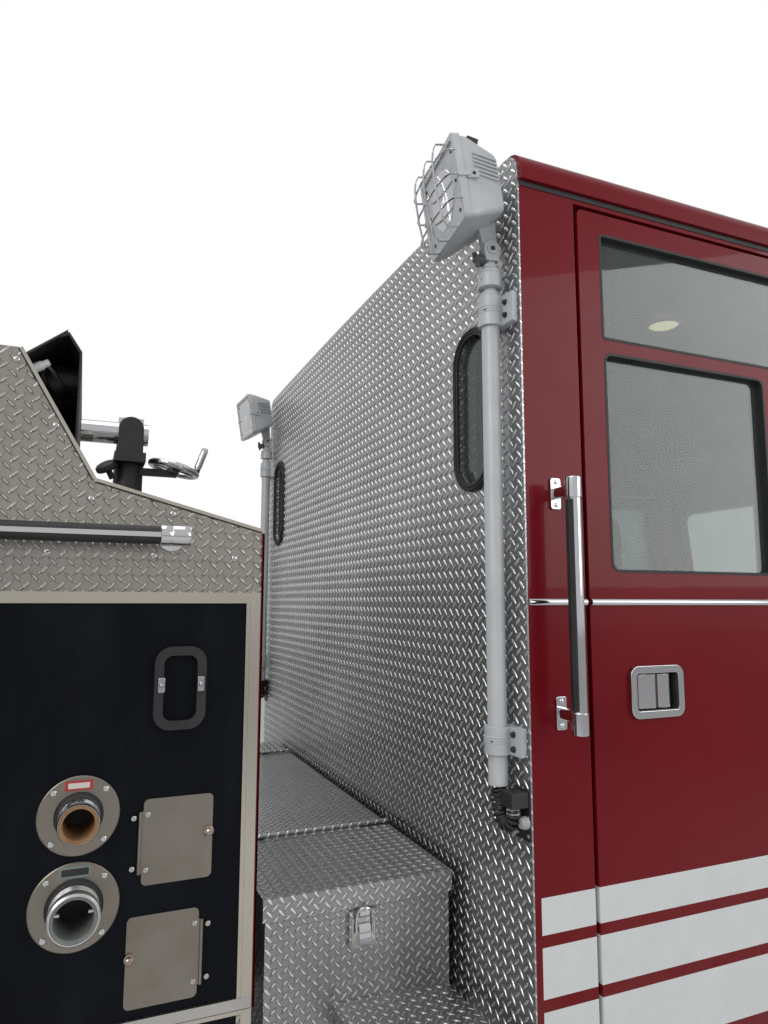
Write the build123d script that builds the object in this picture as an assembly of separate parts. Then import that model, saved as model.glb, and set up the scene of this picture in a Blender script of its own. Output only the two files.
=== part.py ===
"""Pumper fire truck: custom chassis, raised-roof tilt cab, side-mount pump, hose body.

Millimetres. X forward, Y to the truck's left, Z up from the ground. The origin is on the
ground under the middle of the truck's box.
"""

import math
import os

from build123d import *

# Overall layout along X
overall_length = 9400.0
bumper_reach = 480.0
cab_length = 3000.0
cab_width = 2438.0
front_axle_ahead = 1660.0
wheelbase = 4900.0
pump_gap = 607.0
pump_house_length = 1153.0
tailboard_depth = 250.0

bumper_front = overall_length / 2
cab_front = bumper_front - bumper_reach
cab_back = cab_front - cab_length
front_axle = cab_back + front_axle_ahead
rear_axle = front_axle - wheelbase
pump_front = cab_back - pump_gap
pump_back = pump_front - pump_house_length
tail_end = -overall_length / 2
body_front = pump_back - 20.0
body_back = tail_end + tailboard_depth
half = cab_width / 2

# Running gear
tyre_radius = 535.0
tyre_width = 300.0
rear_tyre_width = 276.0
rim_radius = 286.0
rim_lip_inset = 20.0
rim_lip = 14.0
bead_width_less = 37.0
front_wheel_y = 1045.0
kingpin_y = 870.0
rear_outer_y = 1064.0
rear_inner_y = 744.0
rail_half = 432.0
rail_web = 10.0
rail_flange = 89.0
arch_radius = 640.0
rear_arch_radius = 610.0
spindle_radius = 45.0
rear_spindle_radius = 60.0
kingpin_radius = 24.0
running_fit = 0.06
leaf_thickness = 14.0
front_spring_reach = 700.0
front_spring_top = 520.3 + 5 * leaf_thickness
rear_spring_reach = 690.0
rear_spring_top = 607.3 + 6 * leaf_thickness

# Cab
wall = 60.0
sheet = 4.0
skirt_bottom = 540.0
door_bottom = 560.0
door_top = 2755.0
front_door_top = 2470.0
door_gap = 12.0
crew_door_rear = cab_back + 177.0
crew_door_length = 823.0
front_door_length = 908.0
front_door_rear = cab_front - 210.0 - front_door_length
roof_seat = 2800.0
roof_edge_top = 2872.0
roof_crown = 14.0
roof_round = 55.0
roof_lip_drop = 10.0
roof_overhang = 12.0
raised_roof_length = 1790.0
roof_slope_length = 330.0
roof_step = 290.0
mask_depth = 120.0
mask_bottom = 760.0
belt_height = 1500.0
screen_rake = 108.0
screen_top = 2450.0
window_low = 1840.0
window_high = 2388.0
transom_low = 2421.0
transom_high = 2702.0
glass_thickness = 6.0
glass_inset = 18.0
seat_gap = 0.3
hinge_radius = 11.0
deck_height = 1030.0
deck_gauge = 30.0
tunnel_top = 1500.0
wheel_box_top = deck_height + 180.0
well_inner = 800.0
pivot_radius = 22.0
pivot_lug = (472.0, 496.0)

# Frame rails, which lie between the axles' springs and the cab's deck
rail_clearance = 165.0
cab_rest_height = 76.0
rail_low = tyre_radius + rail_clearance
rail_top = deck_height - cab_rest_height
tilt_pivot = (cab_front - 130.0, rail_low + 100.0)
drop_rail_start = cab_front - 580.0
drop_rail_depth = 130.0
drop_rail_gap = 40.0
rail_nose = 40.0
shaft_height = rail_low + 160.0
pump_shaft_front = pump_front - 93.0
cross_member_half = 40.0
tail_bay = (body_back + 125.0, rear_axle - 660.0)

# Floodlights
pole_x = cab_back - 38.0
pole_y = half - 71.0
pole_radius = 22.2
inner_pole_radius = 17.0
pole_bottom = 1360.0
pole_top = 2520.0
lamp_axis_height = 2628.0
lamp_width = 230.0
lamp_height = 200.0
lamp_depth = 112.0
lamp_face_back = 89.0
lamp_centre_rise = 134.0
lamp_tilt = 9.0
lamp_yaw_left = 3.6
lamp_yaw_right = -8.1

# Crosswise box
box_rear = cab_back - 510.0
box_front = cab_back - 25.0
box_half = half - 320.0
box_top = deck_height + 64.0
box_bottom = 640.0
box_wall = 6.0
lid_lip = 49.0
lid_seam_right = 481.0
lid_seam_left = 641.0

# Pump house and hose body
plate_front_top = 1906.0
plate_kink = (pump_front - 306.0, 1986.0)
body_top = 2213.0
plate_crest = (pump_front - 438.0, body_top)
panel_low = 1065.0
panel_high = 1765.0
lower_panel_low = 660.0
trim_width = 19.0
panel_face = half - 3.0
panel_thickness = 5.0
body_bottom = 560.0
tower_depth = 489.0
hose_floor = 1500.0
door_low = 610.0
door_high = 2060.0
step_height = 838.0
running_board_top = 620.0


def block(x, y, z):
    """Box from a (low, high) span along each axis."""
    spans = (x, y, z)
    size = [high - low for low, high in spans]
    middle = [(high + low) / 2 for low, high in spans]
    return Pos(*middle) * Box(*size)


def outline_face(points, corner):
    """Closed face through the points, with every corner rounded to the same radius."""
    if corner:
        return make_face(FilletPolyline(*points, radius=corner, close=True))
    return make_face(Polyline(*points, close=True))


def prism_x(outline, x, corner=0.0):
    """Outline of (y, z) points carried along the X span."""
    face = outline_face([(x[0], y, z) for y, z in outline], corner)
    return Part(Solid.extrude(face.face(), Vector(x[1] - x[0], 0, 0)).wrapped)


def prism_y(outline, y, corner=0.0):
    """Outline of (x, z) points carried along the Y span."""
    face = outline_face([(x, y[0], z) for x, z in outline], corner)
    return Part(Solid.extrude(face.face(), Vector(0, y[1] - y[0], 0)).wrapped)


def prism_z(outline, z, corner=0.0):
    """Outline of (x, y) points carried along the Z span."""
    face = outline_face([(x, y, z[0]) for x, y in outline], corner)
    return Part(Solid.extrude(face.face(), Vector(0, 0, z[1] - z[0])).wrapped)


def rectangle(low, high):
    """Corner points of a rectangle between two opposite corners."""
    return [(low[0], low[1]), (high[0], low[1]), (high[0], high[1]), (low[0], high[1])]


def rod(start, end, radius):
    """Round bar between two points."""
    run = Vector(*end) - Vector(*start)
    plane = Plane(origin=start, z_dir=run)
    return Part(Solid.make_cylinder(radius, run.length, plane).wrapped)


def pipe(start, end, radius, bore):
    """Round tube between two points."""
    return rod(start, end, radius) - rod(start, end, bore)


def spin_y(profile, centre):
    """Closed profile of (radius, y) points turned about the Y line through centre (x, z)."""
    points = [(centre[0] + radius, y, centre[1]) for radius, y in profile]
    face = make_face(Polyline(*points, close=True))
    axis = Axis((centre[0], 0, centre[1]), (0, 1, 0))
    return revolve(face, axis)


def mirrored(shape):
    """The same shape on the truck's other side."""
    return mirror(shape, about=Plane.XZ)


def group(*shapes):
    """Several solids that don't touch, as one piece."""
    return Compound([solid for shape in shapes for solid in shape.solids()])


def both(shape):
    """A shape and its mirror image on the other side, as one piece."""
    return group(shape, mirrored(shape))


def write(name, shape):
    """Write one sub-part."""
    export_step(shape, f"parts/{name}.step")


def roof_line(x):
    """Height that the roof's seat drops by at a place along the cab."""
    slope_start = cab_back + raised_roof_length
    share = (x - slope_start) / roof_slope_length
    return roof_step * min(max(share, 0.0), 1.0)


# Chassis


def tail_place(share):
    """Place along the frame behind the rear springs, as a share of the room there."""
    return tail_bay[0] + share * (tail_bay[1] - tail_bay[0])


def frame_rails():
    """Two C rails with cross members, the cab's pivot tube and rear rests, and the bumper's drop rails."""
    inner = rail_half - rail_flange
    web = rail_half - rail_web
    channel = [
        (rail_half, rail_low),
        (rail_half, rail_top),
        (inner, rail_top),
        (inner, rail_top - rail_web),
        (web, rail_top - rail_web),
        (web, rail_low + rail_web),
        (inner, rail_low + rail_web),
        (inner, rail_low),
    ]
    span = (body_back + 25.0 + seat_gap, tilt_pivot[0] + 30.0)
    rails = prism_x(channel, span) + mirrored(prism_x(channel, span))
    cross_members = (
        span[0] + 60.0,
        tail_place(0.623),
        rear_axle - 620.0,
        rear_axle + 620.0,
        pump_front - 13.0,
        cab_back + 680.0,
        tilt_pivot[0] - 80.0,
    )
    for x in cross_members:
        across = (x - cross_member_half, x + cross_member_half)
        rails += block(across, (-web, web), (rail_low + 10.0, rail_top - 4.0))
    # Noses chamfered below, so the tilted mask's inner face passes them
    nose = [
        (span[1] - rail_nose, rail_low - 1.0),
        (span[1] + 1.0, rail_low - 1.0),
        (span[1] + 1.0, rail_low + rail_nose + 1.0),
        (span[1], rail_low + rail_nose),
        (span[1] - rail_nose, rail_low),
    ]
    rails -= prism_y(nose, (-rail_half - 1.0, rail_half + 1.0))
    rails -= rod((pump_shaft_front - 20.0, 0, shaft_height), (cab_back + 780.0, 0, shaft_height), 75.0)
    pivot_end = pivot_lug[1] + 2.0
    pivot = [(tilt_pivot[0], side * pivot_end, tilt_pivot[1]) for side in (-1, 1)]
    rails += rod(pivot[0], pivot[1], pivot_radius)
    for side in (-1, 1):
        y = sorted((side * (rail_half - 70.0), side * rail_half))
        drop = (rail_low - drop_rail_depth, rail_low - drop_rail_gap)
        rails += block((drop_rail_start, bumper_front - 60.0 - seat_gap), y, drop)
        rails += block((drop_rail_start, cab_front - 200.0), y, (drop[1], rail_low))
        # Rest under the cab's deck behind the doors
        rails += block((cab_back + 90.0, cab_back + 190.0), y, (rail_top, deck_height - seat_gap))
        # Spring hangers, two for each pack
        for axle, reach, seat in ((front_axle, front_spring_reach, front_spring_top),
                                  (rear_axle, rear_spring_reach, rear_spring_top)):
            for end in (-1, 1):
                x = axle + end * (reach - 40.0)
                rails += block((x - 30.0, x + 30.0), y, (seat + seat_gap, rail_low + 1.0))
    return rails


def axles_and_springs():
    """Front I beam with kingpins, rear housing with spindles, and four spring packs."""
    beam = block((front_axle - 50, front_axle + 50), (-640, 640), (420, 520))
    for side in (-1, 1):
        slope = [(side * 600, 420), (side * 600, 520), (side * 800, 590), (side * 800, 490)]
        beam += prism_x(slope, (front_axle - 45, front_axle + 45))
        near = side * (kingpin_y - 80)
        arm = sorted((near, side * kingpin_y))
        beam += block((front_axle - 40, front_axle + 40), arm, (485, 585))
        foot = (front_axle, side * kingpin_y)
        beam += rod((*foot, 475), (*foot, 595), 44)
        beam += rod((*foot, 440), (*foot, 630), kingpin_radius)
    housing = rod((rear_axle, -700, tyre_radius), (rear_axle, 700, tyre_radius), 72)
    housing += rod((rear_axle - 120, 0, tyre_radius), (rear_axle + 120, 0, tyre_radius), 215)
    housing += rod((rear_axle - 175, 0, tyre_radius), (rear_axle + 200, 0, tyre_radius), 120)
    for side in (-1, 1):
        reach = side * (rear_outer_y + 110)
        root = (rear_axle, side * 690, tyre_radius)
        housing += rod(root, (rear_axle, reach, tyre_radius), rear_spindle_radius)
    packs = []
    # Columns: axle x, seat height, half length, leaf count
    for x, top, reach, leaves in ((front_axle, front_spring_top, front_spring_reach, 5),
                                  (rear_axle, rear_spring_top, rear_spring_reach, 6)):
        seat = top - leaves * leaf_thickness
        for side in (-1, 1):
            y = sorted((side * (rail_half - 75), side * (rail_half + 5)))
            y = (y[0], y[1])
            pack = None
            for leaf in range(leaves):
                length = reach * (0.35 + 0.65 * (leaf + 1) / leaves)
                z = seat + leaf_thickness * leaf
                layer = block((x - length, x + length), y, (z, z + leaf_thickness))
                pack = layer if pack is None else pack + layer
            packs.append(pack)
    return group(beam, housing, *packs)


def engine_and_drive_line():
    """The engine as one plain block on its mounts, the gearbox, the pump and the shafts between them."""
    engine_x = (cab_front - 1460.0, cab_front - 280.0)
    sump = 760.0
    waist = 990.0
    engine_top = tunnel_top - 70.0
    engine = block(engine_x, (-340, 340), (waist, engine_top)) + block(engine_x, (-300, 300), (sump, waist))
    mount_reach = rail_half - rail_web - seat_gap
    for x in (engine_x[0] + 140.0, engine_x[1] - 240.0):
        engine += block((x, x + 80), (-mount_reach, mount_reach), (rail_low + 100.0, rail_low + 140.0))
    gearbox_rear = engine_x[0] - 480.0
    gearbox = rod((gearbox_rear, 0, shaft_height), (engine_x[0], 0, shaft_height), 150)
    shaft = rod((pump_shaft_front, 0, shaft_height), (gearbox_rear, 0, shaft_height), 48)
    pump_rear = pump_back + 380.0
    pump_axis = 1000.0
    pump = block((pump_rear, pump_shaft_front), (-300, 300), (rail_low - 20.0, pump_axis + 240.0))
    pump += rod((pump_rear, 0, pump_axis), (pump_shaft_front, 0, pump_axis), 310)
    rear_shaft = rod((rear_axle + 208, 0, tyre_radius), (pump_rear + 10.0, 0, rail_low + 80.0), 48)
    return engine + gearbox + shaft + pump + rear_shaft


def chassis_tanks():
    """Fuel tank between the rear rails, and air tanks outside the rails under the cab."""
    fuel_half = rail_half - rail_flange - seat_gap
    fuel_x = (tail_place(0.173), tail_place(0.574))
    fuel = block(fuel_x, (-fuel_half, fuel_half), (rail_low - 140.0, rail_top - 34.0))
    fuel = fillet(fuel.edges().filter_by(Axis.X).group_by(Axis.Z)[0], 60)
    tanks = [fuel]
    for side in (-1, 1):
        y = side * (rail_half + 130.0 + seat_gap)
        z = rail_low + 100.0
        tank = rod((cab_back + 120.0, y, z), (cab_back + 840.0, y, z), 125)
        strap_y = sorted((side * (rail_half + seat_gap), y))
        for x in (cab_back + 280.0, cab_back + 640.0):
            tank += block((x, x + 40), strap_y, (z - 40, z + 40))
        tanks.append(tank)
    return group(*tanks)


bumper_back = cab_front + 15.0
bumper_top = 740.0
bumper_low = 450.0
bumper_corner = 150.0
bumper_gauge = 10.0
eye_y = 300.0
eye_half = 12.0
eye_height = 430.0


def bumper_plan(inset):
    """Plan of the wrap-round bumper in (x, y), less an inset on its outer sides."""
    corner = bumper_front - bumper_corner - 0.4 * inset
    tip = half - bumper_corner - 0.4 * inset
    reach = half - inset
    nose = bumper_front - inset
    return [
        (bumper_back, -reach),
        (corner, -reach),
        (nose, -tip),
        (nose, tip),
        (corner, reach),
        (bumper_back, reach),
    ]


def bumper_band():
    """Wrap-round steel bumper with a mounting plate at each drop rail."""
    top = bumper_top - sheet - seat_gap
    band = prism_z(bumper_plan(0.0), (bumper_low, top))
    band -= prism_z(bumper_plan(bumper_gauge), (bumper_low - 1, top + 1))
    for side in (-1, 1):
        y = sorted((side * (rail_half - 70.0), side * rail_half))
        band += block((bumper_front - 60, bumper_front - bumper_gauge), y, (bumper_low + 60, top))
    return band


def bumper_deck():
    """Tread-plate deck on the bumper's upper edge."""
    return prism_z(bumper_plan(0.0), (bumper_top - sheet, bumper_top))


def tow_eyes():
    """Two tow eyes on uprights behind the bumper's face."""
    face = bumper_front - bumper_gauge - seat_gap
    eyes = []
    for side in (-1, 1):
        y = (side * eye_y - eye_half, side * eye_y + eye_half)
        eye = prism_y(rectangle((face - 100, eye_height - 30), (face, eye_height + 90)), y, 20)
        hole_x = bumper_front - 62.0
        eye -= rod((hole_x, y[0], eye_height), (hole_x, y[1], eye_height), 20)
        eyes.append(eye + block((face - 50, face), y, (bumper_low, bumper_top - 5)))
    return group(*eyes)


def front_bumper():
    """The bumper's band and the tow eyes behind it."""
    return group(bumper_band(), tow_eyes())


# Wheels


def tyre(y, width):
    """Tyre centred at y on the axle x = 0: flat tread and walls bulged to the full width."""
    side = width / 2
    foot = side - bead_width_less
    bead = rim_radius + seat_gap
    bulge = tyre_radius - 95.0
    tread = side - 16.0
    profile = [
        (bead, -foot), (bulge, -side), (tyre_radius, -tread),
        (tyre_radius, tread), (bulge, side), (bead, foot),
    ]
    return Pos(0, y, 0) * spin_y(profile, (0, 0))


def rim(y, outward, hub_bore, drum, reach, holes):
    """Disc wheel: barrel with two lips, dished disc with hand holes and a hub bore."""
    inner = rim_radius - 12.0
    profile = [
        (inner, -reach),
        (rim_radius + rim_lip, -reach),
        (rim_radius, -reach + 16),
        (rim_radius, reach - 16),
        (rim_radius + rim_lip, reach),
        (inner, reach),
        (inner, drum + 12),
        (hub_bore, drum + 46),
        (hub_bore, drum + 32),
        (inner, drum - 2),
    ]
    wheel = spin_y(profile, (0, 0))
    for step in range(holes):
        angle = 2 * math.pi * step / holes
        hole = (212 * math.cos(angle), 212 * math.sin(angle))
        wheel -= rod((hole[0], drum - 20, hole[1]), (hole[0], drum + 60, hole[1]), 29)
    if outward < 0:
        wheel = mirror(wheel, about=Plane.XZ)
    return Pos(0, y, 0) * wheel


def front_rim():
    """Left front wheel: rim, brake disc and hub with its bore on the knuckle's spindle."""
    wheel = rim(0, 1, 90, -40, tyre_width / 2 - rim_lip_inset, 8)
    hub_low = 985.0 - front_wheel_y
    hub = pipe((0, hub_low, 0), (0, 70, 0), 92, spindle_radius + running_fit)
    cap = rod((0, 70, 0), (0, 92, 0), 72)
    disc = pipe((0, hub_low, 0), (0, hub_low + 40, 0), 205, 91)
    return Pos(front_axle, front_wheel_y, tyre_radius) * (wheel + hub + cap + disc)


def rear_rims():
    """Left rear wheels: two rims back to back on one hub with its drum."""
    reach = rear_tyre_width / 2 - rim_lip_inset
    outer = rim(rear_outer_y, -1, 120, -52, reach, 8)
    inner = rim(rear_inner_y, 1, 120, 92, reach, 0)
    face = rear_outer_y
    hub = pipe((0, 715, 0), (0, face + 112, 0), 122, rear_spindle_radius + running_fit)
    cap = rod((0, face + 112, 0), (0, face + 134, 0), 110)
    drum = pipe((0, 650, 0), (0, 830, 0), 208, 121)
    drum -= pipe((0, 649, 0), (0, 716, 0), 190, 120)
    return Pos(rear_axle, 0, tyre_radius) * (outer + inner + hub + cap + drum)


def knuckle():
    """Left steering knuckle: two arms round the kingpin, a web and the wheel's spindle."""
    foot = (front_axle, kingpin_y)
    bore = rod((*foot, 400), (*foot, 660), kingpin_radius + running_fit)
    axle_room = rod((*foot, 474.6), (*foot, 595.4), 60)
    arms = block((front_axle - 38, front_axle + 38), (kingpin_y - 38, kingpin_y + 100), (440, 630))
    arms = fillet(arms.edges().filter_by(Axis.Z).sort_by(Axis.Y)[:2], 36)
    arms -= axle_room
    arms -= block((front_axle - 60, front_axle + 60), (kingpin_y - 60, kingpin_y + 30), (474.6, 595.4))
    arms -= bore
    root = (front_axle, kingpin_y + 70, tyre_radius)
    spindle = rod(root, (front_axle, front_wheel_y + 66, tyre_radius), spindle_radius)
    steer_arm = block((front_axle - 180, front_axle - 30), (kingpin_y - 20, kingpin_y + 10), (440, 470))
    steer_arm -= bore
    return arms + spindle + steer_arm


# Cab


def cab_side_outline():
    """Side outline of the cab in (x, z), from the rear wall's sheet to the front mask."""
    back = cab_back + sheet
    front = cab_front - mask_depth
    slope_start = cab_back + raised_roof_length
    slope_end = slope_start + roof_slope_length
    low_seat = roof_seat - roof_step
    return [
        (back, skirt_bottom),
        (front - 20, skirt_bottom),
        (front, mask_bottom),
        (front, belt_height),
        (front - screen_rake * (low_seat - belt_height) / (screen_top - belt_height), low_seat),
        (slope_end, low_seat),
        (slope_start, roof_seat),
        (back, roof_seat),
    ]


def front_door_outline(rear, front, low, top):
    """Outline of the front door in (x, z), its front edge raked with the windscreen above the belt."""
    rake = screen_rake / (screen_top - belt_height)
    head = front - rake * (top - belt_height)
    return [(rear, low), (front, low), (front, belt_height), (head, top), (rear, top)]


def cab_side_frame():
    """Left side frame: the cab's outline less both doors, the middle window and the arch."""
    span = (half - wall, half)
    frame = prism_y(cab_side_outline(), span)
    through = (half - wall - 1, half + 1)
    crew_front = crew_door_rear + crew_door_length + door_gap
    crew = ((crew_door_rear - door_gap, skirt_bottom - 1), (crew_front, door_top + 10))
    front = ((front_door_rear - door_gap, skirt_bottom - 1),
             (front_door_rear + front_door_length + door_gap, front_door_top + 10))
    frame -= prism_y(rectangle(*crew), through)
    frame -= prism_y(front_door_outline(front[0][0], front[1][0], front[0][1], front[1][1]), through)
    arch = rod((front_axle, through[0], tyre_radius), (front_axle, through[1], tyre_radius), arch_radius)
    below = block((front_axle - arch_radius, front_axle + arch_radius), through, (0, tyre_radius))
    window_x = (crew[1][0] + 110, front[0][0] - 110)
    window = prism_y(rectangle((window_x[0], window_low), (window_x[1], window_high)), through, 40)
    return frame - arch - below - window


def middle_window_glass():
    """Left fixed window between the doors."""
    low_x = crew_door_rear + crew_door_length + door_gap + 110
    high_x = front_door_rear - door_gap - 110
    pane = rectangle((low_x + seat_gap, window_low + seat_gap), (high_x - seat_gap, window_high - seat_gap))
    return prism_y(pane, (half - glass_inset - glass_thickness, half - glass_inset), 40)


def pill(y, z, radius, x):
    """Upright slot with round ends, cut along X."""
    return prism_x(rectangle((y[0], z[0]), (y[1], z[1])), x, radius)


pill_y = (half - 305.0, half - 147.0)
pill_z = (2069.0, 2475.0)
pill_round = 72.0


def roof_section(x, reach, top, low, corner, crown):
    """Closed wire across the cab: upright sides, round corners and a crowned top."""
    wires = [
        Line((x, -reach, low), (x, -reach, top - corner)),
        ThreePointArc((x, -reach, top - corner),
                      (x, -reach + corner * (1 - math.sqrt(0.5)), top - corner * (1 - math.sqrt(0.5))),
                      (x, -reach + corner, top)),
        ThreePointArc((x, -reach + corner, top), (x, 0, top + crown), (x, reach - corner, top)),
        ThreePointArc((x, reach - corner, top),
                      (x, reach - corner * (1 - math.sqrt(0.5)), top - corner * (1 - math.sqrt(0.5))),
                      (x, reach, top - corner)),
        Line((x, reach, top - corner), (x, reach, low)),
        Line((x, reach, low), (x, -reach, low)),
    ]
    return Wire([edge for wire in wires for edge in wire.edges()])


def roof_body(ends, reach, top, low, corner, crown):
    """Solid under the roof line through a list of places along the cab."""
    sections = [
        roof_section(x, reach, top - drop, low - drop, corner, crown)
        for x, drop in ends
    ]
    return Part(Solid.make_loft(sections, ruled=True).wrapped)


def cab_roof():
    """Raised roof: a crowned cap with round edges, a drip lip and a sloped step at the front."""
    slope_start = cab_back + raised_roof_length
    slope_end = slope_start + roof_slope_length
    nose = cab_front - 90.0
    rear = cab_back + sheet
    places = [rear, slope_start, slope_end, nose]
    outer = [(x, roof_line(x)) for x in places]
    reach = half + roof_overhang
    cap = roof_body(outer, reach, roof_edge_top, roof_seat - roof_lip_drop, roof_round, roof_crown)
    brim = [(rear - 1, 0), (slope_start, 0), (slope_end, roof_step), (nose - 8, roof_step)]
    cap -= roof_body(brim, half + 2, roof_seat, roof_seat - 100, 0.5, 0.1)
    inside = [(rear + wall - sheet, 0), (slope_start, 0), (slope_end, roof_step), (nose - 120, roof_step)]
    cap -= roof_body(inside, half - wall, roof_edge_top - 45, roof_seat - 5, 30, roof_crown)
    return cap


def cab_rear_wall():
    """Rear wall: tread-plate sheet to the roof's top over a thick core, with two pill windows."""
    sheet_span = (cab_back, cab_back + sheet)
    skin = block(sheet_span, (-half, half), (skirt_bottom, roof_seat - 40))
    crown = roof_section(cab_back, half, roof_edge_top - 2, roof_seat - 60, roof_round, roof_crown)
    skin += Part(Solid.extrude(make_face(crown).face(), Vector(sheet, 0, 0)).wrapped)
    core = block((cab_back + sheet, cab_back + wall), (-half + wall + seat_gap, half - wall - seat_gap),
                 (deck_height - 130, roof_seat - seat_gap))
    panel = skin + core
    notch = rail_half + 48.0
    gap = (skirt_bottom - 1, rail_top + 40.0)
    panel -= block((cab_back - 1, cab_back + wall + 1), (-notch, notch), gap)
    for side in (-1, 1):
        y = sorted((side * pill_y[0], side * pill_y[1]))
        panel -= pill(y, pill_z, pill_round, (cab_back - 1, cab_back + wall + 1))
    return panel


def cab_glass():
    """Windscreen halves, fixed middle windows and the rear wall's two pill panes."""
    panes = [middle_window_glass(), mirrored(middle_window_glass())]
    for side in (-1, 1):
        y = sorted((side * pill_y[0], side * pill_y[1]))
        y = (y[0] + seat_gap, y[1] - seat_gap)
        z = (pill_z[0] + seat_gap, pill_z[1] - seat_gap)
        panes.append(pill(y, z, pill_round, (cab_back + 10, cab_back + 10 + glass_thickness)))
    front = cab_front - 25.0
    slab = [(front, belt_height), (front - screen_rake, screen_top),
            (front - screen_rake - 8, screen_top), (front - 8, belt_height)]
    sheet_glass = prism_y(slab, (-half, half))
    for side in (-1, 1):
        cut = windscreen_cut(side, seat_gap)
        panes.append(sheet_glass & cut)
    return group(*panes)


def windscreen_cut(side, inset):
    """Prism through one half of the windscreen, less a clearance all round."""
    y = sorted((side * 28.0, side * (half - 125.0)))
    low = (y[0] + inset, 1570.0 + inset)
    high = (y[1] - inset, 2360.0 - inset)
    return prism_x(rectangle(low, high), (cab_front - 400, cab_front + 50), 60)


def mask_plan(x_back, x_front, reach, corner, z):
    """Plan of the front mask at one height, with round front corners."""
    wire = [
        Line((x_back, -reach, z), (x_front - corner, -reach, z)),
        ThreePointArc((x_front - corner, -reach, z),
                      (x_front - corner * (1 - math.sqrt(0.5)), -reach + corner * (1 - math.sqrt(0.5)), z),
                      (x_front, -reach + corner, z)),
        Line((x_front, -reach + corner, z), (x_front, reach - corner, z)),
        ThreePointArc((x_front, reach - corner, z),
                      (x_front - corner * (1 - math.sqrt(0.5)), reach - corner * (1 - math.sqrt(0.5)), z),
                      (x_front - corner, reach, z)),
        Line((x_front - corner, reach, z), (x_back, reach, z)),
        Line((x_back, reach, z), (x_back, -reach, z)),
    ]
    return Wire([edge for line in wire for edge in line.edges()])


grille_y = 430.0
grille_z = (880.0, 1390.0)


def cab_front_mask():
    """Front of the cab: round corners, raked windscreen frame and the grille's opening."""
    top = roof_seat - roof_step
    shift = screen_rake * (top - belt_height) / (screen_top - belt_height)
    corner = 100.0
    back = cab_front - mask_depth + seat_gap
    top_share = 1 - seat_gap / (top - belt_height)
    heights = ((mask_bottom, 0.0), (belt_height, 0.0), (top - seat_gap, shift * top_share))
    outer = [mask_plan(back - s, cab_front - s, half, corner, z) for z, s in heights]
    shell = Part(Solid.make_loft(outer, ruled=True).wrapped)
    shift_rate = shift / (top - belt_height)
    margins = ((mask_bottom - 1, 0.0), (belt_height, 0.0), (top + 1, shift_rate * (top + 1 - belt_height)))
    inside = half - wall
    inner = [mask_plan(back - s - 1, cab_front - wall - s, inside, corner - wall, z) for z, s in margins]
    shell -= Part(Solid.make_loft(inner, ruled=True).wrapped)
    for side in (-1, 1):
        shell -= windscreen_cut(side, 0.0)
    opening = rectangle((-grille_y, grille_z[0]), (grille_y, grille_z[1]))
    shell -= prism_x(opening, (cab_front - 200, cab_front + 1), 20)
    return shell


wheel_box_x = (front_axle - arch_radius - 30.0, front_axle + arch_radius + 30.0)
floor_side = half - wall - seat_gap
floor_front = cab_front - mask_depth - 20.0
well_spans = (
    (crew_door_rear + 10.0, wheel_box_x[0]),
    (wheel_box_x[1], front_door_rear + front_door_length - 10.0),
)


def cab_deck():
    """Deck with wheel boxes over the front tyres, the engine tunnel and the lugs on the pivot tube."""
    back = cab_back + wall + seat_gap
    tunnel = 470.0
    deck = block((back, floor_front), (-floor_side, floor_side), (deck_height, deck_height + deck_gauge))
    deck += block(wheel_box_x, (-floor_side, floor_side), (deck_height, wheel_box_top))
    tunnel_x = (wheel_box_x[0], floor_front)
    deck += block(tunnel_x, (-tunnel - deck_gauge, tunnel + deck_gauge), (deck_height, tunnel_top))
    room_x = (tunnel_x[0] + deck_gauge, floor_front + 1)
    deck -= block(room_x, (-tunnel, tunnel), (deck_height - 1, tunnel_top - deck_gauge))
    shape = deck
    for sign in (-1, 1):
        room = sorted((sign * (tunnel + deck_gauge), sign * (floor_side + 1)))
        tyre_x = (wheel_box_x[0] + deck_gauge, wheel_box_x[1] - deck_gauge)
        shape -= block(tyre_x, room, (deck_height - 1, wheel_box_top - deck_gauge))
        recess = sorted((sign * (well_inner - deck_gauge), sign * (floor_side + 1)))
        for x in well_spans:
            shape -= block(x, recess, (deck_height - 1, deck_height + deck_gauge + 1))
        # Lug that hangs the cab on the frame's pivot tube
        x, z = tilt_pivot
        lug = [(x - 150, deck_height + 1), (x - 45, z - 20), (x - 25, z - 45), (x + 25, z - 45),
               (x + 45, z - 20), (x + 45, z + 25), (floor_front, deck_height + 1)]
        lug_y = sorted((sign * pivot_lug[0], sign * pivot_lug[1]))
        shape += prism_y(lug, lug_y)
        shape -= rod((x, lug_y[0] - 1, z), (x, lug_y[1] + 1, z), pivot_radius + running_fit)
    return shape


def step_wells():
    """Four step wells in the deck, one inside each door."""
    wells = []
    for sign in (-1, 1):
        y = sorted((sign * (well_inner - deck_gauge + seat_gap), sign * floor_side))
        hollow_y = sorted((sign * well_inner, sign * (floor_side + 1)))
        for rear, front in well_spans:
            x = (rear + seat_gap, front - seat_gap)
            well = block(x, y, (door_bottom, deck_height + deck_gauge))
            hollow_x = (x[0] + deck_gauge, x[1] - deck_gauge)
            well -= block(hollow_x, hollow_y, (door_bottom + deck_gauge, deck_height + 60))
            wells.append(well)
    return group(*wells)


def cab_floor():
    """The deck and the step wells let into it."""
    return group(cab_deck(), step_wells())


def door_panel(outline, window_cuts, arch):
    """Left door as thick as the cab's wall, with windows cut and the wheel arch cut away."""
    span = (half - wall, half)
    through = (half - wall - 1, half + 1)
    panel = prism_y(outline, span, 14)
    if arch:
        reach = arch_radius + door_gap
        panel -= rod((front_axle, through[0], tyre_radius), (front_axle, through[1], tyre_radius), reach)
    for window, corner in window_cuts:
        panel -= prism_y(window, through, corner)
    return panel


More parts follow.
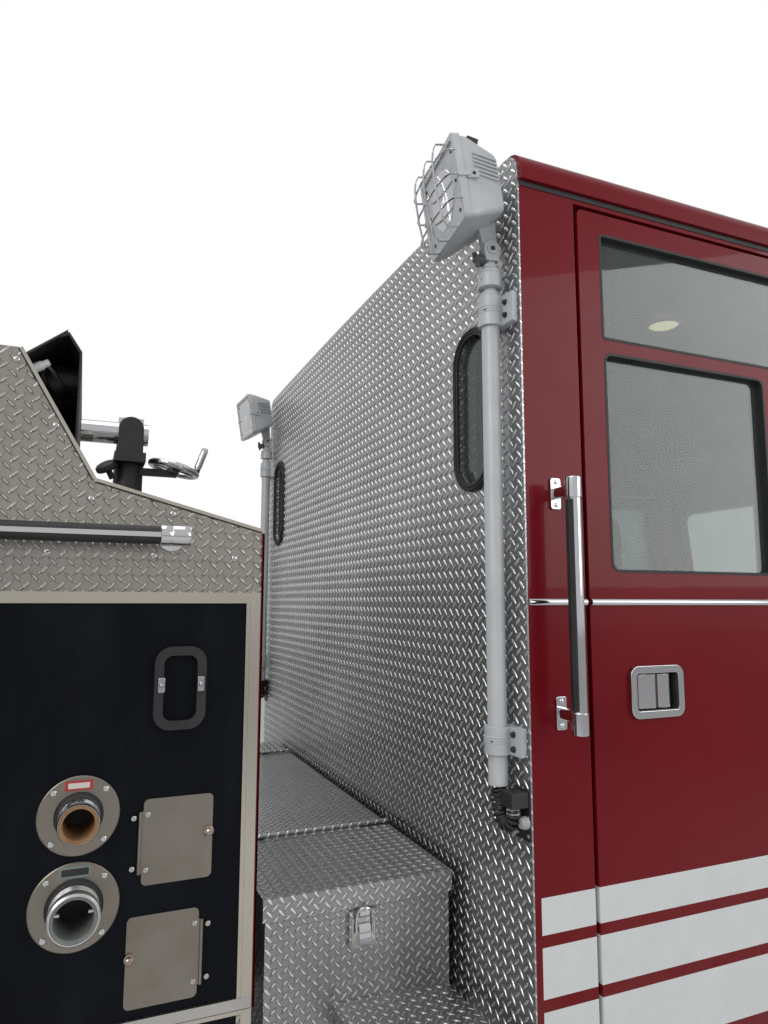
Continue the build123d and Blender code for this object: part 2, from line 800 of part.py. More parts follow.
def door_handle(x, z):
    """Paddle handle: a raised bezel round a recess with a flap in it."""
    bezel = prism_y(rectangle((x, z), (x + 162, z + 121)), (half, half + 7), 22)
    bezel -= prism_y(rectangle((x + 16, z + 16), (x + 146, z + 105)), (half - 30, half + 8))
    flap = prism_y(rectangle((x + 22, z + 22), (x + 104, z + 99)), (half - 18, half - 4))
    return bezel, flap


def hinge_knuckles(x, z, side_sign, share):
    """Part of a full-length hinge with a leaf on one side: share is (start, end) of its height."""
    low = z[0] + (z[1] - z[0]) * share[0] + (seat_gap if share[0] > 0 else 0.0)
    high = z[0] + (z[1] - z[0]) * share[1] - (seat_gap if share[1] < 1 else 0.0)
    y = half + hinge_radius
    barrel = rod((x, y, low), (x, y, high), hinge_radius)
    leaf_x = sorted((x, x + side_sign * 36.0))
    leaf = block(leaf_x, (half, half + 5), (low, high))
    return barrel + leaf


crew_hinge_x = crew_door_rear + crew_door_length + door_gap / 2
front_hinge_x = front_door_rear + front_door_length + door_gap / 2
crew_hinge_z = (640.0, 2700.0)
front_hinge_z = (640.0, 1470.0)

crew_window = (rectangle((cab_back + 245.0, window_low), (cab_back + 802.0, window_high)), 24.0)
crew_transom = (rectangle((cab_back + 242.0, transom_low), (cab_back + 930.0, transom_high)), 12.0)


def crew_door():
    """Left crew door with its handle and hinge halves."""
    x = (crew_door_rear, crew_door_rear + crew_door_length)
    panel = door_panel(rectangle((x[0], door_bottom), (x[1], door_top)), (crew_window, crew_transom), False)
    handle_x = cab_back + 283.0
    return finish_door(panel, handle_x, crew_hinge_x, crew_hinge_z)


def front_door():
    """Left front door, its lower rear corner cut away by the wheel arch."""
    x = (front_door_rear, front_door_rear + front_door_length)
    outline = front_door_outline(x[0], x[1], door_bottom, front_door_top)
    panel = door_panel(outline, (front_window(0.0),), True)
    return finish_door(panel, front_door_rear + 106.0, front_hinge_x, front_hinge_z)


def finish_door(panel, handle_x, hinge_x, hinge_z):
    """Add the handle in its pocket and the door's part of the hinge."""
    handle_z = 1495.0
    recess = rectangle((handle_x + 16, handle_z + 16), (handle_x + 146, handle_z + 105))
    pocket = prism_y(recess, (half - 30, half + 1))
    bezel, flap = door_handle(handle_x, handle_z)
    stem = block((handle_x + 30, handle_x + 60), (half - 31, half - 10), (handle_z + 40, handle_z + 80))
    return panel - pocket + bezel + flap + stem + hinge_knuckles(hinge_x, hinge_z, -1, (0.25, 0.75))


def front_window(inset):
    """Front door's window outline less an inset, and its corner radius."""
    rear = front_door_rear + 75.0 + inset
    front = front_door_rear + front_door_length - 75.0 - inset
    rake = screen_rake / (screen_top - belt_height)
    low = window_low + inset
    high = window_high - inset
    outline = [(rear, low), (front - rake * (low - belt_height), low),
               (front - rake * (high - belt_height), high), (rear, high)]
    return outline, 24.0


def door_panes(windows):
    """Left door's glass, one pane for each window outline."""
    y = (half - glass_inset - glass_thickness, half - glass_inset)
    return group(*[prism_y(outline, y, corner) for outline, corner in windows])


def shrunk(window, inset):
    """Rectangular window outline less an inset all round."""
    (low, _, high, _), corner = window
    return rectangle((low[0] + inset, low[1] + inset), (high[0] - inset, high[1] - inset)), corner


def cab_hinge_halves():
    """The cab's parts of the left doors' hinges, on the side frame."""
    halves = []
    for x, span in ((crew_hinge_x, crew_hinge_z), (front_hinge_x, front_hinge_z)):
        for share in ((0.0, 0.25), (0.75, 1.0)):
            halves.append(hinge_knuckles(x, span, 1, share))
    return halves


driver_y = half - 439.0
crew_y = half - 519.0


def seats():
    """Two front seats on the wheel boxes and three crew seats along the rear wall."""
    shapes = []
    front_x = cab_front - 740.0
    crew_x = cab_back + 580.0
    front_z = wheel_box_top + seat_gap
    crew_z = deck_height + deck_gauge + seat_gap
    # Columns: front edge x, y, floor height
    table = (
        (front_x, driver_y, front_z),
        (front_x, -driver_y, front_z),
        (crew_x, crew_y, crew_z),
        (crew_x, 0.0, crew_z),
        (crew_x, -crew_y, crew_z),
    )
    for x, y, z in table:
        base = block((x - 440, x - 30), (y - 210, y + 210), (z, z + 240))
        cushion = block((x - 490, x), (y - 240, y + 240), (z + 240, z + 360))
        cushion = fillet(cushion.edges().filter_by(Axis.Z), 40)
        back = prism_y([(x - 490, z + 360), (x - 380, z + 360), (x - 410, z + 1040), (x - 490, z + 1040)],
                       (y - 225, y + 225))
        shapes.append(base + cushion + back)
    return group(*shapes)


def dash():
    """Dash across the front with the steering column and wheel on the left."""
    x = cab_front - wall - 60.0
    low = tunnel_top + seat_gap
    profile = [(x - 240, low), (x, low), (x, low + 60), (x - 150, low + 100), (x - 260, low + 60)]
    panel = prism_y(profile, (-half + wall + 20, half - wall - 20))
    foot = Vector(cab_front - 360.0, driver_y, low + 39.7)
    hub_centre = foot + Vector(-170.0, 0, 100.0)
    column = rod(foot, hub_centre, 28)
    plane = Plane(origin=hub_centre, x_dir=(0, 1, 0), z_dir=hub_centre - foot)
    wheel = plane * (Cylinder(228, 24) - Cylinder(203, 26))
    wheel += plane * Box(420, 26, 12) + plane * Box(26, 420, 12)
    wheel += plane * Cylinder(55, 30)
    return panel + column + wheel


def grille():
    """Bright grille: a frame in the mask's opening with flat bars across it."""
    x = (cab_front - 40, cab_front + 22)
    clear = seat_gap
    outer = rectangle((-grille_y + clear, grille_z[0] + clear), (grille_y - clear, grille_z[1] - clear))
    inner = rectangle((-grille_y + 40, grille_z[0] + 40), (grille_y - 40, grille_z[1] - 40))
    frame = prism_x(outer, x, 20) - prism_x(inner, (x[0] - 1, x[1] + 1), 12)
    bars = 9
    pitch = (grille_z[1] - grille_z[0] - 80) / (bars + 1)
    for count in range(bars):
        z = grille_z[0] + 40 + pitch * (count + 1)
        frame += block((x[0], x[1] - 6), (-grille_y + 38, grille_y - 38), (z - 7, z + 7))
    return frame


def cab_lamps():
    """Headlamp bezels with two lamps each, side signals, and the light bar on the low roof."""
    shapes = []
    for side in (-1, 1):
        face = cab_front + seat_gap
        y = sorted((side * 520.0, side * 1010.0))
        bezel = prism_x(rectangle((y[0], 1000.0), (y[1], 1240.0)), (face, face + 30))
        for place in (650.0, 880.0):
            bezel += rod((face, side * place, 1120), (face + 44, side * place, 1120), 88)
        shapes.append(bezel)
        warning = prism_x(rectangle((y[0], 1290.0), (y[1], 1400.0)), (face, face + 40))
        shapes.append(warning)
    top = roof_edge_top - roof_step + roof_crown
    bar_x = (cab_front - 520.0, cab_front - 260.0)
    bar = block(bar_x, (-760, 760), (top + 36, top + 150))
    bar = fillet(bar.edges().filter_by(Axis.Y).group_by(Axis.Z)[-1], 40)
    for side in (-1, 1):
        foot = roof_edge_top - roof_step + roof_crown * (1 - (580 / (half - roof_round)) ** 2) + seat_gap
        bar += block((bar_x[0] + 80, bar_x[1] - 80), (side * 600 - 20, side * 600 + 20), (foot, top + 60))
    shapes.append(bar)
    return group(*shapes)


def rails_and_mirrors():
    """Left grab rails beside both doors and the mirror on its arms."""
    shapes = []
    for x in (cab_back + 84.0, front_door_rear - door_gap - 60.0):
        y = half + 70.0
        bar = rod((x, y, 1482), (x, y, 2050), 17.5)
        for z in (1500.0, 2000.0):
            bar += block((x - 12, x + 12), (half + 7, y), (z + 8, z + 32))
            bar += block((x - 20, x + 20), (half + seat_gap, half + 8), (z - 18, z + 58))
        shapes.append(bar)
    x = cab_front - 85.0
    y = half + 250.0
    mirror = prism_x(rectangle((y - 95, 1700), (y + 95, 2120)), (x + 35, x + 85), 25)
    # Columns: foot's middle x, arm's middle z
    for foot, z in ((x - 20, 1600.0), (x - 80, 2240.0)):
        arm = [(foot - 12, half + 20), (foot + 12, half + 20), (x + 72, y + 12), (x + 48, y + 12)]
        mirror += prism_z(arm, (z - 12, z + 12))
        mirror += block((foot - 25, foot + 25), (half + seat_gap, half + 26), (z - 25, z + 25))
    mirror += block((x + 50, x + 70), (y - 10, y + 10), (1595, 2245))
    shapes.append(mirror)
    return group(*shapes)


# Floodlights


gland_z = (1322.0, 1356.0)


def gland_box():
    """Left box that the floodlight's cord goes into, on the cab's rear wall under the pole."""
    return block((cab_back - 48, cab_back - seat_gap), (half - 51, half - 3), gland_z)


def pole_mount():
    """Left outer tube with its top collar and the two clamps on the cab's corner."""
    bore = rod((pole_x, pole_y, pole_bottom - 1), (pole_x, pole_y, pole_top + 80), inner_pole_radius + 0.4)
    tube = rod((pole_x, pole_y, pole_bottom), (pole_x, pole_y, pole_top), pole_radius)
    tube += rod((pole_x, pole_y, pole_top), (pole_x, pole_y, pole_top + 75), 30)
    for low, high in ((1417.0, 1500.0), (2418.0, 2520.0)):
        tube += block((pole_x, cab_back - seat_gap), (pole_y - 48, pole_y + 30), (low, high))
        tube += rod((pole_x, pole_y, low), (pole_x, pole_y, high), 30)
        tube += block((pole_x - 22, cab_back - seat_gap), (pole_y + 25, half + 34), (low + 8, high - 8))
    return tube - bore


def inner_pole(yaw):
    """Left sliding pole with the fork that carries the lamp head, turned by a yaw on the pole's axis."""
    pole = rod((0, 0, pole_bottom + 20), (0, 0, lamp_axis_height - 22), inner_pole_radius)
    pole += rod((0, 0, pole_top + 75.4), (0, 0, lamp_axis_height - 22), 24)
    for side in (-1, 1):
        y = sorted((side * 9.4, side * 20.0))
        pole += block((-18, 18), y, (lamp_axis_height - 30, lamp_axis_height))
        pole += rod((0, y[0], lamp_axis_height), (0, y[1], lamp_axis_height), 18)
    pole += rod((0, -20, lamp_axis_height), (0, 46, lamp_axis_height), 6)
    pole += rod((0, 26, lamp_axis_height), (0, 46, lamp_axis_height), 14)
    return Pos(pole_x, pole_y, 0) * Rot(0, 0, yaw) * pole


def lamp_section(x, scale_y, scale_z, rise):
    """Closed rectangle across the lamp's housing at a place along it."""
    wide = lamp_width / 2 * scale_y
    tall = lamp_height / 2 * scale_z
    corners = [(x, y, lamp_centre_rise + rise + z) for y, z in rectangle((-wide, -tall), (wide, tall))]
    return Wire(Polyline(*corners, close=True).edges())


def lamp_head(guarded, yaw):
    """Left floodlight head at rest: tapered housing, fins, bezel, lens, lug and upper tab."""
    face = -lamp_face_back
    wide = lamp_width / 2
    tall = lamp_height / 2
    z = lamp_centre_rise
    sections = [lamp_section(face, 1.0, 1.0, 0.0), lamp_section(face + lamp_depth, 0.62, 0.7, 8.0)]
    head = Part(Solid.make_loft(sections, ruled=True).wrapped)
    head += block((face - 16, face), (-wide - 4, wide + 4), (z - tall - 4, z + tall + 4))
    head += rod((face - 22, 0, z), (face - 8, 0, z), 68)
    for count in range(4):
        level = z - 30 + 22 * count
        head += block((face + 30, face + lamp_depth + 4), (-wide * 0.7, wide * 0.7), (level, level + 6))
    head += block((-14, 14), (-9, 9), (0, z - tall * 0.4))
    head += rod((0, -9, 0), (0, 9, 0), 17)
    head -= rod((0, -10, 0), (0, 10, 0), 6.06)
    head += block((face + 4, face + 40), (-12, 26), (z + tall - 20, z + tall + 42))
    if guarded:
        reach = face - 52.0
        wire = 2.5
        for level in (-60.0, 0.0, 60.0):
            head += block((reach - wire, reach + wire), (-wide, wide), (z + level - wire, z + level + wire))
        for place in (-wide + 8, 0.0, wide - 8):
            head += block((reach - wire, reach + wire), (place - wire, place + wire), (z - tall, z + tall))
            for level in (-tall + wire, tall - wire):
                bar_z = (z + level - wire, z + level + wire)
                head += block((reach, face - 10), (place - wire, place + wire), bar_z)
    return Pos(pole_x, pole_y, lamp_axis_height) * Rot(0, 0, yaw) * Rot(0, -lamp_tilt, 0) * head


cord_radius = 13.0
cord_points = (
    (pole_x, pole_y, pole_bottom),
    (pole_x, pole_y, 1282.0),
    (cab_back - 26.0, half - 27.0, 1282.0),
    (cab_back - 26.0, half - 27.0, gland_z[0]),
)


def lamp_cord():
    """Left curly cord as one tube of its outer size, from the pole's end to its gland."""
    points = [Vector(*point) for point in cord_points]
    radii = []
    for before, corner, after in zip(points, points[1:], points[2:]):
        turn = math.radians((corner - before).get_angle(after - corner))
        shorter = min((corner - before).length, (after - corner).length)
        radii.append(0.45 * shorter / math.tan(turn / 2))
    print("cord radii", [round(radius, 1) for radius in radii])
    path = FilletPolyline(*cord_points, radius=radii)
    ring = Plane(origin=cord_points[0], z_dir=(0, 0, -1)) * Circle(cord_radius)
    return sweep(ring, path=path)


# Crosswise box


def crosswise_box():
    """Tread-plate box across the frame: hollow, open at both ends under the two lids."""
    rear = box_rear + box_wall + 1
    front = box_front - box_wall - 1
    reach = box_half - box_wall - 1
    top = box_top - sheet - 1
    over_rail = rail_top + 12.0
    outline = [
        (-reach, box_bottom), (-rail_half - 6, box_bottom), (-rail_half - 6, over_rail),
        (rail_half + 6, over_rail), (rail_half + 6, box_bottom), (reach, box_bottom),
        (reach, top), (-reach, top),
    ]
    shell = prism_x(outline, (rear, front))
    t = box_wall
    inner = [
        (-reach + t, box_bottom + t), (-rail_half - 6 - t, box_bottom + t), (-rail_half - 6 - t, over_rail + t),
        (rail_half + 6 + t, over_rail + t), (rail_half + 6 + t, box_bottom + t), (reach - t, box_bottom + t),
        (reach - t, top + 1), (-reach + t, top + 1),
    ]
    shell -= prism_x(inner, (rear + t, front - t))
    fixed = lid_tray(-lid_seam_right + 1, lid_seam_left - 1)
    shell += fixed
    for side in (-1, 1):
        y = sorted((side * reach, side * (box_half + 8)))
        shell += block((cab_back - 303, cab_back - 233), y, (box_top - 135, box_top - 54))
    for y, sign in ((-lid_seam_right, 1), (lid_seam_left, -1)):
        shell += lid_hinge(y, sign, (0.0, 0.2)) + lid_hinge(y, sign, (0.8, 1.0))
    for side in (-1, 1):
        y = sorted((side * (rail_half - 60.0), side * (rail_half - 20.0)))
        shell += block((rear + 40, front - 40), y, (rail_top, over_rail))
    return shell


def lid_tray(low_y, high_y):
    """Top sheet with lips turned down along its two long sides."""
    tray = block((box_rear, box_front), (low_y, high_y), (box_top - sheet, box_top))
    tray += block((box_rear, box_rear + box_wall), (low_y, high_y), (box_top - lid_lip, box_top))
    tray += block((box_front - box_wall, box_front), (low_y, high_y), (box_top - lid_lip, box_top))
    tray += block((box_rear + 1, box_front - 1), (low_y, high_y), (box_top - sheet - 1, box_top))
    return tray


def lid_hinge(y, sign, share):
    """Part of a lid's hinge barrel along X with its leaf towards one side."""
    length = box_front - box_rear
    low = box_rear + length * share[0] + (seat_gap if share[0] > 0 else 0.0)
    high = box_rear + length * share[1] - (seat_gap if share[1] < 1 else 0.0)
    radius = 7.0
    barrel = rod((low, y, box_top + radius), (high, y, box_top + radius), radius)
    leaf = block((low, high), sorted((y, y + sign * 30.0)), (box_top, box_top + 3))
    return barrel + leaf


def box_lid(low_y, high_y, seam, sign):
    """Lid with lips on three sides and its part of the hinge."""
    tray = block((box_rear, box_front), (low_y, high_y), (box_top - sheet, box_top))
    tray += block((box_rear, box_rear + box_wall), (low_y, high_y), (box_top - lid_lip, box_top))
    tray += block((box_front - box_wall, box_front), (low_y, high_y), (box_top - lid_lip, box_top))
    end = sorted((-sign * box_half, -sign * (box_half - box_wall)))
    tray += block((box_rear, box_front), end, (box_top - lid_lip, box_top))
    return tray + lid_hinge(seam, -sign, (0.2, 0.8))


step_depth = 50.0
step_plate = 5.0
step_flange = 39.0
board_width = 330.0
board_depth = 45.0
board_arm_inset = 200.0
tailboard_z = (590.0, 640.0)


def steps():
    """Tread-plate steps at the crosswise box and the pump, the tailboard and the bumper's deck."""
    shapes = []
    for side in (-1, 1):
        face = side * (box_half - box_wall - 1 + seat_gap)
        x = (cab_back - 340, cab_back - 45)
        step_low = step_height - step_depth
        step = block(x, sorted((face, side * (half - 30))), (step_low, step_height))
        step += block(x, sorted((face, face + side * step_plate)), (step_low, step_height + step_flange))
        shapes.append(step)
        board_low = running_board_top - board_depth
        board_y = sorted((side * (half - board_width), side * half))
        board = block((pump_back + 20, pump_front - 5), board_y, (board_low, running_board_top))
        arm_y = sorted((side * (rail_half + seat_gap), side * (half - board_width + 10)))
        for place in (pump_back + board_arm_inset, pump_front - board_arm_inset):
            board += block((place - 40, place + 40), arm_y, (board_low, rail_top - 200))
        shapes.append(board)
    tail = block((tail_end, body_back - seat_gap), (-half, half), tailboard_z)
    shapes.append(tail)
    return group(*shapes, bumper_deck())


# Pump house


def pump_side_outline(inset=0.0):
    """Side outline of the pump house in (x, z), less an inset all round."""
    return [
        (pump_front - inset, pump_floor + inset),
        (pump_front - inset, plate_front_top - inset),
        (plate_kink[0] - inset * 0.6, plate_kink[1] - inset),
        (plate_crest[0] - inset * 0.6, plate_crest[1] - inset),
        (pump_back + inset, body_top - inset),
        (pump_back + inset, pump_floor + inset),
    ]


deck_gun_x = pump_front - 190.0
gun_pipe_radius = 42.0
gun_base_top = 2090.0
gun_axis_z = 2345.0
crosslay_x = ((pump_back + 130.0, pump_back + 290.0), (pump_back + 330.0, pump_back + 490.0))


pump_floor = 1040.0
house_gauge = 30.0
house_skin = half - 1.0
trough_wall = 8.0
trough_z = (1820.0, body_top - 5.0)
trough_half = half - 40.0


def panel_opening(side, low, high):
    """Cut through one side of the housing behind a panel, from a low to a high level."""
    y = sorted((side * (house_skin - house_gauge - 1), side * (house_skin + 1)))
    opening = rectangle((pump_back + 25, low), (pump_front - trim_width - 8, high))
    return prism_y(opening, y)


def pump_housing():
    """Hollow upper housing of tread plate with panel openings and a sloped deck."""
    shell = prism_y(pump_side_outline(), (-house_skin, house_skin))
    inside = house_skin - house_gauge
    shell -= prism_y(pump_side_outline(house_gauge), (-inside, inside))
    for side in (-1, 1):
        shell -= panel_opening(side, panel_low, panel_high)
    well = rail_half + 30.0
    floor_z = (pump_floor - 1, pump_floor + house_gauge + 1)
    shell -= block((pump_back + 60, pump_front - 60), (-well, well), floor_z)
    gun_hole = gun_pipe_radius + seat_gap
    shell -= rod((deck_gun_x, 0, body_top - 313.0), (deck_gun_x, 0, body_top - 213.0), gun_hole)
    for x in crosslay_x:
        reach = trough_wall + seat_gap
        slot_y = (-trough_half - seat_gap, trough_half + seat_gap)
        shell -= block((x[0] - reach, x[1] + reach), slot_y, (body_top - house_gauge - 1, body_top + 1))
    return shell


def crosslay_troughs():
    """Two open troughs across the housing's deck for preconnected hose."""
    troughs = []
    for x in crosslay_x:
        trough = block((x[0] - trough_wall, x[1] + trough_wall), (-trough_half, trough_half), trough_z)
        trough -= block(x, (-half + 60, half - 60), (trough_z[0] + 10, body_top + 1))
        troughs.append(trough)
    return group(*troughs)


def pump_house_base():
    """Lower housing down to the running boards, standing over the frame rails."""
    top = pump_floor - seat_gap
    base_low = body_bottom + 60.0
    base = block((pump_back, pump_front), (-house_skin, house_skin), (base_low, top))
    inside = house_skin - house_gauge
    room_x = (pump_back + house_gauge, pump_front - house_gauge)
    base -= block(room_x, (-inside, inside), (base_low - 1, top + 1))
    notch = rail_half + 20.0
    base -= block((pump_back - 1, pump_front + 1), (-notch, notch), (base_low - 1, rail_top + 10))
    for side in (-1, 1):
        base -= panel_opening(side, lower_panel_low, 1038.0)
        rest = sorted((side * (rail_half - 60), side * (rail_half - 10)))
        base += block((pump_back, pump_front), rest, (rail_top, rail_top + 30))
    return base


def pump_house():
    """The upper housing, its two troughs and the base under it."""
    return group(pump_housing(), pump_house_base(), crosslay_troughs())


fitting_x = pump_front - 304.0
inlet_x = pump_front - 593.0
inlet_z = 1190.0
upper_outlet_z = 1408.0
lower_outlet_z = 1262.0


def pump_panels():
    """Black panels: the right ones with access openings, the left ones with the operator's."""
    x = (pump_back + 25 + seat_gap, pump_front - trim_width - 8 - seat_gap)
    y = (-panel_face, -panel_face + panel_thickness)
    upper = prism_y(rectangle((x[0], panel_low + seat_gap), (x[1], panel_high - seat_gap)), y)
    through = (y[0] - 1, y[1] + 1)
    for radius, z in ((37.5, upper_outlet_z), (42.0, lower_outlet_z)):
        upper -= rod((fitting_x, through[0], z), (fitting_x, through[1], z), radius)
    for low, high in access_openings():
        upper -= prism_y(rectangle(low, high), through, 8)
    lower = prism_y(rectangle((x[0], lower_panel_low + seat_gap), (x[1], 1038 - seat_gap)), y)
    left_upper = prism_y(rectangle((x[0], panel_low + seat_gap), (x[1], panel_high - seat_gap)), y)
    inlet_hole = rod((inlet_x, through[0], inlet_z), (inlet_x, through[1], inlet_z), 84)
    upper -= inlet_hole
    left_upper = mirrored(left_upper - inlet_hole)
    left_lower = mirrored(lower)
    return group(upper, lower, left_upper, left_lower)


# Columns: hinge x, free edge x, low z, high z
access_doors = (
    (pump_front - 204.0, pump_front - 79.0, 1279.0, 1423.0),
    (pump_front - 93.0, pump_front - 219.0, 1082.0, 1230.0),
)


def access_openings():
    """Openings in the right panel behind the two access doors, as corner pairs."""
    corners = []
    for hinge, free, low, high in access_doors:
        x = sorted((hinge, free))
        corners.append(((x[0] + 14, low + 10), (x[1] - 14, high - 10)))
    return corners


def access_door(hinge, free, low, high):
    """Thin hinged door on the right panel with its barrel and knob latch."""
    sign = 1 if free > hinge else -1
    face = -panel_face - seat_gap
    x = sorted((hinge + sign * 5, free))
    plate = prism_y(rectangle((x[0], low), (x[1], high)), (face - 2.5, face), 9)
    barrel = rod((hinge, face - 3, low + 20), (hinge, face - 3, high - 20), 3)
    leaf = block(sorted((hinge, hinge + sign * 8)), (face - 2, face), (low + 20, high - 20))
    middle = (low + high) / 2
    knob = rod((free - sign * 8, face - 14, middle), (free - sign * 8, face, middle), 5)
    return plate + barrel + leaf + knob


def pump_trim():
    """Stainless strips round the panels, the grab rails and the hinge halves of the small doors."""
    shapes = []
    x = (pump_back + 6, pump_front - 1)
    outer = rectangle((x[0], 1046.0), (x[1], 1785.0))
    inner = rectangle((x[0] + trim_width, panel_low), (x[1] - trim_width, panel_high))
    frame = prism_y(outer, (-half - 2, -half + 0.7)) - prism_y(inner, (-half - 3, -half + 2))
    shapes.append(frame)
    low_outer = rectangle((x[0], 640.0), (x[1], 1045.0))
    low_inner = rectangle((x[0] + trim_width, lower_panel_low), (x[1] - trim_width, 1038.0))
    shapes.append(prism_y(low_outer, (-half - 2, -half + 0.7)) - prism_y(low_inner, (-half - 3, -half + 2)))
    rail_y = -half - 60.0
    rail = rod((pump_back + 180, rail_y, 1884), (pump_front - 145, rail_y, 1884), 15)
    for place in (pump_back + 180, pump_front - 195):
        rail += rod((place, rail_y, 1884), (place + 50, rail_y, 1884), 18)
        rail += rod((place + 25, rail_y, 1884), (place + 25, -half + 0.7, 1884), 12)
    shapes.append(rail)
    mirror_set = [mirrored(shape) for shape in shapes]
    return group(*shapes, *mirror_set)


def pump_fittings():
    """Outlets with flange plates on the right, suction inlets on both sides, and the gun's pipe."""
    shapes = []
    # Columns: z, flange radius, pipe radius, bore radius
    for z, flange, radius, bore in ((upper_outlet_z, 65, 32, 26), (lower_outlet_z, 71, 38.5, 32)):
        face = -panel_face - seat_gap
        outlet = rod((fitting_x, face - 4, z), (fitting_x, face, z), flange)
        outlet += rod((fitting_x, face - 60, z), (fitting_x, -half + 320, z), radius)
        outlet -= rod((fitting_x, face - 61, z), (fitting_x, face + 60, z), bore)
        shapes.append(outlet)
    for side in (-1, 1):
        face = side * (panel_face + seat_gap)
        inlet = rod((inlet_x, face, inlet_z), (inlet_x, face + side * 5, inlet_z), 115)
        inlet += rod((inlet_x, side * 312, inlet_z), (inlet_x, face + side * 90, inlet_z), 80)
        inlet += rod((inlet_x, face + side * 60, inlet_z), (inlet_x, face + side * 95, inlet_z), 96)
        lugs = sorted((face + side * 66, face + side * 92))
        inlet += block((inlet_x - 114, inlet_x + 114), lugs, (inlet_z - 14, inlet_z + 14))
        inlet += block((inlet_x - 14, inlet_x + 14), lugs, (inlet_z - 114, inlet_z + 114))
        shapes.append(inlet)
    for x, z in ((pump_front - 373.0, 1180.0), (pump_front - 183.0, 1300.0)):
        face = panel_face + seat_gap
        cap = rod((x, face, z), (x, face + 6, z), 62) + rod((x, face, z), (x, face + 70, z), 42)
        shapes.append(cap)
    base = rod((deck_gun_x, 0, 1700), (deck_gun_x, 0, gun_base_top), gun_pipe_radius)
    base += rod((deck_gun_x, 0, gun_base_top - 20), (deck_gun_x, 0, gun_base_top), 80)
    shapes.append(base)
    return group(*shapes)


def operator_controls():
    """Gauges and levers on the left panel, the black bracket on the right one and the slope's hood."""
    shapes = []
    face = panel_face + seat_gap
    # Columns: x, z, gauge radius
    dial_z = 1640.0
    dials = [(pump_front - 493.0, dial_z, 75.0), (pump_front - 293.0, dial_z, 75.0)]
    dials += [(pump_back + 160.0 + 130.0 * count, dial_z, 42.0) for count in range(3)]
    for x, z, radius in dials:
        shapes.append(rod((x, face, z), (x, face + 22, z), radius))
    for count in range(6):
        x = pump_back + 140.0 + 120.0 * count
        lever = block((x - 10, x + 10), (face, face + 50), (1460, 1480))
        shapes.append(lever + block((x - 40, x + 40), (face + 49, face + 75), (1455, 1485)))
    bracket_x = (pump_front - 191.0, pump_front - 100.0)
    back = -panel_face - seat_gap
    ring = prism_y(rectangle((bracket_x[0], 1540.0), (bracket_x[1], 1687.0)), (back - 12, back), 30)
    ring -= prism_y(rectangle((bracket_x[0] + 16, 1556.0), (bracket_x[1] - 16, 1671.0)), (back - 13, back + 1), 16)
    shapes.append(ring)
    shapes.append(instrument_hood())
    return group(*shapes)


def slope_x(z):
    """Place on the pump house's steep slope at a height."""
    share = (plate_crest[1] - z) / (plate_crest[1] - plate_kink[1])
    return plate_crest[0] + share * (plate_kink[0] - plate_crest[0])


def instrument_hood():
    """Black hood on the steep slope, open to the right, with two gauge housings in it."""
    lift = 0.5
    high = body_top - 4.0
    low = plate_kink[1] + 77.0
    sheet_metal = 4.0
    reach = plate_crest[0] + 98.0
    top = (plate_crest[0] + 74.0, high + 58.0)
    outer = [
        (slope_x(high) + lift, high), top, (reach, high + 22.0), (reach, low), (slope_x(low) + lift, low),
    ]
    y = (-half + 40, -half + 560)
    shell = prism_y(outer, y)
    inner = [
        (slope_x(high) - 40, high - sheet_metal),
        (top[0] - 1, top[1] - 6),
        (reach - sheet_metal, high + 20.0),
        (reach - sheet_metal, low - 1),
        (slope_x(low) - 40, low - 1),
    ]
    shell -= prism_y(inner, (y[0] - 1, y[1] - sheet_metal))
    for place in (-half + 150.0, -half + 300.0, -half + 450.0):
        z = high - 5.0
        shell += rod((slope_x(z) + lift + 20.0, place, z), (reach - sheet_metal + 1, place, z), 28)
    return shell


def deck_gun_base():
    """Swivel of the deck gun: elbow with two trunnions and a hand wheel with a stub handle."""
    x = deck_gun_x
    body = rod((x, 0, gun_base_top + 0.4), (x, 0, gun_axis_z - 90), 48)
    body += rod((x, 0, gun_base_top + 0.4), (x, 0, gun_base_top + 30), 76)
    body += block((x - 50, x + 50), (-95, 95), (gun_axis_z - 112, gun_axis_z - 80))
    for side in (-1, 1):
        y = sorted((side * 72.0, side * 95.0))
        body += block((x - 40, x + 40), y, (gun_axis_z - 81, gun_axis_z))
        body += rod((x, y[0], gun_axis_z), (x, y[1], gun_axis_z), 40)
        pin = sorted((side * 40.0, side * 90.0))
        body += rod((x, pin[0], gun_axis_z), (x, pin[1], gun_axis_z), 15)
    plane = Plane(origin=(x + 150, -20, gun_axis_z - 115), z_dir=(0.25, 0.0, 1.0))
    body += block((x + 30, x + 160), (-32, -8), (gun_axis_z - 145, gun_axis_z - 121))
    body += plane * (Cylinder(86, 14) - Cylinder(72, 16))
    body += plane * Box(154, 12, 10) + plane * Box(12, 154, 10) + plane * Cylinder(16, 24)
    handle = plane * Pos(79, 0, 40) * Cylinder(9, 80)
    return body + handle


def deck_gun_barrel():
    """Barrel with its stream shaper and nozzle, pointing to the rear at rest."""
    x = deck_gun_x
    barrel = rod((x + 60, 0, gun_axis_z), (x - 560, 0, gun_axis_z), 38)
    barrel += rod((x - 30, 0, gun_axis_z), (x + 40, 0, gun_axis_z), 55)
    barrel += block((x - 40, x + 40), (-71.6, 71.6), (gun_axis_z - 40, gun_axis_z + 40))
    barrel += rod((x - 560, 0, gun_axis_z), (x - 760, 0, gun_axis_z), 55)
    barrel -= rod((x - 700, 0, gun_axis_z), (x - 761, 0, gun_axis_z), 34)
    for side in (-1, 1):
        y = sorted((side * 39.0, side * 72.0))
        barrel -= rod((x, y[0], gun_axis_z), (x, y[1] + 1, gun_axis_z), 15.06)
    return barrel


# Hose body

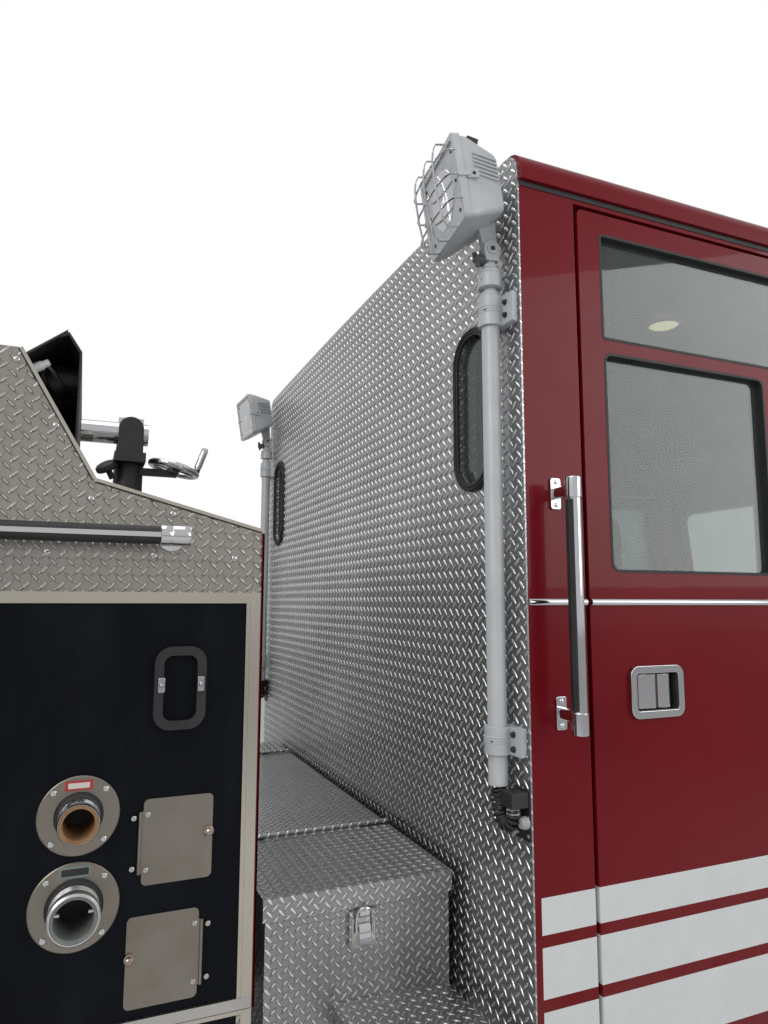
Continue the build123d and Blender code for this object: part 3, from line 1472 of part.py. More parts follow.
# Columns: rear x, front x, low z of each compartment
compartments = (
    (rear_axle + rear_arch_radius + 30.0, body_front - 40.0, door_low),
    (rear_axle - rear_arch_radius + 10.0, rear_axle + rear_arch_radius - 10.0, 1250.0),
    (body_back + 60.0, rear_axle - rear_arch_radius - 30.0, door_low),
)


tower_inner = half - tower_depth


def body_towers():
    """Two compartment towers with the wheel wells cut."""
    tower = block((body_back, body_front), (tower_inner, half), (body_bottom, body_top))
    wheel_y = (tower_inner - 1, half + 1)
    arch = rod((rear_axle, wheel_y[0], tyre_radius), (rear_axle, wheel_y[1], tyre_radius), rear_arch_radius)
    below = block((rear_axle - rear_arch_radius, rear_axle + rear_arch_radius), wheel_y, (0, tyre_radius))
    tower = tower - arch - below
    for rear, front, low in compartments:
        tower -= block((rear, front), (tower_inner + 25, half + 1), (low, door_high))
    return both(tower)


def body_bulkheads():
    """Front bulkhead, rear panel and the cross beams on the frame, between the towers."""
    reach = tower_inner - seat_gap
    front = block((body_front - 25, body_front), (-reach, reach), (rail_top + 30, body_top - 60))
    rear = block((body_back, body_back + 25), (-reach, reach), (body_bottom + 90, hose_floor - seat_gap))
    beams = []
    for x in (body_front - 400, rear_axle, body_back + 500):
        beam = block((x - 50, x + 50), (-reach, reach), (1200, 1250))
        for side in (-1, 1):
            y = sorted((side * (rail_half - 70), side * (rail_half - 20)))
            beam += block((x - 50, x + 50), y, (rail_top, 1201))
        beams.append(beam)
    return group(front, rear, *beams)


def body_shell():
    """The hose body's towers with what joins them."""
    return group(body_towers(), body_bulkheads())


def roll_up_doors():
    """Slatted shutters in the six compartment openings."""
    shapes = []
    slat = 75.0
    for rear, front, low in compartments:
        height = door_high - low - 2 * seat_gap
        count = round(height / slat)
        pitch = height / count
        face = half - 18.0
        outline = [(face - 12, low + seat_gap)]
        for step in range(count):
            z = low + seat_gap + pitch * step
            outline += [(face - 6, z), (face, z + 6), (face, z + pitch - 6)]
        outline += [(face - 6, door_high - seat_gap), (face - 12, door_high - seat_gap)]
        shutter = prism_x(outline, (rear + seat_gap, front - seat_gap))
        shutter += block((rear + 80, front - 80), (face - 2, face + 14), (low + 14, low + 26))
        shapes += [shutter, mirrored(shutter)]
    return group(*shapes)


def hose_bed():
    """Hose bed floor with two dividers between the towers."""
    inner = tower_inner - seat_gap
    x = (body_back + 26, body_front - 26)
    bed = block(x, (-inner, inner), (hose_floor, hose_floor + 30))
    for y in (-230.0, 230.0):
        bed += prism_y([(x[0] + 30, hose_floor + 29), (x[1] - 30, hose_floor + 29), (x[1] - 30, 2120.0),
                        (x[0] + 330, 2120.0), (x[0] + 30, 1950.0)], (y - 5, y + 5))
    for x_beam in (body_front - 400, rear_axle, body_back + 500):
        bed += block((x_beam - 30, x_beam + 30), (-inner + 5, inner - 5), (1250 + seat_gap, hose_floor + 1))
    return bed


fender_width = 55.0
fender_reach = 25.0
rear_lamp_y = (950.0, 1150.0)
rear_lamp_low = 1000.0
rear_lamp_pitch = 130.0
rear_lamp_height = 105.0
high_lamp = (1080.0, 2080.0)
high_lamp_radius = 90.0


def fenders_and_flaps():
    """Rubber fender lips round the rear wheel openings and the mud flaps under the body behind them."""
    shapes = []
    for side in (-1, 1):
        y = sorted((side * (half + seat_gap), side * (half + fender_reach)))
        ends = [(rear_axle, at, tyre_radius) for at in y]
        cut = [(rear_axle, at, tyre_radius) for at in (y[0] - 1, y[1] + 1)]
        ring = rod(*ends, rear_arch_radius + fender_width)
        ring -= rod(*cut, rear_arch_radius)
        ring -= block((rear_axle - 900, rear_axle + 900), (y[0] - 1, y[1] + 1), (-200, body_bottom + 20))
        shapes.append(ring)
        flap_x = rear_axle - rear_arch_radius - 60.0
        y = sorted((side * (tower_inner + 20.0), side * (half - 20.0)))
        flap = block((flap_x, flap_x + 10.0), y, (240, body_bottom - seat_gap))
        flap += block((flap_x - 20.0, flap_x + 20.0), y, (body_bottom - 30.0, body_bottom - seat_gap))
        shapes.append(flap)
    return group(*shapes)


def rear_lamps():
    """Tail lamps in stacks of three on both sides and two warning lamps high up."""
    shapes = []
    for side in (-1, 1):
        for count in range(3):
            z = rear_lamp_low + rear_lamp_pitch * count
            y = sorted(side * at for at in rear_lamp_y)
            shapes.append(block((body_back - 30, body_back - seat_gap), y, (z, z + rear_lamp_height)))
        lamp_ends = [(x, side * high_lamp[0], high_lamp[1]) for x in (body_back - 45, body_back - seat_gap)]
        shapes.append(rod(*lamp_ends, high_lamp_radius))
    return group(*shapes)


def main():
    """Build and write every sub-part."""
    os.makedirs("parts", exist_ok=True)
    place_front = Pos(front_axle, front_wheel_y, tyre_radius)
    place_rear = Pos(rear_axle, 0, tyre_radius)
    front_tyre = place_front * tyre(0, tyre_width)
    rear_tyres = group(*[place_rear * tyre(y, rear_tyre_width) for y in (rear_outer_y, rear_inner_y)])
    single = {
        "frame_rails": frame_rails,
        "axles_and_springs": axles_and_springs,
        "engine_and_drive_line": engine_and_drive_line,
        "chassis_tanks": chassis_tanks,
        "front_bumper": front_bumper,
        "crosswise_box": crosswise_box,
        "tread_plate_steps": steps,
        "pump_house": pump_house,
        "pump_panels": pump_panels,
        "pump_trim": pump_trim,
        "pump_fittings": pump_fittings,
        "operator_controls": operator_controls,
        "body_shell": body_shell,
        "roll_up_doors": roll_up_doors,
        "hose_bed": hose_bed,
        "fenders_and_flaps": fenders_and_flaps,
        "rear_lamps": rear_lamps,
        "cab_floor": cab_floor,
        "cab_rear_wall": cab_rear_wall,
        "cab_front_mask": cab_front_mask,
        "cab_roof": cab_roof,
        "cab_glass": cab_glass,
        "seats": seats,
        "dash": dash,
        "grille": grille,
        "cab_lamps": cab_lamps,
        "deck_gun_base": deck_gun_base,
        "deck_gun_barrel": deck_gun_barrel,
    }
    for name, make in single.items():
        write(name, make())
    left_frame = cab_side_frame()
    for half_hinge in cab_hinge_halves():
        left_frame += half_hinge
    write("cab_side_frames", both(left_frame))
    write("rails_and_mirrors", both(rails_and_mirrors()))
    write("pole_mounts", both(group(pole_mount(), gland_box())))
    pairs = {
        "crew_door": crew_door(),
        "crew_door_glass": door_panes((shrunk(crew_window, seat_gap), shrunk(crew_transom, seat_gap))),
        "front_door": front_door(),
        "front_door_glass": door_panes((front_window(seat_gap),)),
        "front_tyre": front_tyre,
        "front_rim": front_rim(),
        "rear_tyres": rear_tyres,
        "rear_rims": rear_rims(),
        "steering_knuckle": knuckle(),
        "lamp_cord": lamp_cord(),
    }
    for name, shape in pairs.items():
        write(f"{name}_left", shape)
        write(f"{name}_right", mirrored(shape))
    write("lamp_pole_left", inner_pole(lamp_yaw_left))
    write("lamp_pole_right", mirrored(inner_pole(-lamp_yaw_right)))
    write("lamp_head_left", lamp_head(False, lamp_yaw_left))
    write("lamp_head_right", mirrored(lamp_head(True, -lamp_yaw_right)))
    write("box_lid_right", box_lid(-box_half, -lid_seam_right - 1, -lid_seam_right, 1))
    write("box_lid_left", box_lid(lid_seam_left + 1, box_half, lid_seam_left, -1))
    for name, row in zip(("access_door_upper", "access_door_lower"), access_doors):
        write(name, access_door(*row))


main()
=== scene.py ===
"""Looks of a pumper fire truck on its CAD frame: finishes, fine parts, light and view.

Metres in the frame's axes: +X forward, +Y to the truck's left, +Z up from the ground.
"""

import logging
import math
from dataclasses import dataclass
from enum import Enum

import bmesh
import bpy
from mathutils import Matrix, Vector


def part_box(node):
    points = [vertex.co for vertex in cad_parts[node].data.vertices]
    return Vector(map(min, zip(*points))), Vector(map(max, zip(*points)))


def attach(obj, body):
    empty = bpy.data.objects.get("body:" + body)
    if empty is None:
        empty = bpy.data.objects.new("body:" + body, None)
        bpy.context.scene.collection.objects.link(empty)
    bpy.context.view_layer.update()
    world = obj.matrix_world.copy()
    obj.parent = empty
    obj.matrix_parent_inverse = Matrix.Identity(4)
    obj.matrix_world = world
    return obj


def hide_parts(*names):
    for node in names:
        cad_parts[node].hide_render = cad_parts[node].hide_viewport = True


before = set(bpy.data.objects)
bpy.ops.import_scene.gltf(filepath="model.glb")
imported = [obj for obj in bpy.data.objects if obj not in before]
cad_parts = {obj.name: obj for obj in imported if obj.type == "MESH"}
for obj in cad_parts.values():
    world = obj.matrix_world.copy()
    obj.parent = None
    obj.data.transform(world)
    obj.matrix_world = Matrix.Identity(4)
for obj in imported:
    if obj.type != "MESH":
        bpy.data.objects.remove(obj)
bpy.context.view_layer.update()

LOG = logging.getLogger("fire_truck")

Point = tuple[float, float, float]
Flat = tuple[float, float]

DIAGONAL = math.sqrt(0.5)


class Side(Enum):
    """The truck's two sides, as the sign of Y."""

    LEFT = 1
    RIGHT = -1

    @property
    def word(self) -> str:
        """Name used in nodes and bodies."""
        return self.name.lower()


@dataclass(frozen=True)
class Layout:
    """Places that the frame's CAD also holds."""

    cab_back: float = 1.220
    cab_front: float = 4.220
    half: float = 1.219
    front_axle: float = 2.880
    rear_axle: float = -2.020
    tyre_radius: float = 0.535
    pole_x: float = 1.182
    pole_y: float = 1.148
    lamp_axis: float = 2.628
    box_half: float = 0.899
    fitting_x: float = 0.309


L = Layout()


# Shader building


class Nodes:
    """Short calls for one material's node tree."""

    def __init__(self, name: str) -> None:
        """Make the material with one Principled shader.

        Args:
            name: The material's name.
        """
        self.material = bpy.data.materials.new(name)
        self.material.use_nodes = True
        self.tree = self.material.node_tree
        self.shader = self.tree.nodes["Principled BSDF"]
        self.coord = self.add("ShaderNodeTexCoord")
        split = self.add("ShaderNodeSeparateXYZ")
        self.link(self.coord.outputs["Object"], split.inputs[0])
        self.x, self.y, self.z = split.outputs

    def add(self, kind: str, **values: object) -> bpy.types.Node:
        """Add a node and set its properties.

        Args:
            kind: Type of the node.
            values: Properties to set on it.

        Returns:
            The new node.
        """
        node = self.tree.nodes.new(kind)
        for key, value in values.items():
            setattr(node, key, value)
        return node

    def link(self, source: object, target: object) -> None:
        """Join two sockets."""
        self.tree.links.new(source, target)

    def put(self, socket: object, value: object) -> None:
        """Link a socket, or set a plain number or colour on it.

        Args:
            socket: Input to fill.
            value: Socket, number or colour.
        """
        if isinstance(value, bpy.types.NodeSocket):
            self.link(value, socket)
        else:
            socket.default_value = value

    def math(self, operation: str, *values: object, clamp: bool = False) -> object:
        """One math node; each value is a socket or a number.

        Args:
            operation: Name of the operation.
            values: Sockets or numbers that go in.
            clamp: Whether the result is held between 0 and 1.

        Returns:
            The result's socket.
        """
        node = self.add("ShaderNodeMath", operation=operation, use_clamp=clamp)
        for socket, value in zip(node.inputs, values):
            self.put(socket, value)
        return node.outputs[0]

    def noise(self, scale: float, detail: float = 3.0, rough: float = 0.5,
              stretch: Point = (1, 1, 1)) -> object:
        """Noise of 0 to 1 over the object's own coordinates.

        Args:
            scale: Size of the pattern, finer where larger.
            detail: Octaves.
            rough: Share of each further octave.
            stretch: Scale along each axis.

        Returns:
            The noise's socket.
        """
        mapping = self.add("ShaderNodeMapping")
        mapping.inputs["Scale"].default_value = stretch
        self.link(self.coord.outputs["Object"], mapping.inputs["Vector"])
        node = self.add("ShaderNodeTexNoise")
        self.link(mapping.outputs[0], node.inputs["Vector"])
        node.inputs["Scale"].default_value = scale
        node.inputs["Detail"].default_value = detail
        node.inputs["Roughness"].default_value = rough
        return node.outputs[0]

    def span(self, value: object, low: float, high: float, to: Flat = (0.0, 1.0)) -> object:
        """Value mapped from low..high to a new span, clamped.

        Args:
            value: Socket or number that is mapped.
            low: Where the old span starts.
            high: Where it ends.
            to: The new span.

        Returns:
            The result's socket.
        """
        node = self.add("ShaderNodeMapRange")
        for socket, number in zip(node.inputs, (value, low, high, *to)):
            self.put(socket, number)
        return node.outputs[0]

    def mix(self, share: object, first: object, second: object) -> object:
        """Colour between two, each a socket or (r, g, b).

        Args:
            share: How much of the second, 0 to 1.
            first: Colour at 0.
            second: Colour at 1.

        Returns:
            The colour's socket.
        """
        node = self.add("ShaderNodeMix", data_type="RGBA")
        self.put(node.inputs[0], share)
        for socket, value in ((node.inputs[6], first), (node.inputs[7], second)):
            self.put(socket, value if isinstance(value, bpy.types.NodeSocket) else (*value, 1.0))
        return node.outputs[2]

    def blend(self, share: object, first: object, second: object) -> object:
        """Number between two.

        Args:
            share: How much of the second, 0 to 1.
            first: Number at 0.
            second: Number at 1.

        Returns:
            The number's socket.
        """
        node = self.add("ShaderNodeMix", data_type="FLOAT")
        for socket, value in ((node.inputs[0], share), (node.inputs[2], first), (node.inputs[3], second)):
            self.put(socket, value)
        return node.outputs[0]

    def bump(self, height: object, depth: float, strength: float = 1.0, under: object = None) -> object:
        """Bump of a depth in metres, on top of another bump where one is given.

        Args:
            height: Socket of the height, 0 to 1.
            depth: Depth of a height of 1.
            strength: Share of the bump that shows.
            under: Bump that it lies on.

        Returns:
            The normal's socket.
        """
        node = self.add("ShaderNodeBump")
        node.inputs["Strength"].default_value = strength
        node.inputs["Distance"].default_value = depth
        self.link(height, node.inputs["Height"])
        if under is not None:
            self.link(under, node.inputs["Normal"])
        return node.outputs[0]

    def set(self, **values: object) -> None:
        """Set the shader's inputs; an underscore in a name stands for a space."""
        for key, value in values.items():
            self.put(self.shader.inputs[key.replace("_", " ")], value)

    def face_plane(self) -> tuple[object, object]:
        """Two in-plane coordinates for faces that look along X, Y or Z.

        Returns:
            The sockets of both coordinates.
        """
        size = self.add("ShaderNodeVectorMath", operation="ABSOLUTE")
        self.link(self.coord.outputs["Normal"], size.inputs[0])
        split = self.add("ShaderNodeSeparateXYZ")
        self.link(size.outputs[0], split.inputs[0])
        nx, ny, nz = split.outputs
        is_x = self.math("GREATER_THAN", nx, self.math("MAXIMUM", ny, nz))
        is_z = self.math("GREATER_THAN", nz, self.math("MAXIMUM", nx, ny))
        return self.blend(is_x, self.x, self.y), self.blend(is_z, self.z, self.y)


@dataclass(frozen=True)
class Finish:
    """A named finish; each kind builds its own nodes once."""

    name: str

    def paint(self, n: Nodes) -> None:
        """Fill the material's nodes."""
        raise NotImplementedError

    def material(self) -> bpy.types.Material:
        """The finish as a material, made on first use.

        Returns:
            The material.
        """
        title = f"{self.name}_finish"
        known = bpy.data.materials.get(title)
        if known is None:
            nodes = Nodes(title)
            self.paint(nodes)
            known = nodes.material
        return known


@dataclass(frozen=True)
class TreadPlate(Finish):
    """Bright aluminium sheet with crossed lugs in two lattices.

    Attributes:
        pitch: Distance between lugs of one lattice.
        lug: Half length and half width of a lug.
        height: How far a lug stands out.
        tone: The plate's colour.
        bright: Colour of the lugs' tops, a painted highlight.
    """

    pitch: float = 0.0338
    lug: Flat = (0.0158, 0.0040)
    height: float = 0.0012
    tone: Point = (0.41, 0.415, 0.42)
    # Painted highlight on the lugs' tops.
    bright: Point = (0.97, 0.98, 0.99)

    def lattice(self, n: Nodes, u: object, v: object, shift: float) -> object:
        """Height of one lattice of lugs, all leaning one way.

        Args:
            n: The material's nodes.
            u: First coordinate in the sheet's plane.
            v: Second coordinate.
            shift: The lattice's shift, none or half a cell.

        Returns:
            Socket of the height, 1 in the middle of a lug.
        """
        cells = []
        for value in (u, v):
            scaled = n.math("MULTIPLY_ADD", value, 1.0 / self.pitch, shift)
            cells.append(n.math("SUBTRACT", n.math("FRACT", scaled), 0.5))
        along = n.math("ADD", *cells)
        across = n.math("SUBTRACT", *cells)
        if shift:
            along, across = across, along
        reach = self.pitch / math.sqrt(2)
        long = n.math("POWER", n.math("ABSOLUTE", n.math("MULTIPLY", along, reach / self.lug[0])), 2.0)
        wide = n.math("POWER", n.math("ABSOLUTE", n.math("MULTIPLY", across, reach / self.lug[1])), 2.0)
        return n.math("SUBTRACT", n.math("SUBTRACT", 1.0, long), wide)

    def paint(self, n: Nodes) -> None:
        """Lugs as bump, painted shade round their feet, painted highlights on their tops, and stains.

        Args:
            n: The material's nodes.
        """
        u, v = n.face_plane()
        raw = n.math("MAXIMUM", self.lattice(n, u, v, 0.0), self.lattice(n, u, v, 0.5))
        lug = n.math("POWER", n.math("MAXIMUM", raw, 0.0), 0.55)
        # Darker ring round each lug's foot: painted shade in the crease.
        lug_foot_shade = n.math("MULTIPLY", n.span(raw, -0.55, 0.05), n.span(raw, 0.3, 0.05))
        stain = n.noise(3.0, 5.0, 0.6)
        fine = n.noise(60.0, 3.0, 0.6)
        base = n.mix(n.span(stain, 0.35, 0.7), self.tone, tuple(0.8 * c for c in self.tone))
        base = n.mix(n.math("MULTIPLY", lug_foot_shade, 0.6), base, (0.08, 0.08, 0.08))
        # Lugs' tops lightened towards near white: painted highlight.
        base = n.mix(n.math("MULTIPLY", lug, 0.85), base, self.bright)
        rough = n.math("ADD", n.span(stain, 0.3, 0.7, (0.26, 0.36)), n.span(fine, 0.3, 0.7, (-0.04, 0.05)))
        rough = n.blend(lug, rough, 0.2)
        waves = n.bump(n.noise(2.2, 1.0), 0.012, 0.5)
        n.set(Base_Color=base, Metallic=0.92, Roughness=rough, Normal=n.bump(lug, self.height, 1.0, waves))


@dataclass(frozen=True)
class GlossPaint(Finish):
    """Vehicle paint with a clear coat.

    Attributes:
        color: The paint.
        stripes: Bands of off-white between pairs of heights, or none.
        stripe_start: Where the bands begin along X, going forward.
        bright_beyond: Distance from the middle past which the piece is bright metal, or 0.
    """

    color: Point = (0.158, 0.0035, 0.0085)
    stripes: tuple[Flat, ...] = ()
    stripe_start: float = 0.0
    bright_beyond: float = 0.0

    def paint(self, n: Nodes) -> None:
        """Paint, bands and bright parts, with a little dust low down.

        Args:
            n: The material's nodes.
        """
        mottled = n.noise(1.4, 4.0, 0.6)
        base = n.mix(n.span(mottled, 0.3, 0.75), self.color, tuple(0.86 * c for c in self.color))
        rough = n.span(n.noise(9.0, 4.0, 0.6), 0.3, 0.8, (0.28, 0.4))
        metal: object = 0.0
        for low, high in self.stripes:
            band = n.math("COMPARE", n.z, (low + high) / 2, (high - low) / 2)
            band = n.math("MULTIPLY", band, n.math("GREATER_THAN", n.x, self.stripe_start))
            dirt = n.mix(n.noise(25.0, 5.0, 0.7), (0.67, 0.695, 0.70), (0.58, 0.60, 0.60))
            base = n.mix(band, base, dirt)
        dust = n.math("MULTIPLY", n.span(n.z, 1.3, 0.5), n.span(n.noise(5.0, 6.0, 0.7), 0.35, 0.8))
        base = n.mix(n.math("MULTIPLY", dust, 0.18), base, (0.3, 0.26, 0.22))
        if self.bright_beyond:
            proud = n.math("GREATER_THAN", n.math("ABSOLUTE", n.y), self.bright_beyond)
            base = n.mix(proud, base, (0.62, 0.62, 0.63))
            metal = proud
            rough = n.blend(proud, rough, 0.12)
        peel = n.bump(n.noise(230.0, 2.0, 0.4), 0.00012, 0.25)
        n.set(Base_Color=base, Metallic=metal, Roughness=rough, Normal=peel, Coat_Weight=0.5,
              Coat_IOR=1.22, Coat_Roughness=0.03, Specular_IOR_Level=0.1)


@dataclass(frozen=True)
class Metal(Finish):
    """Bare or plated metal.

    Attributes:
        color: Its colour.
        rough: Lowest and highest roughness.
        grain: Stretch of the brushed grain along X, Y and Z, with no grain at all ones.
        depth: Depth of the grain.
        stain: Share of brown-grey staining.
    """

    color: Point = (0.62, 0.62, 0.63)
    rough: Flat = (0.06, 0.14)
    grain: Point = (1.0, 1.0, 1.0)
    depth: float = 0.0
    stain: float = 0.1

    def paint(self, n: Nodes) -> None:
        """Grain, stains and the spread of roughness.

        Args:
            n: The material's nodes.
        """
        cloud = n.noise(7.0, 5.0, 0.65)
        grain = n.noise(160.0, 3.0, 0.6, self.grain)
        base = n.mix(n.math("MULTIPLY", n.span(cloud, 0.42, 0.7), self.stain), self.color, (0.16, 0.13, 0.1))
        rough = n.math("ADD", n.span(cloud, 0.3, 0.7, self.rough), n.span(grain, 0.3, 0.7, (-0.02, 0.03)))
        n.set(Base_Color=base, Metallic=1.0, Roughness=rough)
        if self.depth:
            n.set(Normal=n.bump(grain, self.depth, 0.5))


@dataclass(frozen=True)
class Coat(Finish):
    """Plain paint, plastic or rubber, mottled and finely pebbled.

    Attributes:
        color: Its colour.
        second: Colour of the mottling.
        rough: Lowest and highest roughness.
        pebble: Scale and depth of the fine surface.
        coat: Weight of a clear coat.
    """

    color: Point = (0.02, 0.02, 0.022)
    second: Point = (0.035, 0.035, 0.037)
    rough: Flat = (0.4, 0.55)
    pebble: Flat = (400.0, 0.0002)
    coat: float = 0.0

    def paint(self, n: Nodes) -> None:
        """Mottling and pebbles.

        Args:
            n: The material's nodes.
        """
        cloud = n.noise(11.0, 5.0, 0.65)
        base = n.mix(n.span(cloud, 0.35, 0.75), self.color, self.second)
        n.set(Base_Color=base, Roughness=n.span(cloud, 0.3, 0.7, self.rough), Coat_Weight=self.coat,
              Normal=n.bump(n.noise(self.pebble[0], 2.0), self.pebble[1], 0.4))


@dataclass(frozen=True)
class Panel(Finish):
    """Near-black coated panel with faint wiping marks."""

    color: Point = (0.0038, 0.0046, 0.0068)

    def paint(self, n: Nodes) -> None:
        """Faint upright smears in the gloss.

        Args:
            n: The material's nodes.
        """
        smear = n.noise(5.0, 6.0, 0.6, (2.2, 2.2, 0.6))
        base = n.mix(n.span(smear, 0.45, 0.8), self.color, (0.008, 0.010, 0.016))
        n.set(Base_Color=base, Roughness=n.span(smear, 0.3, 0.75, (0.3, 0.46)), Specular_IOR_Level=0.09,
              Normal=n.bump(n.noise(300.0, 2.0), 0.0001, 0.25))


@dataclass(frozen=True)
class Glass(Finish):
    """Tinted glass with faint dust.

    Attributes:
        tint: Colour seen through it.
        clear: Weight of transmission.
    """

    tint: Point = (0.30, 0.36, 0.34)
    clear: float = 0.9

    def paint(self, n: Nodes) -> None:
        """Tint and dust.

        Args:
            n: The material's nodes.
        """
        dust = n.noise(16.0, 5.0, 0.7)
        tint = n.mix(n.span(dust, 0.4, 0.9), self.tint, tuple(0.85 * c for c in self.tint))
        n.set(Base_Color=tint, Roughness=n.span(dust, 0.4, 0.9, (0.01, 0.05)),
              Transmission_Weight=self.clear, IOR=1.45)


@dataclass(frozen=True)
class Lens(Finish):
    """Coloured lamp lens with fine flutes."""

    color: Point = (0.5, 0.012, 0.012)

    def paint(self, n: Nodes) -> None:
        """Flutes and random darker patches.

        Args:
            n: The material's nodes.
        """
        flute = n.math("SINE", n.math("MULTIPLY", n.y, 700.0))
        base = n.mix(n.span(n.noise(30.0), 0.3, 0.7), self.color, tuple(0.7 * c for c in self.color))
        n.set(Base_Color=base, Roughness=0.12, Transmission_Weight=0.25, Coat_Weight=0.6,
              Normal=n.bump(flute, 0.0004, 0.4))


@dataclass(frozen=True)
class Glow(Finish):
    """Warm lens of a lamp that is lit.

    Attributes:
        color: Its light.
        power: How strongly it shines.
    """

    color: Point = (1.0, 0.80, 0.52)
    power: float = 1.6

    def paint(self, n: Nodes) -> None:
        """Light that fades a little in ribs.

        Args:
            n: The material's nodes.
        """
        ribs = n.math("SINE", n.math("MULTIPLY", n.x, 900.0))
        base = n.mix(n.span(ribs, -1.0, 1.0), self.color, tuple(0.7 * c for c in self.color))
        n.set(Base_Color=base, Emission_Color=base, Emission_Strength=self.power, Roughness=0.3)


@dataclass(frozen=True)
class Cloth(Finish):
    """Woven seat cover."""

    color: Point = (0.05, 0.052, 0.06)

    def paint(self, n: Nodes) -> None:
        """Threads both ways as bump and colour.

        Args:
            n: The material's nodes.
        """
        u, v = n.face_plane()
        warp = n.math("SINE", n.math("MULTIPLY", u, 2400.0))
        weft = n.math("SINE", n.math("MULTIPLY", v, 2400.0))
        weave = n.math("MULTIPLY", warp, weft)
        base = n.mix(n.span(weave, -1.0, 1.0), self.color, tuple(1.9 * c for c in self.color))
        n.set(Base_Color=base, Roughness=0.85, Sheen_Weight=0.25, Normal=n.bump(weave, 0.0004, 0.6))


@dataclass(frozen=True)
class TyreRubber(Finish):
    """Worn road tyre rubber with faint rings on the walls."""

    axle: Flat = (2.88, 0.535)

    def paint(self, n: Nodes) -> None:
        """Rings round the axle and dust.

        Args:
            n: The material's nodes.
        """
        dx = n.math("SUBTRACT", n.x, self.axle[0])
        dz = n.math("SUBTRACT", n.z, self.axle[1])
        radius = n.math("SQRT", n.math("ADD", n.math("MULTIPLY", dx, dx), n.math("MULTIPLY", dz, dz)))
        rings = n.math("SINE", n.math("MULTIPLY", radius, 420.0))
        dust = n.noise(6.0, 6.0, 0.7)
        base = n.mix(n.span(dust, 0.4, 0.75), (0.017, 0.017, 0.018), (0.05, 0.047, 0.043))
        n.set(Base_Color=base, Roughness=n.span(dust, 0.3, 0.7, (0.6, 0.85)),
              Normal=n.bump(rings, 0.0006, 0.35, n.bump(n.noise(350.0, 2.0), 0.0004, 0.4)))


CAB_STRIPES = ((0.776, 0.905), (0.930, 1.033), (1.058, 1.134))
TREAD = TreadPlate("tread_plate")
FINE_TREAD = TreadPlate("fine_tread_plate", 0.0279, (0.0122, 0.0031), 0.0011)
# The last colour is the lugs' painted highlight.
WARM_TREAD = TreadPlate("warm_tread_plate", 0.0274, (0.0120, 0.0029), 0.0010, (0.39, 0.37, 0.34),
                        (0.62, 0.60, 0.56))
RED = GlossPaint("red_paint")
RED_CAB = GlossPaint("red_cab_paint", stripes=CAB_STRIPES, stripe_start=L.cab_back + 0.021,
                     bright_beyond=L.half + 0.0005)
CHROME = Metal("chrome", (0.66, 0.67, 0.69), (0.05, 0.1), stain=0.04)
STAINLESS = Metal("stainless", (0.55, 0.54, 0.52), (0.18, 0.26), (1.0, 1.0, 6.0), 0.00004, 0.15)
SATIN = Metal("satin_stainless", (0.285, 0.262, 0.226), (0.3, 0.4), (1.0, 1.0, 9.0), 0.00005, 0.45)
TRIM_STEEL = Metal("stainless_trim", (0.58, 0.54, 0.47), (0.16, 0.26), (12.0, 1.0, 0.6), 0.00004, 0.12)
PIPE_METAL = Metal("pipe_metal", (0.66, 0.66, 0.66), (0.2, 0.34), (1.0, 8.0, 1.0), 0.0001, 0.2)
OLD_CHROME = Metal("old_chrome", (0.42, 0.33, 0.29), (0.12, 0.3), (1.0, 1.0, 1.0), 0.0, 0.5)
OLD_BRASS = Metal("old_brass", (0.30, 0.2, 0.09), (0.4, 0.6), (1.0, 1.0, 1.0), 0.0003, 0.7)
ALLOY = Metal("polished_alloy", (0.66, 0.67, 0.69), (0.14, 0.24), (1.0, 1.0, 1.0), 0.0, 0.1)
SHUTTER = Metal("satin_shutter", (0.58, 0.59, 0.6), (0.3, 0.4), (0.3, 1.0, 8.0), 0.00005, 0.08)
GREY_PAINT = Coat("light_grey_paint", (0.50, 0.52, 0.54), (0.43, 0.45, 0.47), (0.34, 0.48), (500.0, 0.00015),
                  0.15)
BLACK_PAINT = Coat("black_chassis_paint", (0.014, 0.014, 0.015), (0.035, 0.032, 0.03), (0.4, 0.6))
MACHINERY = Coat("painted_castings", (0.09, 0.095, 0.1), (0.05, 0.05, 0.05), (0.45, 0.65), (150.0, 0.0008))
RUBBER = Coat("black_rubber", (0.012, 0.012, 0.013), (0.02, 0.02, 0.021), (0.5, 0.62))
HOOD = Coat("black_hood", (0.011, 0.011, 0.012), (0.02, 0.02, 0.02), (0.42, 0.55), (600.0, 0.0003))
GREY_TRIM = Coat("grey_liner", (0.16, 0.165, 0.175), (0.13, 0.135, 0.14), (0.6, 0.75), (260.0, 0.0006))
RUST = Coat("rusty_bore", (0.34, 0.185, 0.08), (0.12, 0.06, 0.03), (0.5, 0.7), (90.0, 0.001))
DULL_ZINC = Coat("dull_zinc_bore", (0.20, 0.215, 0.20), (0.10, 0.11, 0.10), (0.45, 0.6), (90.0, 0.0006))
GREY_NUT = Coat("grey_plastic", (0.36, 0.37, 0.39), (0.28, 0.29, 0.31), (0.35, 0.5))
WHITE = Coat("white_enamel", (0.74, 0.75, 0.75), (0.68, 0.69, 0.69), (0.35, 0.45), (500.0, 0.0001), 0.2)
RED_LABEL = Coat("red_label_border", (0.42, 0.03, 0.03), (0.36, 0.03, 0.03), (0.4, 0.5))
PALE_LABEL = Coat("pale_label", (0.62, 0.6, 0.56), (0.55, 0.53, 0.5), (0.4, 0.5))
GREEN_LABEL = Coat("green_grey_label", (0.16, 0.21, 0.19), (0.2, 0.24, 0.22), (0.4, 0.5))
BLACK_PANEL = Panel("black_panel")
TINTED = Glass("tinted_glass")
CLEAR = Glass("clear_glass", (0.93, 0.95, 0.95), 0.95)
RED_LENS = Lens("red_lens")
CLEAR_LENS = Lens("clear_lens", (0.75, 0.77, 0.78))
DOME_GLOW = Glow("dome_glow")
AMBER_LENS = Lens("amber_lens", (0.7, 0.25, 0.02))
SEAT_CLOTH = Cloth("seat_cloth")
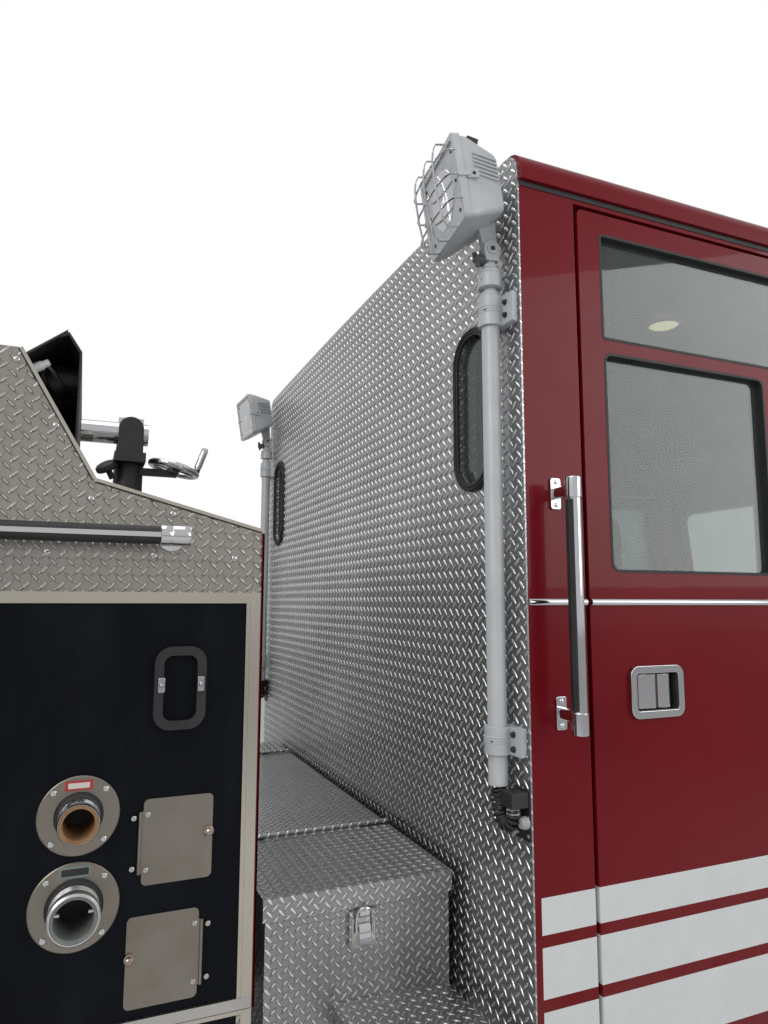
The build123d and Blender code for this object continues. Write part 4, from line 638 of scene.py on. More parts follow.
FRONT_RUBBER = TyreRubber("front_tyre_rubber")
REAR_RUBBER = TyreRubber("rear_tyre_rubber", (L.rear_axle, L.tyre_radius))

NODE_FINISH: dict[str, Finish] = {
    "frame_rails": BLACK_PAINT, "axles_and_springs": BLACK_PAINT, "engine_and_drive_line": MACHINERY,
    "chassis_tanks": BLACK_PAINT, "front_bumper": CHROME, "crosswise_box": FINE_TREAD,
    "tread_plate_steps": FINE_TREAD, "pump_house": WARM_TREAD, "pump_panels": BLACK_PANEL,
    "pump_trim": TRIM_STEEL, "pump_fittings": PIPE_METAL, "operator_controls": HOOD, "body_shell": RED,
    "roll_up_doors": SHUTTER, "hose_bed": TREAD, "fenders_and_flaps": RUBBER, "rear_lamps": RED_LENS,
    "cab_floor": GREY_TRIM, "cab_rear_wall": TREAD, "cab_side_frames": RED_CAB, "cab_front_mask": RED,
    "cab_roof": RED, "cab_glass": TINTED, "seats": SEAT_CLOTH, "dash": GREY_TRIM, "grille": CHROME,
    "cab_lamps": CHROME, "rails_and_mirrors": CHROME, "pole_mounts": GREY_PAINT,
    "access_door_upper": SATIN, "access_door_lower": SATIN, "deck_gun_base": BLACK_PAINT,
    "deck_gun_barrel": CHROME,
}
PAIR_FINISH: dict[str, Finish] = {
    "crew_door": RED_CAB, "crew_door_glass": TINTED, "front_door": RED_CAB, "front_door_glass": TINTED,
    "front_tyre": FRONT_RUBBER, "front_rim": ALLOY, "rear_tyres": REAR_RUBBER, "rear_rims": ALLOY,
    "steering_knuckle": BLACK_PAINT, "lamp_pole": GREY_PAINT, "lamp_head": GREY_PAINT,
    "lamp_cord": RUBBER, "box_lid": FINE_TREAD,
}


# Mesh building


def rounded(low: Flat, high: Flat, radius: float, steps: int = 6) -> list[Flat]:
    """Rectangle with round corners, counter-clockwise, between two corners in any order.

    Args:
        low: One corner.
        high: The corner opposite.
        radius: Radius of the corners.
        steps: Segments in a corner.

    Returns:
        The outline's points.
    """
    (x0, x1), (y0, y1) = (sorted(pair) for pair in zip(low, high))
    points = []
    for x, y, turn in ((x1, y1, 0), (x0, y1, 1), (x0, y0, 2), (x1, y0, 3)):
        cx = x - math.copysign(radius, x - (x0 + x1) / 2)
        cy = y - math.copysign(radius, y - (y0 + y1) / 2)
        for step in range(steps + 1):
            angle = math.pi / 2 * (turn + step / steps)
            points.append((cx + radius * math.cos(angle), cy + radius * math.sin(angle)))
    return points


class Pen:
    """Collects closed solids into one mesh."""

    def __init__(self, place: Matrix | None = None) -> None:
        """Start empty; place carries every solid from its own frame into the row frame.

        Args:
            place: Where the solids' own frame stands.
        """
        self.mesh = bmesh.new()
        self.place = place or Matrix.Identity(4)
        self.finishes: list[Finish] = []
        self.slot = 0

    def use(self, finish: Finish) -> "Pen":
        """Give the solids that follow this finish.

        Args:
            finish: Finish of the solids that follow.

        Returns:
            The pen, so that calls can be chained.
        """
        if finish not in self.finishes:
            self.finishes.append(finish)
        self.slot = self.finishes.index(finish)
        return self

    def close(self, faces: list) -> None:
        """Set the finish on new faces and move them into place.

        Args:
            faces: Faces of one solid.
        """
        verts = {v for f in faces for v in f.verts}
        for vert in verts:
            vert.co = self.place @ vert.co
        for face in faces:
            face.material_index = self.slot

    def loops(self, rings: list[list[Point]], caps: bool = True, around: bool = False) -> None:
        """Skin between rings of equal length, capped at both ends or closed on itself.

        Args:
            rings: Rings of points.
            caps: Whether both ends are closed.
            around: Whether the last ring joins the first.
        """
        rows = [[self.mesh.verts.new(p) for p in ring] for ring in rings]
        faces = []
        pairs = list(zip(rows, rows[1:])) + ([(rows[-1], rows[0])] if around else [])
        for first, second in pairs:
            count = len(first)
            for i in range(count):
                j = (i + 1) % count
                faces.append(self.mesh.faces.new((first[i], first[j], second[j], second[i])))
        if caps and not around:
            faces.append(self.mesh.faces.new(list(reversed(rows[0]))))
            faces.append(self.mesh.faces.new(rows[-1]))
        self.close(faces)

    def box(self, low: Point, high: Point) -> "Pen":
        """Box between two corners in any order.

        Args:
            low: One corner.
            high: The corner opposite.

        Returns:
            The pen, so that calls can be chained.
        """
        x, y, z = (sorted(pair) for pair in zip(low, high))
        ring = [(x[0], y[0]), (x[1], y[0]), (x[1], y[1]), (x[0], y[1])]
        self.loops([[(a, b, c) for a, b in ring] for c in z])
        return self

    def prism(self, outline: list[Flat], axis: str, span: Flat) -> "Pen":
        """Outline in the plane across an axis, carried along it."""
        self.loops([[self.lift(p, axis, at) for p in outline] for at in sorted(span)])
        return self

    @staticmethod
    def lift(p: Flat, axis: str, at: float) -> Point:
        """Point of a flat outline at a place along its axis.

        Args:
            p: Point of the outline.
            axis: Axis across the outline's plane.
            at: Place along the axis.

        Returns:
            The point in space.
        """
        if axis == "x":
            return (at, p[0], p[1])
        if axis == "y":
            return (p[0], at, p[1])
        return (p[0], p[1], at)

    def rim(self, outer: list[Flat], inner: list[Flat], axis: str, span: Flat) -> "Pen":
        """Frame between two outlines of equal count.

        Args:
            outer: Outer outline.
            inner: Inner outline.
            axis: Axis across their plane.
            span: Where the frame starts and ends.

        Returns:
            The pen, so that calls can be chained.
        """
        near, far = sorted(span)
        rings = [[self.lift(p, axis, at) for p in line]
                 for line, at in ((outer, near), (outer, far), (inner, far), (inner, near))]
        self.loops(rings, caps=False, around=True)
        return self

    def turned(self, profile: list[Flat], start: Point, along: Point, steps: int = 32,
               closed: bool = False) -> "Pen":
        """Profile of (radius, height) turned about an axis; closed profiles make rings.

        Args:
            profile: Radius and height of each ring.
            start: Where the height is 0.
            along: Direction of the axis.
            steps: Corners of a ring.
            closed: Whether the profile closes on itself.

        Returns:
            The pen, so that calls can be chained.
        """
        axis = Vector(along).normalized()
        side = axis.orthogonal().normalized()
        other = axis.cross(side)
        origin = Vector(start)
        rings = []
        for radius, height in profile:
            radius = max(radius, 0.00005)
            ring = []
            for step in range(steps):
                angle = 2 * math.pi * step / steps
                around = side * math.cos(angle) + other * math.sin(angle)
                ring.append(tuple(origin + axis * height + around * radius))
            rings.append(ring)
        self.loops(rings, caps=not closed, around=closed)
        return self

    def rod(self, start: Point, end: Point, radius: float, steps: int = 24, edge: float = 0.0) -> "Pen":
        """Round bar with broken edges.

        Args:
            start: Middle of one end.
            end: Middle of the other.
            radius: Radius of the bar.
            steps: Corners of a ring.
            edge: Width of the broken edges.

        Returns:
            The pen, so that calls can be chained.
        """
        run = Vector(end) - Vector(start)
        length = run.length
        if edge:
            profile = [(radius - edge, 0), (radius, edge), (radius, length - edge), (radius - edge, length)]
        else:
            profile = [(radius, 0), (radius, length)]
        return self.turned(profile, start, tuple(run), steps)

    def wire(self, points: list[Point], radius: float, steps: int = 10, smooth: int = 0,
             closed: bool = False) -> "Pen":
        """Round wire along points, its corners rounded by cutting them smooth times.

        Args:
            points: Points of the route.
            radius: Radius of the wire.
            steps: Corners of a ring.
            smooth: How many times the corners are cut.
            closed: Whether the wire closes on itself.

        Returns:
            The pen, so that calls can be chained.
        """
        line = [Vector(p) for p in points]
        for _ in range(smooth):
            cut = [] if closed else [line[0]]
            pairs = list(zip(line, line[1:])) + ([(line[-1], line[0])] if closed else [])
            for a, b in pairs:
                cut += [a.lerp(b, 0.25), a.lerp(b, 0.75)]
            if not closed:
                cut.append(line[-1])
            line = cut
        count = len(line)
        rings = []
        side = None
        for i, p in enumerate(line):
            before = line[i - 1] if closed or i else line[0]
            after = line[(i + 1) % count] if closed or i < count - 1 else line[-1]
            run = (after - before).normalized()
            side = (run.orthogonal() if side is None else side - run * side.dot(run)).normalized()
            other = run.cross(side)
            turns = [2 * math.pi * k / steps for k in range(steps)]
            rings.append([tuple(p + (side * math.cos(a) + other * math.sin(a)) * radius) for a in turns])
        self.loops(rings, caps=not closed, around=closed)
        return self

    def build(self, name: str, body: str, bevel: float = 0.0, smooth: float = 35.0,
              replaces: tuple[str, ...] = (), slot: str = "") -> bpy.types.Object:
        """Make the object, round its edges and let it ride.

        Args:
            name: The piece's name.
            body: The CAD body that carries it.
            bevel: Width of the rounded edges.
            smooth: Largest angle in degrees that is shaded smooth.
            replaces: CAD nodes that the piece stands for.
            slot: The record's material slot; not used.

        Returns:
            The finished object.
        """
        bmesh.ops.recalc_face_normals(self.mesh, faces=self.mesh.faces)
        data = bpy.data.meshes.new(name)
        self.mesh.to_mesh(data)
        self.mesh.free()
        for finish in self.finishes:
            data.materials.append(finish.material())
        data.shade_smooth()
        data.set_sharp_from_angle(angle=math.radians(smooth))
        piece = bpy.data.objects.new(name, data)
        bpy.context.scene.collection.objects.link(piece)
        if bevel:
            edge = piece.modifiers.new("edges", "BEVEL")
            edge.width = bevel
            edge.segments = 2
            edge.limit_method = "ANGLE"
            edge.angle_limit = math.radians(40)
            edge.harden_normals = True
        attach(piece, body)
        if replaces:
            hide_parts(*replaces)
        LOG.info("%s on %s", name, body)
        return piece


# Repeats


class Repeater:
    """Geometry Nodes tree that sets a part on every point of a mesh, turned to the point's facing."""

    def __init__(self, pivot: str = "AUTO") -> None:
        """Build the tree with its named inputs; a pivot axis keeps each part's turn about it.

        Args:
            pivot: Axis that each part keeps its turn about, or AUTO.
        """
        tree = bpy.data.node_groups.new("part_on_points", "GeometryNodeTree")
        face = tree.interface
        face.new_socket("Points", in_out="INPUT", socket_type="NodeSocketGeometry")
        self.keys = {}
        for label, kind in (("Part", "Object"), ("Finish", "Material"), ("Spin", "Float"), ("Seed", "Int")):
            self.keys[label] = face.new_socket(label, in_out="INPUT",
                                               socket_type=f"NodeSocket{kind}").identifier
        face.new_socket("Result", in_out="OUTPUT", socket_type="NodeSocketGeometry")
        new, link = tree.nodes.new, tree.links.new
        source, end = new("NodeGroupInput"), new("NodeGroupOutput")
        facing = new("GeometryNodeInputNamedAttribute")
        facing.data_type = "FLOAT_VECTOR"
        facing.inputs["Name"].default_value = "facing"
        align = new("FunctionNodeAlignRotationToVector")
        align.pivot_axis = pivot
        chance = new("FunctionNodeRandomValue")
        chance.data_type = "FLOAT"
        axis = new("FunctionNodeAxisAngleToRotation")
        turn = new("FunctionNodeRotateRotation")
        turn.rotation_space = "LOCAL"
        part = new("GeometryNodeObjectInfo")
        spread, real, paint = (new(f"GeometryNode{k}")
                               for k in ("InstanceOnPoints", "RealizeInstances", "SetMaterial"))
        link(facing.outputs["Attribute"], align.inputs["Vector"])
        link(source.outputs["Spin"], chance.inputs[3])
        link(source.outputs["Seed"], chance.inputs["Seed"])
        link(chance.outputs[1], axis.inputs["Angle"])
        link(align.outputs[0], turn.inputs[0])
        link(axis.outputs[0], turn.inputs[1])
        link(source.outputs["Part"], part.inputs["Object"])
        link(source.outputs["Points"], spread.inputs["Points"])
        link(part.outputs["Geometry"], spread.inputs["Instance"])
        link(turn.outputs[0], spread.inputs["Rotation"])
        link(spread.outputs[0], real.inputs[0])
        link(real.outputs[0], paint.inputs["Geometry"])
        link(source.outputs["Finish"], paint.inputs["Material"])
        link(paint.outputs[0], end.inputs[0])
        self.tree = tree

    def place(self, name: str, body: str, part: Pen, finish: Finish, spots: list[tuple[Point, Point]],
              spin: float = 0.0, seed: int = 7, smooth: float = 40.0) -> bpy.types.Object:
        """Set a part on each spot.

        Args:
            name: The piece's name.
            body: The CAD body that carries it.
            part: The part, standing on its own origin along +Z.
            finish: The part's finish.
            spots: Point and facing of each copy.
            spin: Largest random turn about the facing, in radians.
            seed: Seed of the turns.
            smooth: Largest angle in degrees that is shaded smooth.

        Returns:
            All copies as one plain mesh.
        """
        bmesh.ops.recalc_face_normals(part.mesh, faces=part.mesh.faces)
        shape = bpy.data.meshes.new(f"{name}_part")
        part.mesh.to_mesh(shape)
        part.mesh.free()
        shape.shade_smooth()
        shape.set_sharp_from_angle(angle=math.radians(smooth))
        sample = bpy.data.objects.new(f"{name}_part", shape)
        points = bpy.data.meshes.new(f"{name}_points")
        points.from_pydata([spot for spot, _ in spots], [], [])
        attribute = points.attributes.new("facing", "FLOAT_VECTOR", "POINT")
        attribute.data.foreach_set("vector", [c for _, facing in spots for c in facing])
        holder = bpy.data.objects.new(f"{name}_points", points)
        for thing in (sample, holder):
            bpy.context.scene.collection.objects.link(thing)
        nodes = holder.modifiers.new("repeat", "NODES")
        nodes.node_group = self.tree
        values = {"Part": sample, "Finish": finish.material(), "Spin": spin, "Seed": seed}
        for label, value in values.items():
            nodes[self.keys[label]] = value
        depsgraph = bpy.context.evaluated_depsgraph_get()
        data = bpy.data.meshes.new_from_object(holder.evaluated_get(depsgraph))
        for thing in (holder, sample):
            bpy.data.objects.remove(thing)
        data.name = name
        piece = bpy.data.objects.new(name, data)
        bpy.context.scene.collection.objects.link(piece)
        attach(piece, body)
        LOG.info("%s on %s: %d copies", name, body, len(spots))
        return piece


def dome(radius: float, height: float = 0.0) -> Pen:
    """Low dome head.

    Args:
        radius: Radius of the head.
        height: Its height, or 0 for 0.55 of the radius.

    Returns:
        The head, standing on its origin.
    """
    tall = height or radius * 0.55
    profile = [(radius, 0.0), (radius, tall * 0.25), (radius * 0.86, tall * 0.7), (radius * 0.5, tall * 0.95),
               (0.0, tall)]
    return Pen().turned(profile, (0, 0, 0), (0, 0, 1), 14)


def hexagon(across: float, height: float) -> Pen:
    """Hexagon head on a washer.

    Args:
        across: Width across the flats.
        height: Height with the washer.

    Returns:
        The head, standing on its origin.
    """
    pen = Pen().turned([(across * 0.66, 0), (across * 0.66, height * 0.18), (across * 0.6, height * 0.22)],
                       (0, 0, 0), (0, 0, 1), 18)
    corner = across / math.sqrt(3)
    return pen.turned([(corner, height * 0.2), (corner, height * 0.85), (corner * 0.88, height)], (0, 0, 0),
                      (0, 0, 1), 6)


# View, light and floor


@dataclass
class PhotoView:
    """Camera at the photograph's place.

    Attributes:
        place: The camera's place.
        yaw: Turn about Z from +Y, in degrees.
        pitch: Look above the horizon, in degrees.
        roll: Turn about the view's axis, in degrees.
        lens: Focal length for a 36 mm long side.
    """

    place: Point = (0.2926, -2.5793, 1.770)
    yaw: float = -22.996
    pitch: float = 7.144
    roll: float = 0.134
    lens: float = 24.96

    def build(self) -> None:
        """Make the scene's camera."""
        data = bpy.data.cameras.new("photo_view")
        data.lens = self.lens
        data.clip_start = 0.05
        data.clip_end = 200.0
        camera = bpy.data.objects.new("photo_view", data)
        turns = [(self.yaw, "Z"), (90 + self.pitch, "X"), (self.roll, "Z")]
        matrix = Matrix.Translation(self.place)
        for degrees, axis in turns:
            matrix = matrix @ Matrix.Rotation(math.radians(degrees), 4, axis)
        camera.matrix_world = matrix
        bpy.context.scene.collection.objects.link(camera)
        bpy.context.scene.camera = camera


@dataclass
class Studio:
    """Pale floor, white surround and soft lamps.

    Attributes:
        fill: Strength of the surround on matt surfaces.
        mirrored: Strength of the surround in reflections.
        lamps: Place, target, size and power of each soft lamp.
    """

    fill: float = 0.50
    mirrored: float = 0.62
    lamps: tuple = (
        ((-5.0, -5.0, 5.5), (0.8, -1.0, 1.6), 4.0, 230.0),
        ((5.5, -6.0, 3.6), (1.6, -1.0, 1.6), 3.5, 120.0),
        ((-1.0, 0.0, 9.0), (0.5, 0.0, 1.5), 7.0, 200.0),
    )

    def build(self) -> None:
        """Make the surround, the floor and the lamps."""
        world = bpy.data.worlds.new("surround")
        world.use_nodes = True
        tree = world.node_tree
        back = tree.nodes["Background"]
        path = tree.nodes.new("ShaderNodeLightPath")
        first, second = tree.nodes.new("ShaderNodeMath"), tree.nodes.new("ShaderNodeMix")
        third = tree.nodes.new("ShaderNodeMix")
        first.operation = "MAXIMUM"
        tree.links.new(path.outputs["Is Glossy Ray"], first.inputs[0])
        tree.links.new(path.outputs["Is Transmission Ray"], first.inputs[1])
        tree.links.new(first.outputs[0], second.inputs[0])
        second.inputs[2].default_value, second.inputs[3].default_value = self.fill, self.mirrored
        tree.links.new(path.outputs["Is Camera Ray"], third.inputs[0])
        tree.links.new(second.outputs[0], third.inputs[2])
        third.inputs[3].default_value = 1.0
        tree.links.new(third.outputs[0], back.inputs["Strength"])
        back.inputs["Color"].default_value = (1.0, 1.0, 1.0, 1.0)
        bpy.context.scene.world = world
        self.floor()
        for index, (place, target, size, power) in enumerate(self.lamps):
            data = bpy.data.lights.new(f"soft_lamp_{index}", "AREA")
            data.energy = power
            data.size = size
            lamp = bpy.data.objects.new(f"soft_lamp_{index}", data)
            lamp.location = place
            lamp.rotation_euler = (Vector(target) - Vector(place)).to_track_quat("-Z", "Y").to_euler()
            bpy.context.scene.collection.objects.link(lamp)

    def floor(self) -> None:
        """Make the floor's plane."""
        finish = Coat("pale_floor", (0.66, 0.66, 0.655), (0.62, 0.62, 0.615), (0.75, 0.85), (40.0, 0.0003))
        data = bpy.data.meshes.new("floor")
        reach = 40.0
        data.from_pydata([(-reach, -reach, 0), (reach, -reach, 0), (reach, reach, 0), (-reach, reach, 0)], [],
                         [(0, 1, 2, 3)])
        data.materials.append(finish.material())
        floor = bpy.data.objects.new("floor", data)
        bpy.context.scene.collection.objects.link(floor)


# Cords


@dataclass
class CurlyCord:
    """Lamp's curly cord from the pole's lower end to the gland on the wall.

    Attributes:
        side: Side of the truck.
        wire: Radius of the cord itself.
        coil: Radius of the helix's centreline.
        pitch: Rise of one turn.
    """

    side: Side
    wire: float = 0.0040
    coil: float = 0.0152
    pitch: float = 0.0098

    def route(self) -> list[Vector]:
        """Points along the route's smooth line.

        Returns:
            The points.
        """
        y = self.side.value
        points = [(1.182, 1.148 * y, 1.360), (1.182, 1.148 * y, 1.282),
                  (1.194, 1.192 * y, 1.282), (1.194, 1.192 * y, 1.322)]
        holder = self.curve("route", points, 0.0)
        bpy.context.scene.collection.objects.link(holder)
        line = bpy.data.meshes.new_from_object(holder.evaluated_get(bpy.context.evaluated_depsgraph_get()))
        found = [v.co.copy() for v in line.vertices]
        bpy.data.objects.remove(holder)
        bpy.data.meshes.remove(line)
        return found

    @staticmethod
    def curve(name: str, points: list, radius: float) -> bpy.types.Object:
        """Smooth curve with the points as its control points.

        Args:
            name: Name of the curve.
            points: Its control points.
            radius: Radius of the cord, or 0 for a plain line.

        Returns:
            The curve, in no collection yet.
        """
        data = bpy.data.curves.new(name, "CURVE")
        data.dimensions = "3D"
        data.resolution_u = 12 if not radius else 3
        data.bevel_depth = radius
        data.bevel_resolution = 2
        data.use_fill_caps = True
        spline = data.splines.new("NURBS")
        spline.points.add(len(points) - 1)
        for point, spot in zip(spline.points, points):
            point.co = (*spot, 1.0)
        spline.order_u = 3
        spline.use_endpoint_u = True
        return bpy.data.objects.new(name, data)

    def build(self) -> None:
        line = self.route()
        steps = [0.0]
        for a, b in zip(line, line[1:]):
            steps.append(steps[-1] + (b - a).length)
        total = steps[-1]
        count = int(total / self.pitch) * 10
        points = []
        side = (line[1] - line[0]).orthogonal().normalized()
        for i in range(count + 1):
            along = total * i / count
            k = max(j for j in range(len(steps) - 1) if steps[j] <= along + 1e-9)
            run = (line[k + 1] - line[k]).normalized()
            spot = line[k] + run * (along - steps[k])
            side = (side - run * side.dot(run)).normalized()
            angle = 2 * math.pi * i / 10
            ease = min(1.0, along / 0.008, (total - along) / 0.008)
            wide = self.coil * ease
            points.append(tuple(spot + (side * math.cos(angle) + run.cross(side) * math.sin(angle)) * wide))
        points[0], points[-1] = tuple(line[0]), tuple(line[-1])
        cord = self.curve(f"curly_cord_{self.side.word}", points, self.wire)
        cord.data.materials.append(RUBBER.material())
        bpy.context.scene.collection.objects.link(cord)
        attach(cord, "cab")
        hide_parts(f"lamp_cord_{self.side.word}")


# Assemblies


def screws(name: str, body: str, head: Pen, finish: Finish, spots: list[tuple[Point, Point]],
           spin: float = 3.1) -> None:
    """Set fasteners on their spots."""
    REPEAT.place(name, body, head, finish, spots, spin)


@dataclass
class CabWall:
    """Gaskets, glands and cord plates on the cab's rear wall."""

    face: float = L.cab_back
    pill_y: Flat = (0.914, 1.072)
    pill_z: Flat = (2.069, 2.475)
    corner: float = 0.072

    def ring(self, side: Side, grow: float) -> list[Flat]:
        """Pill outline grown by a margin.

        Args:
            side: Side of the truck.
            grow: The margin.

        Returns:
            The outline's points.
        """
        low, high = sorted(side.value * y for y in self.pill_y)
        return rounded((low - grow, self.pill_z[0] - grow), (high + grow, self.pill_z[1] + grow),
                       self.corner + grow, 9)

    def build(self) -> None:
        """Both sides' pieces."""
        # Columns: outer margin, inner margin, rear x, front x
        strips = ((0.016, -0.006, -0.008, 0.001), (0.0125, 0.0085, -0.0105, -0.007),
                  (0.0045, 0.001, -0.011, -0.007))
        for side in Side:
            pen = Pen().use(RUBBER)
            for outer, inner, rear, front in strips:
                pen.rim(self.ring(side, outer), self.ring(side, inner), "x",
                        (self.face + rear, self.face + front))
            pen.build(f"pill_gasket_{side.word}", "cab", 0.002)
            self.gland(side)

    def gland(self, side: Side) -> None:
        """Dark plate behind the gland box, and the nut that the cord goes into.

        Args:
            side: Side of the truck.
        """
        y, face = side.value, 1.2165
        pen = Pen().use(BLACK_PAINT)
        pen.prism(rounded((y * 1.163, 1.250), (y * 1.2185, 1.358), 0.004), "x", (face, 1.2199))
        pen.box((1.1725, y * 1.169, 1.3225), (face, y * 1.2155, 1.3555))
        pen.use(GREY_NUT).turned([(0.012, 0), (0.0165, 0.002), (0.0165, 0.014), (0.012, 0.017)],
                                 (1.192, y * 1.192, 1.305), (0, 0, 1), 6)
        pen.turned([(0.014, 0), (0.014, 0.010), (0.011, 0.018)], (face, y * 1.207, 1.290), (-1, 0, 0), 14)
        pen.build(f"gland_{side.word}", "cab", 0.0012)
        spots = [((1.2163, y * py, pz), (-1, 0, 0)) for py in (1.170, 1.211) for pz in (1.262, 1.300)]
        screws(f"gland_screws_{side.word}", "cab", dome(0.0045), STAINLESS, spots)


@dataclass
class CabSide:
    """Belt mouldings, window gaskets and door paddles on one side of the cab."""

    side: Side
    crew_window: tuple[Flat, Flat, float] = ((1.465, 1.840), (2.022, 2.388), 0.024)
    transom: tuple[Flat, Flat, float] = ((1.462, 2.421), (2.150, 2.702), 0.012)
    middle: tuple[Flat, Flat, float] = ((2.342, 1.840), (2.980, 2.388), 0.040)

    def gasket(self, name: str, body: str, window: tuple[Flat, Flat, float]) -> None:
        """Rubber strip inside a window's opening.

        Args:
            name: The piece's name.
            body: The CAD body that carries it.
            window: Two corners of the opening and its corner radius.
        """
        (x0, z0), (x1, z1), corner = window
        out = self.side.value
        y = out * L.half
        tuck, width, depth, proud = 0.0005, 0.007, 0.030, 0.0012
        big = rounded((x0 - tuck, z0 - tuck), (x1 + tuck, z1 + tuck), corner + tuck)
        small = rounded((x0 + width, z0 + width), (x1 - width, z1 - width), max(corner - width, 0.002))
        Pen().use(RUBBER).rim(big, small, "y", (y - out * depth, y + out * proud)).build(name, body, 0.0012)

    def belt(self) -> None:
        """Half-round bright moulding along the belt, one length for each panel."""
        y = self.side.value * L.half
        out = self.side.value
        # Columns: distance proud of the panel, height
        bead = ((-0.001, 1.761), (0.004, 1.761), (0.0075, 1.7645), (0.0085, 1.7685), (0.0075, 1.7725),
                (0.004, 1.776), (-0.001, 1.776))
        # Columns: body, rear x, front x
        lengths = (("cab", 1.225, 1.386), (f"crew_door_{self.side.word}", 1.399, 2.187),
                   ("cab", 2.266, 2.960), (f"front_door_{self.side.word}", 3.108, 3.970))
        for count, (body, rear, front) in enumerate(lengths):
            section = [(y + out * proud, z) for proud, z in bead]
            Pen().use(CHROME).prism(section, "x", (rear, front)).build(
                f"belt_{self.side.word}_{count}", body, 0.0008)

    def paddle(self, body: str, x: float) -> None:
        """Bright paddle in its dark pocket with a lock beside it.

        Args:
            body: The door's CAD body.
            x: Rear edge of the paddle's bezel.
        """
        out = self.side.value
        y, z = out * L.half, 1.495
        back = y - out * 0.017
        rise = (z + 0.020, z + 0.101)
        pen = Pen().use(BLACK_PAINT)
        pen.rim(rounded((x + 0.0155, z + 0.0155), (x + 0.1465, z + 0.1055), 0.006),
                rounded((x + 0.018, z + 0.018), (x + 0.144, z + 0.103), 0.004), "y",
                (y - out * 0.029, y + out * 0.0072))
        pen.box((x + 0.016, y - out * 0.0295, z + 0.016), (x + 0.146, y - out * 0.0265, z + 0.105))
        pen.use(CHROME)
        pen.rim(rounded((x - 0.001, z - 0.001), (x + 0.163, z + 0.122), 0.023),
                rounded((x + 0.0165, z + 0.0165), (x + 0.1455, z + 0.1045), 0.008), "y",
                (y + out * 0.0065, y + out * 0.0105))
        flap = [(0.030, -0.004), (0.034, 0.0), (0.070, 0.001), (0.073, 0.0035), (0.078, 0.0035),
                (0.081, -0.004)]
        section = [(x + dx, y + out * dy) for dx, dy in flap] + [(x + 0.081, back), (x + 0.030, back)]
        pen.prism(section, "z", rise)
        bar = [(x + 0.112 + 0.021 * math.cos(math.radians(a)),
                y + out * (-0.006 + 0.008 * math.sin(math.radians(a))))
               for a in range(0, 181, 20)]
        pen.prism(bar + [(x + 0.091, back), (x + 0.133, back)], "z", rise)
        pen.use(BLACK_PAINT).box((x + 0.0815, y - out * 0.0176, rise[0]),
                                 (x + 0.0905, y - out * 0.0035, rise[1]))
        pen.build(f"paddle_{body}", body, 0.0015)

    def build(self) -> None:
        """All pieces of the side."""
        word = self.side.word
        self.gasket(f"crew_gasket_{word}", f"crew_door_{word}", self.crew_window)
        self.gasket(f"transom_gasket_{word}", f"crew_door_{word}", self.transom)
        self.gasket(f"middle_gasket_{word}", "cab", self.middle)
        self.belt()
        self.paddle(f"crew_door_{word}", 1.503)
        self.paddle(f"front_door_{word}", 3.208)
        y = self.side.value
        # Black strip under the roof lip: painted shadow of the gap below the lip.
        Pen().use(RUBBER).box((1.226, y * (L.half - 0.001), 2.776),
                              (3.0, y * (L.half + 0.0025), 2.7895)).build(
            f"roof_seal_{word}", "cab", 0.0008)
        liner, back, pull = (y * (L.half - depth) for depth in (0.0605, 0.064, 0.105))
        # Columns: body, (rear, front) x, (low, high) z
        for body, x, z in ((f"crew_door_{word}", (1.41, 2.21), (0.62, 1.80)),
                           (f"front_door_{word}", (3.22, 3.96), (1.2, 1.80))):
            pen = Pen().use(GREY_TRIM).box((x[0], liner, z[0]), (x[1], back, z[1]))
            pen.box((x[0] + 0.18, back, z[1] - 0.22), (x[0] + 0.46, pull, z[1] - 0.19))
            pen.build(f"door_liner_{body}", body, 0.004)


